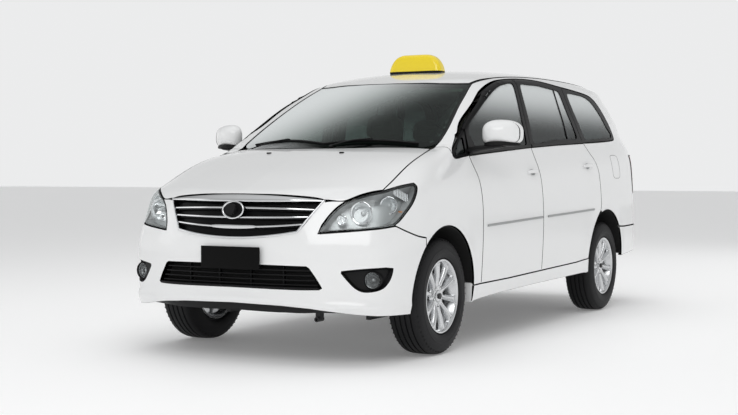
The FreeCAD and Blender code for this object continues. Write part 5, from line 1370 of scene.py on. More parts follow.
# ---------------------------------------------------------------- headlamps
lampN = grad(f_body, lamp_loop)
cen = lamp_loop.mean(0)
lens_loop = lamp_loop - 0.0025 * loop_frames(f_body, WF, lamp_loop)[1]
lens = panel("headlamp_left_lens", ROOT, inset_field(f_body, 0.0005), WF, [on(inset_field(f_body, 0.0005), WF, WF.inv(lens_loop))], [M_CLEAR], mirror=True, step=0.03, solid=0.003, r=0.002)
for ob in lens:
    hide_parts("headlamps")
rimP = lamp_loop - 0.0060 * loop_frames(f_body, WF, lamp_loop)[1]
rimP = on(f_body, WF, WF.inv(rimP))
Kit().add(sweep(rimP - grad(f_body, rimP) * 0.0085, rrect(0.010, 0.010, 0.002), grad(f_body, rimP), True)).pair("headlamp_left_edge", ROOT, M_GLOSSB)
f_lb = inset_field(f_body, 0.075)
inner = []
for L, N0 in zip(rimP, grad(f_body, rimP)):
    inner.append(L)
inner = np.array(inner)
din = loop_frames(f_body, WF, rimP)[1]
back = rimP - 0.016 * din
back = on(f_lb, WF, WF.inv(back - grad(f_body, back) * 0.06))
Kit().add(loft([rimP - grad(f_body, rimP) * 0.010, back], (False, False))).pair("headlamp_left_walls", ROOT, M_LAMPWALL, 30)
panel("headlamp_left_back", ROOT, f_lb, WF, [join(back, tol=0.006)], [M_LAMPBACK], mirror=True, step=0.03, depth=0.002, r=0.0005)


def bowl(c, axis, r, d, n=40):
    """Reflector open toward the axis."""
    pr = [(0.004, r + 0.006), (0.006, r + 0.0035), (0.004, r)]
    for q in np.linspace(0.96, 0.12, 12):
        pr.append((-d * (1 - q * q), r * q))
    pr += [(-d - 0.004, 0.0), (-d - 0.010, 0.0)]
    for q in (0.15, 0.5, 0.8, 0.96):
        pr.append((-d * (1 - q * q) - 0.005, r * q + 0.006))
    return spin(pr, c, axis, n)


def globe(c, axis, r, l, n=20):
    pr = [(0.0, 0.0), (0.0, r)]
    for a in np.linspace(0, PI / 2, 8):
        pr.append((l - r + r * math.sin(a), r * math.cos(a)))
    return spin(pr, c, axis, n)


fwd = unit((0.10, -1.0, 0.0))
b1 = np.array([0.655, -2.062, 0.797])
b2 = np.array([0.752, -1.945, 0.836])
b3 = np.array([0.575, -2.130, 0.762])
k = Kit().add(bowl(b1, fwd, 0.054, 0.045)).add(bowl(b2, unit((0.3, -1, 0)), 0.040, 0.036)).add(bowl(b3, fwd, 0.022, 0.020, 28))
k.pair("headlamp_left_reflectors", ROOT, M_BOWL, 40)
k = Kit().add(globe(b1 - fwd * 0.040, fwd, 0.013, 0.034)).add(globe(b2 - unit((0.3, -1, 0)) * 0.032, unit((0.3, -1, 0)), 0.010, 0.026))
k.pair("headlamp_left_caps", ROOT, M_SILVER, 40)
k = Kit()
for c, a, r in ((b1, fwd, 0.062), (b2, unit((0.3, -1, 0)), 0.047)):
    k.add(spin([(0.001, r), (0.009, r), (0.010, r - 0.002), (0.009, r - 0.004), (0.001, r - 0.005)], c, a, 44))
k.pair("headlamp_left_rings", ROOT, M_CHROME, 40)
# ribbed turn section along the upper outer edge
k = Kit()
for i in range(9):
    s = i / 8
    top = np.array([0.778, -1.870, 0.918]) * (1 - s) + np.array([0.826, -1.812, 0.878]) * s
    k.add(rbox((-0.0035, -0.020, -0.022), (0.0035, 0.020, 0.022), 0.002))
    V = k.V.pop()
    k.V.append(V @ rot3((0, 0, 1), 28).T + top + np.array([-0.030, -0.006, -0.008]))
k.pair("headlamp_left_ribs", ROOT, M_BOWL, 40)
Kit().add(place(rbox((-0.012, -0.004, -0.006), (0.012, 0.004, 0.006), 0.003), (0.800, -1.905, 0.800))).pair("headlamp_left_marker", ROOT, M_LENSAMB, 40)

# ---------------------------------------------------------------- intake, fog lamps, valance, plate
iw = lift(f_body, "front", dense(np.array([(a, b) for a, b in np.concatenate([ih, (ih * [-1, 1])[::-1][1:-1]])]), 0.03))
Ni = grad(f_body, iw)
ci = iw.mean(0)
Kit().add(loft([iw - Ni * 0.003, iw - Ni * 0.02 + [0, 0.060, 0]], (False, False))).out("intake_walls", ROOT, M_BLACK, 40)
bk = lift(inset_field(f_body, 0.062), "front", np.array([(-0.515, 0.405), (0.515, 0.405), (0.450, 0.524), (-0.450, 0.524)]))
panel("intake_back", ROOT, inset_field(f_body, 0.062), FRONT, [join(lift(inset_field(f_body, 0.062), "front", dense(np.array([(-0.520, 0.400), (0.520, 0.400), (0.455, 0.530), (-0.455, 0.530)]), 0.04)))], [M_LINER], step=0.06, depth=0.003, r=0.001)
k = Kit()
for i, z in enumerate((0.425, 0.450, 0.475, 0.500)):
    xm = 0.508 - 0.58 * max(0.0, z - 0.412) - 0.003
    x = np.linspace(-xm, xm, 41)
    P = lift(f_body, "front", np.stack([x, np.full(41, z)], 1))
    N = grad(f_body, P)
    k.add(sweep(P - N * 0.026, rrect(0.0065, 0.030, 0.002), N))
for x in (-0.30, -0.10, 0.10, 0.30):
    P = lift(f_body, "front", np.array([(x, z) for z in np.linspace(0.408, 0.522, 5)]))
    N = grad(f_body, P)
    k.add(sweep(P - N * 0.036, rrect(0.006, 0.020, 0.001), N))
k.out("intake_slats", ROOT, M_BLACK)
P = lift(f_body, "front", np.stack([np.linspace(-0.503, 0.503, 41), np.full(41, 0.409)], 1))
N = grad(f_body, P)
Kit().add(sweep(P - N * 0.004, rrect(0.010, 0.016, 0.004), N)).out("intake_lower_edge", ROOT, M_BLACK)

py = float(lift(f_body, "front", [(0.0, 0.56)])[0][1])
Kit().add(rbox((-0.186, py - 0.024, 0.500), (0.186, py - 0.016, 0.619), 0.0035, 3)).out("front_plate_blank", ROOT, M_PLATE)
Kit().add(rbox((-0.12, py - 0.018, 0.512), (0.12, py + 0.012, 0.604), 0.004)).out("front_plate_mount", ROOT, M_BLACK)

fogN = grad(f_body, fog_loop)
Fb = loop_frames(f_body, WF, fog_loop)[1]
f_fg = inset_field(f_body, 0.030)
fi = on(f_fg, WF, WF.inv(fog_loop - Fb * 0.008 - fogN * 0.03))
Kit().add(loft([fog_loop - fogN * 0.003, fi], (False, False))).pair("fog_left_walls", ROOT, M_BLACK, 30)
fogc = np.array([0.742, 0.0, 0.452])
fogc[1] = front_xz([(0.742, 0.452)])[0][1] + 0.022
fa = unit((0.18, -1.0, 0.0))
hole = [on(f_fg, WF, WF.inv(np.array([fogc + 0.046 * (math.cos(a) * unit(np.cross(fa, (0, 0, 1))) + math.sin(a) * np.array([0, 0, 1]))])))[0] for a in np.linspace(0, TAU, 40, endpoint=False)]
panel("fog_left_bezel", ROOT, f_fg, WF, [join(fi, tol=0.003), np.array(hole)], [M_BLACK], mirror=True, step=0.02, depth=0.014, r=0.002)
Kit().add(spin([(-0.055, 0.0485), (0.004, 0.0485), (0.007, 0.046), (0.007, 0.0425), (-0.004, 0.0415), (-0.055, 0.0415)], fogc, fa, 44)).pair("fog_left_housing", ROOT, M_BLACK, 40)
Kit().add(bowl(fogc - fa * 0.010, fa, 0.0385, 0.030)).pair("fog_left_reflector", ROOT, M_FOGBACK, 40)
Kit().add(globe(fogc - fa * 0.036, fa, 0.0085, 0.022)).pair("fog_left_cap", ROOT, M_SILVER, 40)
Kit().add(spin([(-0.004, 0.0), (-0.004, 0.0415), (0.0, 0.0415), (0.0035, 0.030), (0.0050, 0.015), (0.0055, 0.0)], fogc - fa * 0.001, fa, 44)).pair("fog_left_lens", ROOT, M_CLEAR, 40)

# black lower valance between the raised lip and the ground
xv = np.linspace(-0.52, 0.52, 61)
rings = []
yv = lift(f_body, "front", np.stack([xv, np.full(61, 0.33)], 1))[:, 1]
for x, yf in zip(xv, yv):
    zt = float(np.interp(abs(x), [0, 0.30, 0.45, 0.56, 0.66], [0.326, 0.320, 0.310, 0.294, 0.280]))
    zb = zt - 0.048 + 0.030 * (x / 0.52) ** 4
    rings.append(np.array([(x, yf + 0.012, zt + 0.004), (x, yf + 0.020, (zt + zb) / 2 + 0.01), (x, yf + 0.050, zb), (x, yf + 0.058, zb), (x, yf + 0.060, zb + 0.006), (x, yf + 0.045, zt + 0.004)]))
Kit().add(loft(rings)).out("front_valance", ROOT, M_BLACK, 40)
rings = []
xv = np.linspace(-0.80, 0.80, 61)
yv = front_xz(np.stack([np.abs(xv), np.full(61, 0.34)], 1))[:, 1]
for x, yf in zip(xv, yv):
    rings.append(np.array([(x, yf + 0.02, 0.345), (x, yf + 0.06, 0.285), (x, -1.93, 0.262), (x, -1.93, 0.257), (x, yf + 0.06, 0.279), (x, yf + 0.012, 0.339)]))
Kit().add(loft(rings)).out("front_under_tray", ROOT, M_BLACK, 40)

# ---------------------------------------------------------------- cowl, wipers, washer jets
paintnode("cowl", M_BLACK)


def on_screen(pts, out=0.0):
    P = lift(f_screen, "top", np.asarray(pts, float))
    return P + grad(f_screen, P) * out


for nm, piv, tip, blade in (("wiper_right", (-0.545, -1.292), (-0.085, -1.345), ((0.02, -1.368), (-0.545, -1.232))), ("wiper_left", (0.085, -1.394), (0.420, -1.262), ((0.570, -1.226), (0.02, -1.368)))):
    pv = on_screen([piv], 0.012)[0]
    b0, b1_ = blade
    bl = on_screen(np.stack([np.linspace(b0[0], b1_[0], 25), np.linspace(b0[1], b1_[1], 25)], 1), 0.0055)
    N = grad(f_screen, bl)
    k = Kit()
    k.add(sweep(bl, rrect(0.005, 0.010, 0.002), N))
    k.add(sweep(bl + N * 0.0085, rrect(0.013, 0.006, 0.0025), N, scale=[(0.45 + 0.55 * math.sin(PI * min(1.0, max(0.0, u * 1.0)) ** 1.0) ** 0.5, 1) for u in np.linspace(0.03, 0.97, 25)]))
    mid_ = bl[12] + N[12] * 0.018
    am = (pv + mid_) / 2 + np.array([0, 0, 0.012])
    path = spline_pts([pv + [0, 0, 0.006], am, mid_], 0.03)
    k.add(sweep(path, rrect(0.014, 0.007, 0.003), (0, -0.3, 1), scale=[(1.1 - 0.45 * u, 1) for u in np.linspace(0, 1, len(path))]))
    k.add(spin([(-0.020, 0.0), (-0.020, 0.014), (0.004, 0.014), (0.009, 0.010), (0.010, 0.0)], pv, (0, -0.35, 1), 20))
    k.add(place(rbox((-0.010, -0.008, -0.007), (0.010, 0.008, 0.007), 0.003), mid_ - N[12] * 0.006))
    k.out(nm, ROOT, M_BLACK)

k = Kit()
for s in (-1, 1):
    c = lift(f_hood, "top", [(s * 0.245, -1.555)])[0]
    k.add(place(rbox((-0.013, -0.010, -0.006), (0.013, 0.010, 0.0065), 0.004, 3), c))
k.out("washer_jets", "hood_lid", M_BLACK)

# ---------------------------------------------------------------- wheels
def wheel_parts():
    """Left wheel about the origin, outer face toward +x."""
    h = 0.1025
    ax = (1, 0, 0)
    o = (0, 0, 0)
    tyre = Kit()
    prof = [(-h + 0.0195, 0.1925), (-h + 0.0195, 0.209), (-h + 0.008, 0.2145), (-h + 0.002, 0.226), (-h - 0.0005, 0.246), (-h + 0.001, 0.268), (-h + 0.005, 0.286), (-h + 0.0105, 0.300), (-h + 0.0185, 0.3115), (-0.0765, 0.3185), (-0.0660, 0.3213),
            (-0.0520, 0.3226), (-0.0512, 0.3150), (-0.0445, 0.3150), (-0.0437, 0.3232), (-0.0200, 0.3240), (-0.0192, 0.3155), (-0.0118, 0.3155), (-0.0110, 0.3241), (0.0110, 0.3241), (0.0118, 0.3155), (0.0192, 0.3155), (0.0200, 0.3240),
            (0.0437, 0.3232), (0.0445, 0.3150), (0.0512, 0.3150), (0.0520, 0.3226), (0.0660, 0.3213), (0.0765, 0.3185), (h - 0.0185, 0.3115), (h - 0.0105, 0.300), (h - 0.005, 0.286), (h - 0.001, 0.268), (h - 0.0002, 0.2635), (h + 0.0012, 0.2615), (h + 0.0012, 0.2585), (h + 0.0000, 0.2565), (h + 0.0005, 0.246), (h - 0.002, 0.226), (h - 0.0065, 0.2175), (h - 0.008, 0.2145), (h - 0.0195, 0.209), (h - 0.0195, 0.1925), (h - 0.032, 0.1925), (h - 0.028, 0.235), (h - 0.028, 0.280), (0.06, 0.305), (-0.06, 0.305), (-h + 0.028, 0.280), (-h + 0.028, 0.235), (-h + 0.032, 0.1925)]
    tyre.add(spin(prof, o, ax, 112))
    # shoulder blocks and cross cuts in the tread, as dark grooves standing a hair proud
    lug = Kit()
    n = 60
    for i in range(n):
        a = TAU * i / n
        for s in (1, -1):
            b = rbox((0.0545 * s, -0.0022, 0.3085), (0.0905 * s, 0.0022, 0.3232), 0.0, 1)
            V, F = b
            V = V.copy()
            t = np.clip((np.abs(V[:, 0]) - 0.066) / 0.026, 0, 1)
            V[:, 2] -= 0.0145 * t ** 1.6
            V[:, 1] += (np.abs(V[:, 0]) - 0.055) * 0.25 * s
            V = V @ rot3((1, 0, 0), math.degrees(a)).T
            lug.add((V, F))
    rim = Kit()
    w = 0.090
    outer = [(w - 0.020, 0.1905), (w - 0.006, 0.1910), (w - 0.005, 0.2015), (w - 0.001, 0.2050), (w + 0.002, 0.2052), (w + 0.003, 0.2030), (w + 0.002, 0.1975), (w - 0.003, 0.1925), (w - 0.012, 0.1885), (0.058, 0.1840), (0.040, 0.1740), (-0.052, 0.1720), (-0.066, 0.1830), (-w + 0.004, 0.1880), (-w, 0.2030), (-w + 0.003, 0.2045), (-w + 0.006, 0.1910), (-0.058, 0.1895), (-0.052, 0.1785), (0.040, 0.1790), (0.050, 0.1890)]
    rim.add(spin(outer, o, ax, 96))
    hub = [(0.020, 0.0), (0.020, 0.070), (0.046, 0.072), (0.0585, 0.0655), (0.0655, 0.056), (0.0665, 0.040), (0.0650, 0.0345), (0.0600, 0.0330), (0.0600, 0.0)]
    rim.add(spin(hub, o, ax, 60))
    # ten flared spokes
    for i in range(10):
        a = TAU * (i + 0.25) / 10
        rings = []
        for t in np.linspace(0, 1, 15):
            r = 0.052 + (0.1885 - 0.052) * t
            half = 0.0118 + 0.0042 * t ** 1.5 + 0.0085 * max(0.0, t - 0.86) / 0.14 * (1 if t > 0.86 else 0) + 0.006 * max(0.0, 0.18 - t) / 0.18
            xf = 0.0645 + 0.0165 * math.sin(t * PI * 0.62) + 0.0040 * t
            dp = 0.030 - 0.010 * t
            c0 = 0.0055
            sec = [(-half - 0.003, -dp), (-half, -0.0105), (-half + 0.0030, -0.0035), (-half + 0.0075, 0.0), (-0.0015, -0.0022), (0.0015, -0.0022), (half - 0.0075, 0.0), (half - 0.0030, -0.0035), (half, -0.0105), (half + 0.003, -dp)]
            rings.append(np.array([(xf + q, p, r) for p, q in sec]))
        V, F = loft(rings)
        rim.add((V @ rot3((1, 0, 0), math.degrees(a)).T, F))
    cap = Kit()
    cap.add(spin([(0.056, 0.0325), (0.0655, 0.0325), (0.0685, 0.0300), (0.0712, 0.018), (0.0720, 0.0), (0.056, 0.0)], o, ax, 40))
    dark = Kit()
    for i in range(5):
        a = TAU * (i + 0.5) / 5
        V, F = spin([(0.050, 0.0), (0.050, 0.0105), (0.0668, 0.0105), (0.0668, 0.0092), (0.062, 0.0085), (0.062, 0.0)], (0, 0, 0.0500), ax, 18)
        dark.add((V @ rot3((1, 0, 0), math.degrees(a)).T, F))
    nuts = Kit()
    for i in range(5):
        a = TAU * (i + 0.5) / 5
        V, F = spin([(0.052, 0.0), (0.052, 0.0072), (0.0640, 0.0072), (0.0668, 0.0052), (0.0668, 0.0)], (0, 0, 0.0500), ax, 6)
        nuts.add((V @ rot3((1, 0, 0), math.degrees(a)).T, F))
    valve = Kit().add(place(tube([(0.040, 0.015, 0.176), (0.075, 0.015, 0.165)], 0.0035, 8)))
    return {"tyre": (tyre, M_TYRE), "tread_cuts": (lug, M_LINER), "rim": (rim, M_ALLOY), "cap": (cap, M_ALLOY), "lug_wells": (dark, M_DARKMET), "nuts": (nuts, M_CHROME), "valve": (valve, M_RUBBER)}


WP = wheel_parts()
for e, ay in (("front", AXLE_F), ("rear", AXLE_R)):
    for sd, sg in (("left", 1), ("right", -1)):
        body = "%s_%s_wheel" % (e, sd)
        for part, (kit, m) in WP.items():
            V = np.concatenate(kit.V)
            F = kit.F
            if sg < 0:
                V = V * [-1, 1, 1]
                F = [f[::-1] for f in F]
            k = Kit()
            k.add((V + [sg * TRACK, ay, TYRE_R], F))
            rep = ()
            if part == "tyre":
                rep = "tyre_%s_%s" % (e, sd)
            if part == "rim":
                rep = "rim_%s_%s" % (e, sd)
            k.out("%s_%s_%s" % (part, e, sd), body, m, 30, rep)
        # brake disc or drum, turning with its wheel
        k = Kit()
        x = sg * TRACK
        carrier = "%s_wheel" % ("%s_%s" % (e, sd))
        if e == "front":
            k.add(spin([(-0.014, 0.072), (-0.014, 0.140), (-0.002, 0.140), (-0.002, 0.082), (0.018, 0.080), (0.018, 0.030), (0.012, 0.030), (0.012, 0.072)], (x, ay, TYRE_R), (sg, 0, 0), 48))
            k.out("brake_disc_front_" + sd, body, M_STEEL, 30)
        else:
            k.add(spin([(-0.055, 0.030), (-0.055, 0.145), (-0.040, 0.152), (0.000, 0.150), (0.008, 0.140), (0.010, 0.060), (0.010, 0.030)], (x, ay, TYRE_R), (sg, 0, 0), 48))
            k.out("brake_drum_rear_" + sd, body, M_DARKMET, 30)

# wheel housings
for sd, sg in (("left", 1), ("right", -1)):
    for e, (ay, az, ra), a0, a1 in (("front", ARCH_F, 4, 186), ("rear", ARCH_B, 7, 186)):
        rings = []
        rr = ra - 0.006
        an = np.radians(np.linspace(a0, a1, 44))
        xs = lift(f_body, "side", np.stack([ay + rr * np.cos(an), az + rr * np.sin(an)], 1))[:, 0] - 0.010
        for a, xo in zip(an, xs):
            prof = [(xo, 0), (xo - 0.02, 0.006), (0.62, 0.024), (0.464 if e == "front" else 0.455, 0.024)]
            pts = []
            for px, dr in prof:
                pts.append((sg * px, ay + (rr + dr) * math.cos(a), az + (rr + dr) * math.sin(a)))
            for px, dr in prof[::-1]:
                pts.append((sg * px, ay + (rr + dr + 0.004) * math.cos(a), az + (rr + dr + 0.004) * math.sin(a)))
            rings.append(np.array(pts))
        Kit().add(loft(rings)).out("arch_liner_%s_%s" % (e, sd), ROOT, M_LINER, 40)
        # inner wall of the housing, with the shaft and arms passing through below
        wall = [np.array([(sg * (0.464 if e == "front" else 0.455), ay + q * math.cos(a), az + q * math.sin(a)) for a in np.radians(np.linspace(12 if e == "front" else -2, 168 if e == "front" else 182, 30))]) for q in (0.395, 0.230 if e == "front" else 0.150)]
        loop = np.concatenate([wall[0], wall[1][::-1]])
        V = np.concatenate([loop, loop + [sg * 0.004, 0, 0]])
        n = 30
        F = []
        for i in range(n - 1):
            F.append((i, i + 1, 2 * n - 2 - i, 2 * n - 1 - i))
            F.append(tuple(q + 2 * n for q in (2 * n - 1 - i, 2 * n - 2 - i, i + 1, i)))
        Kit().add((V, F)).out("arch_wall_%s_%s" % (e, sd), ROOT, M_LINER, 40)

# ---------------------------------------------------------------- tail: lamps, glass, trim
def back_pts(xz, f=f_body):
    """Rear-view outline on the rounded corner."""
    pts = np.array(xz, float)
    lo, hi = np.zeros(len(pts)), np.full(len(pts), 1.5)
    v = WR.inv(np.stack([pts[:, 0], np.full(len(pts), 2.2), pts[:, 1]], 1))[:, 1]
    for _ in range(22):
        a = (lo + hi) / 2
        P = on(f, WR, np.stack([WR.yr + 0.9 * a, v], 1))
        big = P[:, 0] > pts[:, 0]
        lo, hi = np.where(big, a, lo), np.where(big, hi, a)
    return level(f, WR, WR.inv(P), pts[:, 1])


f_lamp = lambda P: f_body(P) - 0.0035
TL_IN = [(0.700, 0.846), (0.702, 0.92), (0.701, 1.00), (0.695, 1.07), (0.688, 1.142)]
tin = back_pts(spline_pts(TL_IN, 0.012), f_lamp)
TL_SIDE = [(1.962, 1.140), (1.946, 1.06), (1.938, 0.96), (1.942, 0.90), (1.956, 0.850)]
tside = lift(f_lamp, "side", spline_pts(TL_SIDE, 0.012))
ua, ub_ = WR.inv(tin[-1:])[0], WR.inv(tside[:1])[0]
ttop = level(f_lamp, WR, np.stack([np.linspace(ua[0], ub_[0], 12), np.linspace(ua[1], ub_[1], 12)], 1), np.linspace(tin[-1][2], tside[0][2], 12))
ua, ub_ = WR.inv(tside[-1:])[0], WR.inv(tin[:1])[0]
tbot = level(f_lamp, WR, np.stack([np.linspace(ua[0], ub_[0], 12), np.linspace(ua[1], ub_[1], 12)], 1), np.linspace(tside[-1][2], tin[0][2], 12))
tl_loop = join(tin, ttop[1:-1], tside, tbot[1:-1])


def tl_part(nm, z0, z1, m, rep=False):
    """Slice of the lamp lens between two heights."""
    n = 9
    a = back_pts([(np.interp(z, [p[1] for p in TL_IN], [p[0] for p in TL_IN]), z) for z in np.linspace(z0, z1, n)], f_lamp)
    zs = [p[1] for p in TL_SIDE][::-1]
    ys = [p[0] for p in TL_SIDE][::-1]
    b = lift(f_lamp, "side", [(np.interp(z, zs, ys), z) for z in np.linspace(z1, z0, n)])
    u0, u1 = WR.inv(a[-1:])[0], WR.inv(b[:1])[0]
    t = level(f_lamp, WR, np.stack([np.linspace(u0[0], u1[0], 12), np.linspace(u0[1], u1[1], 12)], 1), z1)
    u0, u1 = WR.inv(b[-1:])[0], WR.inv(a[:1])[0]
    q = level(f_lamp, WR, np.stack([np.linspace(u0[0], u1[0], 12), np.linspace(u0[1], u1[1], 12)], 1), z0)
    for ob in panel(nm, ROOT, f_lamp, WR, [join(a, t[1:-1], b, q[1:-1])], [m], mirror=True, step=0.03, solid=0.022, r=0.003):
        if rep:
            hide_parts("tail_lamps")


tl_part("tail_lamp_left_red", 0.957, 1.139, M_LENSRED, True)
tl_part("tail_lamp_left_amber", 0.905, 0.954, M_LENSAMB, True)
tl_part("tail_lamp_left_clear", 0.852, 0.902, M_LENSWHT, True)
k = Kit()
c_in = back_pts([(0.752, 1.085), (0.752, 1.010)], f_lamp)
Nn = grad(f_lamp, c_in)
for c, n_ in zip(c_in, Nn):
    k.add(spin([(0.001, 0.026), (0.0055, 0.0265), (0.0065, 0.030), (0.0050, 0.033), (0.001, 0.034)], c, n_, 36))
k.pair("tail_lamp_left_rings", ROOT, mat("dark_red_lens", (0.17, 0.005, 0.007), rough=0.15, coat=1.0), 40)
Kit().add(sweep(tl_loop - grad(f_lamp, tl_loop) * 0.0015, rrect(0.005, 0.006, 0.002), grad(f_lamp, tl_loop), True)).pair("tail_lamp_left_edge", ROOT, M_GLOSSB)
lb = panel("tail_lamp_left_back", ROOT, inset_field(f_body, 0.024), WR, [join(on(inset_field(f_body, 0.024), WR, WR.inv(tl_loop)))], [M_LAMPBACK], mirror=True, step=0.04, depth=0.010, r=0.001)

# tailgate glass with a dark border
f_bg = inset_field(f_body, 0.004)
gbig = spline_pts([(0.0, 1.170), (0.30, 1.174), (0.56, 1.190), (0.600, 1.212), (0.579, 1.32), (0.547, 1.46), (0.529, 1.545), (0.500, 1.573), (0.30, 1.607), (0.0, 1.617)], 0.014)
gbig = np.concatenate([gbig, (gbig * [-1, 1])[::-1][1:-1]])
gg = panel("tailgate_glass_pane", "tailgate_lid", f_bg, BACK, [join(lift(f_bg, "back", gbig))], [M_GLASS], step=0.06, solid=0.004, r=0.0005)
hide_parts("tailgate_glass")
gsm = spline_pts([(0.0, 1.205), (0.30, 1.209), (0.53, 1.223), (0.553, 1.240), (0.538, 1.32), (0.508, 1.46), (0.492, 1.525), (0.470, 1.545), (0.30, 1.572), (0.0, 1.582)], 0.014)
gsm = np.concatenate([gsm, (gsm * [-1, 1])[::-1][1:-1]])
f_fr = inset_field(f_body, 0.0085)
panel("tailgate_glass_frit", "tailgate_lid", f_fr, BACK, [join(lift(f_fr, "back", gbig)), join(lift(f_fr, "back", gsm))], [M_GLOSSB], step=0.05, depth=0.001, r=0.0003)
k = Kit()
for z in np.linspace(1.26, 1.53, 9):
    xm = 0.49 - 0.10 * (z - 1.26) / 0.27
    P = lift(f_fr, "back", np.stack([np.linspace(-xm, xm, 15), np.full(15, z)], 1))
    k.add(sweep(P - grad(f_fr, P) * 0.001, rrect(0.0016, 0.0006, 0.0001, 1), grad(f_fr, P)))
k.out("tailgate_heater_lines", "tailgate_lid", M_DARKMET)

# plate recess, garnish, handle, lamps
def tail_y_at(x, z):
    return float(lift(f_body, "back", [(x, z)])[0][1])


k = Kit()
yt = max(tail_y_at(x, z) for x in (0.0, 0.13, 0.26) for z in (0.716, 0.76, 0.81, 0.862))
k.add(rbox((-0.262, yt - 0.022, 0.716), (0.262, yt + 0.0035, 0.862), 0.004))
k.out("rear_plate_bed", "tailgate_lid", M_GLOSSB)
Kit().add(rbox((-0.235, yt + 0.004, 0.733), (0.235, yt + 0.0095, 0.846), 0.003, 3)).out("rear_plate_blank", "tailgate_lid", M_PLATE)
P = lift(f_body, "back", np.stack([np.linspace(-0.36, 0.36, 41), 0.905 + 0.010 * np.cos(np.linspace(-PI / 2, PI / 2, 41))], 1))
N = grad(f_body, P)
s_ = np.linspace(-1, 1, 41)
Kit().add(sweep(P + N * 0.010, rrect(0.046, 0.026, 0.011, 5), N, scale=[(0.45 + 0.55 * math.sqrt(max(0, 1 - abs(u) ** 5)), 0.55 + 0.45 * math.sqrt(max(0, 1 - abs(u) ** 5))) for u in s_])).out("tailgate_garnish", "tailgate_lid", M_CHROME, 45)
P2 = lift(f_body, "back", np.stack([np.linspace(-0.10, 0.10, 15), np.full(15, 0.882)], 1))
Kit().add(sweep(P2 + grad(f_body, P2) * 0.010, rrect(0.012, 0.014, 0.004), grad(f_body, P2))).out("tailgate_pull", "tailgate_lid", M_BLACK)
k = Kit()
for s in (-1, 1):
    c = lift(f_body, "back", [(s * 0.17, 0.870)])[0]
    k.add(rbox(c + [-0.022, 0.002, -0.006], c + [0.022, 0.014, 0.005], 0.003))
k.out("rear_plate_lights", "tailgate_lid", M_LENSWHT)

# rear wiper on the glass
pv = lift(f_body, "back", [(0.0, 1.196)])[0]
nv = grad(f_body, pv[None])[0]
bl = lift(f_body, "back", np.stack([np.linspace(0.06, 0.40, 15), np.linspace(1.222, 1.262, 15)], 1))
nb = grad(f_body, bl)
k = Kit()
k.add(spin([(-0.006, 0.0), (-0.006, 0.020), (0.010, 0.019), (0.018, 0.014), (0.020, 0.0)], pv, nv, 24))
k.add(sweep(bl + nb * 0.006, rrect(0.006, 0.010, 0.002), nb)).add(sweep(bl + nb * 0.014, rrect(0.011, 0.007, 0.002), nb))
k.add(sweep(spline_pts([pv + nv * 0.016, (pv + bl[7]) / 2 + nv * 0.024 + [0, 0, 0.004], bl[7] + nb[7] * 0.019], 0.03), rrect(0.014, 0.007, 0.003), nv))
k.out("rear_wiper", "tailgate_lid", M_BLACK)

# high stop lamp and small lip over the glass
P = lift(f_body, "back", np.stack([np.linspace(-0.44, 0.44, 41), 1.646 - 0.034 * np.linspace(-1, 1, 41) ** 2], 1))
N = grad(f_body, P)
Kit().add(sweep(P + N * 0.006, rrect(0.046, 0.018, 0.007, 4), N, scale=[(0.5 + 0.5 * math.sqrt(max(0, 1 - abs(u) ** 6)), 1) for u in np.linspace(-1, 1, 41)])).out("tailgate_lip", "tailgate_lid", M_PAINT, 45)
P = lift(f_body, "back", np.stack([np.linspace(-0.14, 0.14, 15), np.full(15, 1.645)], 1))
N = grad(f_body, P)
Kit().add(sweep(P + N * 0.0145, rrect(0.020, 0.006, 0.0025, 3), N)).out("stop_lamp_high", "tailgate_lid", M_LENSRED)

# bumper details: step pad, reflectors, valance
P = lift(f_body, "back", np.stack([np.linspace(-0.50, 0.50, 31), np.full(31, 0.585)], 1))
N = grad(f_body, P)
Kit().add(sweep(P + N * 0.0015, rrect(0.030, 0.008, 0.003), N)).out("rear_step_pad", ROOT, M_BLACK)
P = back_pts(np.stack([np.linspace(0.58, 0.74, 9), np.full(9, 0.470)], 1))
N = grad(f_body, P)
Kit().add(sweep(P + N * 0.001, rrect(0.030, 0.008, 0.003), N)).pair("rear_reflector_left", ROOT, M_LENSRED)
rings = []
xv = np.linspace(-0.60, 0.60, 41)
yv = back_pts(np.stack([np.abs(xv) + 1e-3, np.full(41, 0.43)], 1))[:, 1]
for x, y in zip(xv, yv):
    zb = 0.335 + 0.050 * (abs(x) / 0.60) ** 4
    rings.append(np.array([(x, y - 0.010, 0.410), (x, y - 0.050, zb), (x, y - 0.056, zb), (x, y - 0.020, 0.408)]))
Kit().add(loft(rings)).out("rear_valance", ROOT, M_BLACK, 40)

# roof drip strips, windscreen seals, aerial-free roof
P = lift(f_body, "top", spline_pts([(a - 0.006, b) for a, b in DITCH], 0.02))
N = grad(f_body, P)
Kit().add(sweep(P - N * 0.0048, rrect(0.014, 0.006, 0.002), N)).pair("roof_strip_left", ROOT, M_RUBBER)
P = lift(f_roof, "top", np.stack([np.linspace(-0.545, 0.545, 41), np.interp(np.abs(np.linspace(-0.545, 0.545, 41)), [0, 0.15, 0.224, 0.376, 0.47, 0.545], [-0.6155, -0.6045, -0.5915, -0.5405, -0.4895, -0.4335])], 1))
Kit().add(sweep(P - grad(f_screen, P) * 0.002, rrect(0.008, 0.008, 0.002), grad(f_screen, P))).out("screen_top_seal", ROOT, M_RUBBER)
P = lift(f_screen, "top", spline_pts([(a - 0.003, b) for a, b in SCREEN_SIDE[1:]], 0.02))
Kit().add(sweep(P + grad(f_screen, P) * -0.001, rrect(0.008, 0.007, 0.002), grad(f_screen, P))).pair("screen_left_seal", ROOT, M_RUBBER)

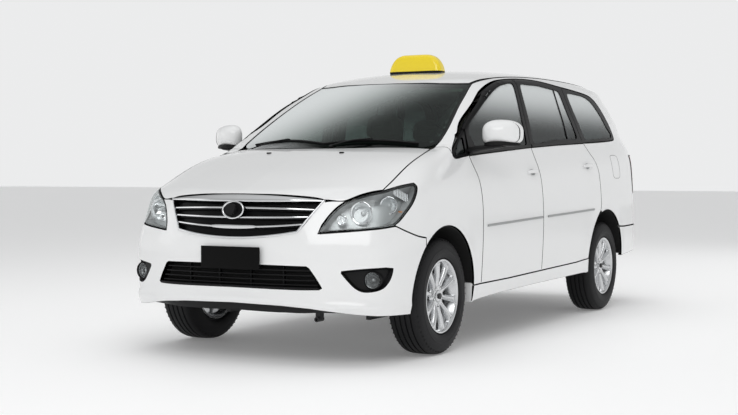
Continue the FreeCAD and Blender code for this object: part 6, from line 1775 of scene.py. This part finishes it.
# fuel flap outline on the left rear quarter
ff = spline_pts([(1.435, 1.118), (1.450, 1.130), (1.575, 1.130), (1.590, 1.118), (1.590, 0.985), (1.575, 0.970), (1.450, 0.970), (1.435, 0.985)], 0.010, True)
P = lift(f_body, "side", ff)
Kit().add(sweep(P + grad(f_body, P) * 0.0002, rrect(0.0026, 0.0010, 0.0003, 1), grad(f_body, P), True)).out("fuel_flap_seam", ROOT, M_DARKMET)

# jacking ends of the side skirts: body-coloured face behind each front wheel
xs = float(lift(f_body, "side", [(-1.118, 0.31)])[0][0])
Kit().add(rbox((xs - 0.075, -1.122, 0.262), (xs - 0.004, -1.098, 0.372), 0.006, 3)).pair("side_skirt_left_end", ROOT, M_PAINT)
xs = float(lift(f_body, "side", [(0.86, 0.33)])[0][0])
Kit().add(rbox((xs - 0.075, 0.838, 0.300), (xs - 0.004, 0.860, 0.392), 0.006, 3)).pair("side_skirt_left_tail", ROOT, M_PAINT)

# ---------------------------------------------------------------- roof sign
ry = -0.10
k = Kit()
base_z = [float(lift(f_roof, "top", [(x, ry)])[0][2]) for x in (0.0, 0.19)]
rings = []
for z, hx, hy in ((base_z[1] - 0.004, 0.186, 0.058), (base_z[0] + 0.001, 0.188, 0.060), (base_z[0] + 0.0045, 0.188, 0.060), (base_z[0] + 0.0065, 0.185, 0.057)):
    p = rrect(hx * 2, hy * 2, 0.030, 6)
    rings.append(np.stack([p[:, 0], p[:, 1] + ry, np.full(len(p), z)], 1))
k.add(loft(rings)).out("roof_sign_base", ROOT, M_BLACK, 40)
rings = []
z0 = base_z[0] + 0.006
z1 = 1.7955
for t in (0.0, 0.03, 0.2, 0.4, 0.6, 0.75, 0.86, 0.93, 0.97, 0.99, 1.0):
    z = z0 + (z1 - z0) * t
    e = 1 - (1 - math.sqrt(max(0.0, 1 - ((t - 0.80) / 0.20) ** 2))) if t > 0.80 else 1.0
    hx = 0.192 - 0.016 * t - 0.058 * t ** 2.6 - 0.030 * (1 - e)
    hy = 0.057 - 0.014 * t - 0.022 * (1 - e)
    p = rrect(hx * 2, hy * 2, min(0.034, hy * 0.9), 7)
    rings.append(np.stack([p[:, 0], p[:, 1] + ry, np.full(len(p), z)], 1))
Kit().add(loft(rings)).out("roof_sign_lens", ROOT, M_SIGN, 40, "roof_sign")

# ---------------------------------------------------------------- seats
def cushion(w, d, h, crown=0.016, side=0.03, nx=15, ny=15, back=False):
    """Crowned cushion: x across, y along its length, z up, with raised side rolls and sewn channels."""
    e = 2 / 3.4
    def outline(s, n=56):
        a = np.linspace(0, TAU, n, endpoint=False)
        X = np.sign(np.cos(a)) * np.abs(np.cos(a)) ** e * w / 2 * s
        Y = np.sign(np.sin(a)) * np.abs(np.sin(a)) ** e * d / 2 * s
        return X, Y
    rings = []
    def top(X, Y):
        u, v = X / (w / 2), Y / (d / 2)
        z = crown * (1 - np.clip(np.abs(u), 0, 1) ** 2.2) * (1 - np.clip(np.abs(v), 0, 1) ** 2.6)
        z = z + side * np.exp(-((np.abs(u) - 0.80) / 0.13) ** 2) * (1 - 0.5 * np.abs(v) ** 3)
        for c in (-0.42, 0.0, 0.42):
            z = z - 0.006 * np.exp(-((v - c) / 0.035) ** 2) * (np.abs(u) < 0.60)
        z = z - 0.007 * np.exp(-((np.abs(u) - 0.60) / 0.03) ** 2)
        return z
    for s, z in ((0.90, 0.0), (0.985, 0.012), (1.0, h * 0.35), (1.0, h * 0.70), (0.990, h * 0.88), (0.960, h * 0.965)):
        X, Y = outline(s)
        rings.append(np.stack([X, Y, np.full(len(X), z)], 1))
    for s in (0.92, 0.88, 0.84, 0.80, 0.75, 0.70, 0.65, 0.61, 0.58, 0.54, 0.48, 0.42, 0.36, 0.30, 0.24, 0.18, 0.12, 0.06, 0.015):
        X, Y = outline(s)
        f_ = 1 - ((s - 0.0) / 0.95) ** 10 * 0.35
        rings.append(np.stack([X, Y, h * 0.985 + top(X, Y) * f_], 1))
    return loft(rings)


def piping(w, d, z, r=0.0035):
    e = 2 / 3.4
    a = np.linspace(0, TAU, 56, endpoint=False)
    X = np.sign(np.cos(a)) * np.abs(np.cos(a)) ** e * w / 2 * 0.968
    Y = np.sign(np.sin(a)) * np.abs(np.sin(a)) ** e * d / 2 * 0.968
    return sweep(np.stack([X, Y, np.full(56, z)], 1), circle(r, 6), (0, 0, 1), True)


def seat(nm, x0, x1, y0, z0, dep, hgt, lean, heads, node, parts=1, arms=False):
    """Cushion, back and head rests; y0 front edge, z0 top of the cushion."""
    W = (x1 - x0) / parts
    for i in range(parts):
        cx = x0 + W * (i + 0.5)
        w = W - (0.006 if parts > 1 else 0.0)
        tilt = rot3((1, 0, 0), 6)
        a = place(cushion(w, dep, 0.135, side=0.022), (cx, y0 + dep / 2, z0 - 0.150), tilt)
        ob = Kit().add(a).out("%s_cushion_%d" % (nm, i + 1), ROOT, M_CLOTH, 60, node)
        Kit().add(place(piping(w, dep, 0.135 * 0.955), (cx, y0 + dep / 2, z0 - 0.150), tilt)).out("%s_cushion_%d_piping" % (nm, i + 1), ROOT, M_CLOTH2, 60)
        ang = 90 - math.degrees(math.atan2(lean, hgt))
        R = rot3((1, 0, 0), ang)
        pos = np.array([cx, y0 + dep - 0.045, z0 - 0.035]) + R @ np.array([0, hgt / 2, 0]) * 1.0
        b = cushion(w * 0.98, hgt, 0.125, side=0.026)
        b = place(b, (0, 0, -0.11))
        ob = Kit().add(place(b, pos, R)).out("%s_back_%d" % (nm, i + 1), ROOT, M_CLOTH, 60, node)
        Kit().add(place(place(piping(w * 0.98, hgt, 0.125 * 0.955), (0, 0, -0.11)), pos, R)).out("%s_back_%d_piping" % (nm, i + 1), ROOT, M_CLOTH2, 60)
    R = rot3((1, 0, 0), 90 - math.degrees(math.atan2(lean, hgt)))
    for j, hx in enumerate(heads):
        top = np.array([hx, y0 + dep - 0.045, z0 - 0.035]) + R @ np.array([0, hgt + 0.095, 0])
        hb = place(cushion(0.255, 0.175, 0.095, crown=0.014, side=0.0), (0, 0, -0.080))
        ob = Kit().add(place(hb, top, R)).out("%s_headrest_%d" % (nm, j + 1), ROOT, M_CLOTH, 60)
        k = Kit()
        for s in (-0.055, 0.055):
            p0 = top + R @ np.array([s, -0.19, -0.040])
            p1 = top + R @ np.array([s, -0.05, -0.040])
            k.add(tube([p0, p1], 0.0055, 10))
        k.out("%s_headrest_%d_posts" % (nm, j + 1), ROOT, M_CHROME)
    # plinth
    k = Kit()
    k.add(rbox((x0 + 0.015, y0 + 0.04, 0.462), (x1 - 0.015, y0 + dep - 0.02, z0 - 0.145), 0.012, 3))
    k.out(nm + "_plinth", ROOT, M_DASH)


seat("front_left_seat", 0.135, 0.625, -0.52, 0.63, 0.50, 0.66, 0.17, [0.38], "front_seats")
seat("front_right_seat", -0.625, -0.135, -0.52, 0.63, 0.50, 0.66, 0.17, [-0.38], "front_seats")
seat("middle_seat", -0.62, 0.62, 0.28, 0.64, 0.48, 0.64, 0.16, [-0.40, 0.40], "rear_seats", parts=2)
seat("third_seat", -0.425, 0.425, 1.18, 0.66, 0.44, 0.60, 0.12, [-0.22, 0.22], "rear_seats", parts=2)

# ---------------------------------------------------------------- dashboard and controls
def dash_ring(x, yshift=0.0):
    pts = [(-1.055, 1.045), (-1.00, 1.066), (-0.90, 1.074), (-0.80, 1.066), (-0.735, 1.040), (-0.705, 0.995), (-0.700, 0.93), (-0.712, 0.86), (-0.735, 0.78), (-0.775, 0.70), (-0.83, 0.640), (-0.94, 0.625), (-1.055, 0.625)]
    return [(x, y + yshift, z) for y, z in pts]


rings = []
for x in np.linspace(-0.652, 0.652, 53):
    hood_ = 0.026 * math.exp(-((x + 0.36) / 0.17) ** 4)
    mid_ = 0.020 * math.exp(-(x / 0.16) ** 4)
    r_ = np.array(dash_ring(x))
    r_[1:6, 2] += hood_ * np.array([0.2, 0.8, 1.0, 0.9, 0.4]) * 0.9
    r_[3:8, 1] += mid_ - 0.010
    fall = 0.018 * (abs(x) / 0.652) ** 3
    r_[:, 2] -= fall * np.linspace(1, 0, 13)
    r_[3:8, 1] -= 0.04 * (abs(x) / 0.652) ** 4
    rings.append(spline_pts(r_, 0.03, True, corners=(0, 12)))
m_ = min(len(r) for r in rings)
def resample(P, n):
    P = np.concatenate([P, P[:1]])
    d = np.concatenate([[0], np.cumsum(np.linalg.norm(np.diff(P, axis=0), axis=1))])
    t = np.linspace(0, d[-1], n, endpoint=False)
    return np.stack([np.interp(t, d, P[:, i]) for i in range(3)], 1)
rings = [resample(r, 48) for r in rings]
Kit().add(loft(rings)).out("dashboard_skin", ROOT, M_DASH, 45, "dashboard")
k = Kit().add(rbox((-0.112, -0.845, 0.462), (0.112, -0.40, 0.665), 0.016, 3)).add(rbox((-0.105, -0.415, 0.462), (0.105, -0.30, 0.60), 0.018, 3))
k.out("centre_console", ROOT, M_DASH)
k = Kit()
k.add(place(rbox((-0.125, -0.014, -0.075), (0.125, 0.012, 0.075), 0.010, 3), (0, -0.700, 0.925), rot3((1, 0, 0), -6)))
k.out("centre_panel", ROOT, M_GLOSSB)
k = Kit()
k.add(place(rbox((-0.100, -0.001, -0.030), (0.100, 0.004, 0.046), 0.004, 2), (0, -0.688, 0.935), rot3((1, 0, 0), -6)))
k.out("centre_screen", ROOT, M_PLATE)
k = Kit()
for x in (-0.072, 0.0, 0.072):
    k.add(spin([(0.0, 0.0), (0.0, 0.021), (0.016, 0.0185), (0.018, 0.016), (0.018, 0.0)], (x, -0.694, 0.822), (0, 1, 0.10), 28))
for s in (-1, 1):
    k.add(spin([(0.0, 0.041), (0.006, 0.043), (0.009, 0.040), (0.007, 0.036), (0.0, 0.035)], (s * 0.565, -0.738, 0.985), (0, 1, 0.1), 32))
    k.add(place(rbox((-0.046, -0.002, -0.030), (0.046, 0.007, 0.030), 0.006), (s * 0.180, -0.703, 0.975)))
k.out("dash_trim", ROOT, M_SILVER)
k = Kit()
for s in (-1, 1):
    for q in (-0.020, -0.010, 0.0, 0.010, 0.020):
        k.add(rbox((s * 0.180 - 0.040, -0.700, 0.975 + q - 0.0016), (s * 0.180 + 0.040, -0.692, 0.975 + q + 0.0016), 0.001, 1))
        k.add(rbox((s * 0.565 - 0.032, -0.738, 0.985 + q - 0.0016), (s * 0.565 + 0.032, -0.729, 0.985 + q + 0.0016), 0.001, 1))
k.out("dash_vents", ROOT, M_BLACK)
# instrument binnacle
k = Kit()
for i, x in enumerate((-0.425, -0.295)):
    k.add(spin([(0.0, 0.048), (0.004, 0.050), (0.007, 0.048), (0.004, 0.045), (0.0, 0.045)], (x, -0.742, 1.005), (0, 1, 0.35), 36))
k.out("dial_rings", ROOT, M_SILVER)
k = Kit()
for i, x in enumerate((-0.425, -0.295)):
    k.add(spin([(0.0, 0.0), (0.0, 0.045), (0.002, 0.045), (0.002, 0.0)], (x, -0.742, 1.005), (0, 1, 0.35), 36))
k.out("dial_faces", ROOT, M_PLATE)
# lever
k = Kit().add(tube([(0.0, -0.56, 0.655), (0.0, -0.555, 0.760)], 0.0085, 14)).add(spin([(0.0, 0.0), (0.002, 0.017), (0.020, 0.024), (0.045, 0.023), (0.060, 0.014), (0.064, 0.0)], (0.0, -0.555, 0.745), (0, 0.05, 1), 24))
k.add(place(rbox((-0.05, -0.075, 0), (0.05, 0.075, 0.008), 0.006), (0, -0.56, 0.664)))
k.out("selector", ROOT, M_BLACK)
k = Kit().add(tube([(0.06, -0.47, 0.662), (0.06, -0.34, 0.71), (0.06, -0.30, 0.728)], 0.014, 14))
k.out("park_lever", ROOT, M_BLACK)

# steering wheel: turns with its own body
SC = np.array([-0.36, -0.56, 0.996])
sa = unit((0, 0.962, 0.274))
su = unit(np.cross((1, 0, 0), sa))
sx_ = np.array([1.0, 0, 0])
ringp = np.array([SC + 0.178 * (math.cos(a) * sx_ + math.sin(a) * su) for a in np.linspace(0, TAU, 72, endpoint=False)])
k = Kit().add(sweep(ringp, circle(0.0145, 14, 0.0125), sa, True))
k.out("steering_rim", "steering_wheel_body", M_DASH, 60, "steering_wheel")
k = Kit()
hub = []
for q, o in ((0.92, -0.040), (1.0, -0.028), (1.0, -0.012), (0.90, 0.004), (0.6, 0.010), (0.15, 0.012)):
    a = np.linspace(0, TAU, 40, endpoint=False)
    e = 2 / 2.8
    X = np.sign(np.cos(a)) * np.abs(np.cos(a)) ** e * 0.072 * q
    Y = np.sign(np.sin(a)) * np.abs(np.sin(a)) ** e * 0.060 * q
    hub.append(SC + X[:, None] * sx_ + (Y[:, None] - 0.006) * su + sa * o)
k.add(loft(hub))
for ang in (0, 180, 245, 295):
    d = math.cos(math.radians(ang)) * sx_ + math.sin(math.radians(ang)) * su
    k.add(sweep([SC + d * 0.050 - sa * 0.016, SC + d * 0.11 - sa * 0.013, SC + d * 0.172 - sa * 0.002], rrect(0.034 if ang in (0, 180) else 0.024, 0.014, 0.005), sa, scale=[1.1, 0.9, 0.75]))
k.out("steering_hub", "steering_wheel_body", M_DASH, 40)
Kit().add(spin([(0.011, 0.0), (0.011, 0.020), (0.0135, 0.019), (0.014, 0.0)], SC, sa, 32)).out("steering_badge", "steering_wheel_body", M_SILVER)
k = Kit().add(tube([SC - sa * 0.045, SC - sa * 0.20], 0.030, 20)).add(tube([SC - sa * 0.055 + [0.03, 0, 0], SC - sa * 0.058 + [0.16, 0.01, 0.012]], 0.0065, 10)).add(tube([SC - sa * 0.055 - [0.03, 0, 0], SC - sa * 0.058 + [-0.16, 0.01, 0.012]], 0.0065, 10))
k.out("steering_shroud", ROOT, M_DASH)

# pedals
k = Kit()
for x, w in ((-0.42, 0.030), (-0.33, 0.045), (-0.24, 0.030)):
    k.add(place(rbox((-w, -0.006, -0.035), (w, 0.006, 0.035), 0.004), (x, -0.955, 0.60), rot3((1, 0, 0), 25)))
    k.add(tube([(x, -0.962, 0.61), (x, -1.01, 0.74)], 0.007, 8))
k.out("pedals", ROOT, M_DARKMET)

# head lining, sun visors, inside mirror, lamp
f_hl = inset_field(f_roof, 0.045)
hl_ = [(0.0, -0.575), (0.25, -0.545), (0.45, -0.46), (0.535, -0.36), (0.565, 0.0), (0.575, 0.8), (0.565, 1.5), (0.545, 1.93), (0.3, 1.945), (0.0, 1.95)]
hp = spline_pts(hl_, 0.03)
hp = np.concatenate([hp, (hp * [-1, 1])[::-1][1:-1]])
panel("head_lining", ROOT, f_hl, TOP, [join(lift(f_hl, "top", hp))], [M_HEADLINER], step=0.07, solid=0.008, r=0.003)
k = Kit()
for s in (-1, 1):
    c = lift(f_hl, "top", [(s * 0.33, -0.47)])[0]
    n_ = grad(f_hl, c[None])[0]
    k.add(place(rbox((-0.20, -0.072, -0.010), (0.20, 0.072, 0.006), 0.006, 3), c - n_ * 0.018, basis((1, 0, 0), np.cross(n_, (1, 0, 0)), n_)))
k.out("sun_visors", ROOT, M_HEADLINER)
c = lift(f_screen, "top", [(0.0, -0.70)])[0]
k = Kit().add(tube([c - [0, -0.004, 0.012], c + [0, 0.030, -0.062]], 0.007, 10)).add(rbox(c + [-0.120, 0.030, -0.105], c + [0.120, 0.052, -0.040], 0.012, 4))
k.out("inside_mirror", ROOT, M_BLACK)
Kit().add(rbox(c + [-0.112, 0.0505, -0.098], c + [0.112, 0.0535, -0.047], 0.001, 2)).out("inside_mirror_glass", ROOT, M_MIRROR)
c = lift(f_hl, "top", [(0.0, 0.55)])[0]
Kit().add(rbox(c + [-0.075, -0.05, -0.024], c + [0.075, 0.05, -0.009], 0.006, 3)).out("cabin_lamp", ROOT, M_LENSWHT)

# door trims: armrest, pull, speaker, window switch, handle
def trim(nm, body, y0, y1, zb, zt, rear=False):
    f_t = inset_field(f_body, 0.058)
    lo = spline_pts([(y0 + 0.02, zb), (y1 - 0.02, zb), (y1, zb + 0.03), (y1, zt - 0.03), (y1 - 0.02, zt), (y0 + 0.02, zt), (y0, zt - 0.03), (y0, zb + 0.03)], 0.03, True, corners=())
    if rear:
        lo = spline_pts([(y0 + 0.02, zb), (0.76, zb), (0.81, 0.50), (0.90, 0.64), (1.02, 0.76), (1.06, 0.90), (1.03, 1.03), (0.95, zt - 0.02), (0.90, zt + 0.010), (y0 + 0.02, zt), (y0, zt - 0.03), (y0, zb + 0.03)], 0.03, True, corners=())
    panel(nm + "_trim", body, f_t, SIDE, [join(lift(f_t, "side", lo))], [M_TRIM], mirror=True, step=0.05, solid=0.012, r=0.005)
    ya, yb = y0 + 0.16, y1 - (0.22 if not rear else 0.32)
    n = 15
    ys = np.linspace(ya, yb, n)
    za = 0.80 + (0.02 if rear else 0)
    P = lift(f_t, "side", np.stack([ys, np.full(n, za)], 1)) - grad(f_t, lift(f_t, "side", np.stack([ys, np.full(n, za)], 1))) * 0.036
    k = Kit().add(sweep(P, rrect(0.060, 0.050, 0.018, 4), (-1, 0, 0), scale=[(0.8 + 0.2 * math.sin(PI * u), 0.75 + 0.25 * math.sin(PI * u)) for u in np.linspace(0, 1, n)]))
    obs = k.pair(nm + "_armrest", body, M_CLOTH2, 50)
    sp_ = lift(f_t, "side", [(y0 + 0.17, 0.50 if not rear else 0.52)])[0]
    k = Kit().add(spin([(0.0, 0.0), (0.012, 0.0), (0.013, 0.060), (0.018, 0.070), (0.014, 0.077), (0.0, 0.078)], sp_, (-1, 0, 0), 36))
    k.pair(nm + "_speaker", body, M_BLACK)
    hp_ = lift(f_t, "side", [(y0 + 0.22, 0.98)])[0]
    k = Kit().add(rbox(hp_ + [-0.028, -0.055, -0.016], hp_ + [-0.012, 0.045, 0.014], 0.005)).pair(nm + "_inner_handle", body, M_SILVER)
    sw = P[3] + np.array([-0.004, 0, 0.034])
    k = Kit().add(rbox(sw + [-0.020, -0.045, -0.006], sw + [0.020, 0.045, 0.004], 0.003)).pair(nm + "_switches", body, M_GLOSSB)


trim("front_door_left", "front_left_door", -0.945, -0.085, 0.415, 1.085)
trim("rear_door_left", "rear_left_door", 0.045, 1.05, 0.430, 1.120, True)

# carpet over the floor, seat belts
Kit().add(rbox((-0.66, -1.02, 0.4585), (0.66, 0.90, 0.466), 0.002, 1)).add(rbox((-0.44, 0.90, 0.4585), (0.44, 2.04, 0.466), 0.002, 1)).out("carpet", ROOT, M_CARPET)
k = Kit()
for s in (1,):
    for y, za, zb in ((0.0, 1.42, 0.62), (0.86, 1.44, 0.60)):
        pa = lift(inset_field(f_body, 0.100 if y < 0.5 else 0.130), "side", [(y, za)])[0]
        pb = lift(inset_field(f_body, 0.145), "side", [(y + 0.02, zb)])[0]
        k.add(sweep([pa, (pa + pb) / 2 + [-0.006, 0.004, 0], pb], rrect(0.046, 0.0016, 0.0004, 1), (-1, 0, 0)))
        k.add(place(rbox((-0.008, -0.030, -0.022), (0.010, 0.030, 0.022), 0.006), pa))
k.pair("seat_belts_left", ROOT, M_CLOTH2)

# under the body: drive parts keep their CAD shape with plain finishes
for nm_, m_ in (("chassis_frame", M_DARKMET), ("front_suspension", M_DARKMET), ("rear_axle", M_DARKMET), ("exhaust", M_PIPE), ("fuel_tank", M_DARKMET), ("engine_block", M_STEEL), ("knuckle_left", M_DARKMET), ("knuckle_right", M_DARKMET), ("floor_pan", M_LINER)):
    paintnode(nm_, m_)

# closing plates between bulkhead and fenders at the rear of the engine bay
Kit().add(plate([(0.50, -1.100, 0.600), (0.842, -1.100, 0.600), (0.846, -1.100, 0.720), (0.838, -1.100, 0.900), (0.822, -1.100, 0.975), (0.780, -1.100, 1.025), (0.50, -1.100, 1.030)], 0.004, (0, 1, 0))).pair("cowl_side_left", ROOT, M_BLACK)

# ---------------------------------------------------------------- stage, light, camera
def area(name, loc, target, sx, sy, power, color=(1, 1, 1), gloss=True):
    d = bpy.data.lights.new(name, "AREA")
    d.shape = "RECTANGLE"
    d.size, d.size_y, d.energy, d.color = sx, sy, power, color
    o = bpy.data.objects.new(name, d)
    o.location = loc
    o.rotation_euler = (Vector(target) - Vector(loc)).to_track_quat("-Z", "Y").to_euler()
    bpy.context.scene.collection.objects.link(o)
    o.visible_glossy = gloss
    return o


me = bpy.data.meshes.new("studio_floor")
me.from_pydata([(-60, -60, 0), (60, -60, 0), (60, 60, 0), (-60, 60, 0)], [], [(0, 1, 2, 3)])
me.materials.append(mat("floor_white", (0.93, 0.93, 0.93), rough=0.6, spec=0.2, emit=(1, 1, 1), emit_s=0.14))
floor = bpy.data.objects.new("studio_floor", me)
bpy.context.scene.collection.objects.link(floor)

world = bpy.data.worlds.new("studio")
bpy.context.scene.world = world
world.use_nodes = True
wt = world.node_tree
bg = wt.nodes["Background"]
bg.inputs["Strength"].default_value = 0.86
tcw = wt.nodes.new("ShaderNodeTexCoord")
sep = wt.nodes.new("ShaderNodeSeparateXYZ")
ramp = wt.nodes.new("ShaderNodeValToRGB")
wt.links.new(tcw.outputs["Generated"], sep.inputs["Vector"])
wt.links.new(sep.outputs["Z"], ramp.inputs["Fac"])
el = ramp.color_ramp.elements
el[0].position, el[0].color = 0.0, (0.97, 0.975, 0.98, 1)
el[1].position, el[1].color = 1.0, (0.78, 0.79, 0.80, 1)
for p, v in ((0.12, 0.97), (0.30, 0.66), (0.52, 0.42), (0.78, 0.62)):
    e_ = el.new(p)
    e_.color = (v, v * 1.005, v * 1.01, 1)
wt.links.new(ramp.outputs["Color"], bg.inputs["Color"])
area("key", (2.5, -7.5, 6.0), (0, -0.6, 0.6), 6, 4, 170)
area("top", (0, 0.5, 6.5), (0, 0.4, 0), 6, 9, 120, gloss=False)
area("fill", (-7, -4, 3.5), (0, 0, 0.7), 4, 3, 20)
area("back", (3.0, 8.0, 4.5), (0, 0.8, 0.7), 5, 3, 70, gloss=False)

cam = bpy.data.cameras.new("cam")
cam.sensor_fit = "HORIZONTAL"
cam.sensor_width = 36.0
cam.lens = 36.0 * 1340.08 / 738.0
cam.clip_end = 200
co = bpy.data.objects.new("cam", cam)
a, e = math.radians(28.527), math.radians(1.549)
back = Vector((math.sin(a) * math.cos(e), -math.cos(a) * math.cos(e), math.sin(e)))
co.location = (4.026, -8.1855, 1.016)
co.rotation_euler = back.to_track_quat("Z", "Y").to_euler()
bpy.context.scene.collection.objects.link(co)
bpy.context.scene.camera = co
bpy.context.scene.view_settings.view_transform = "Standard"
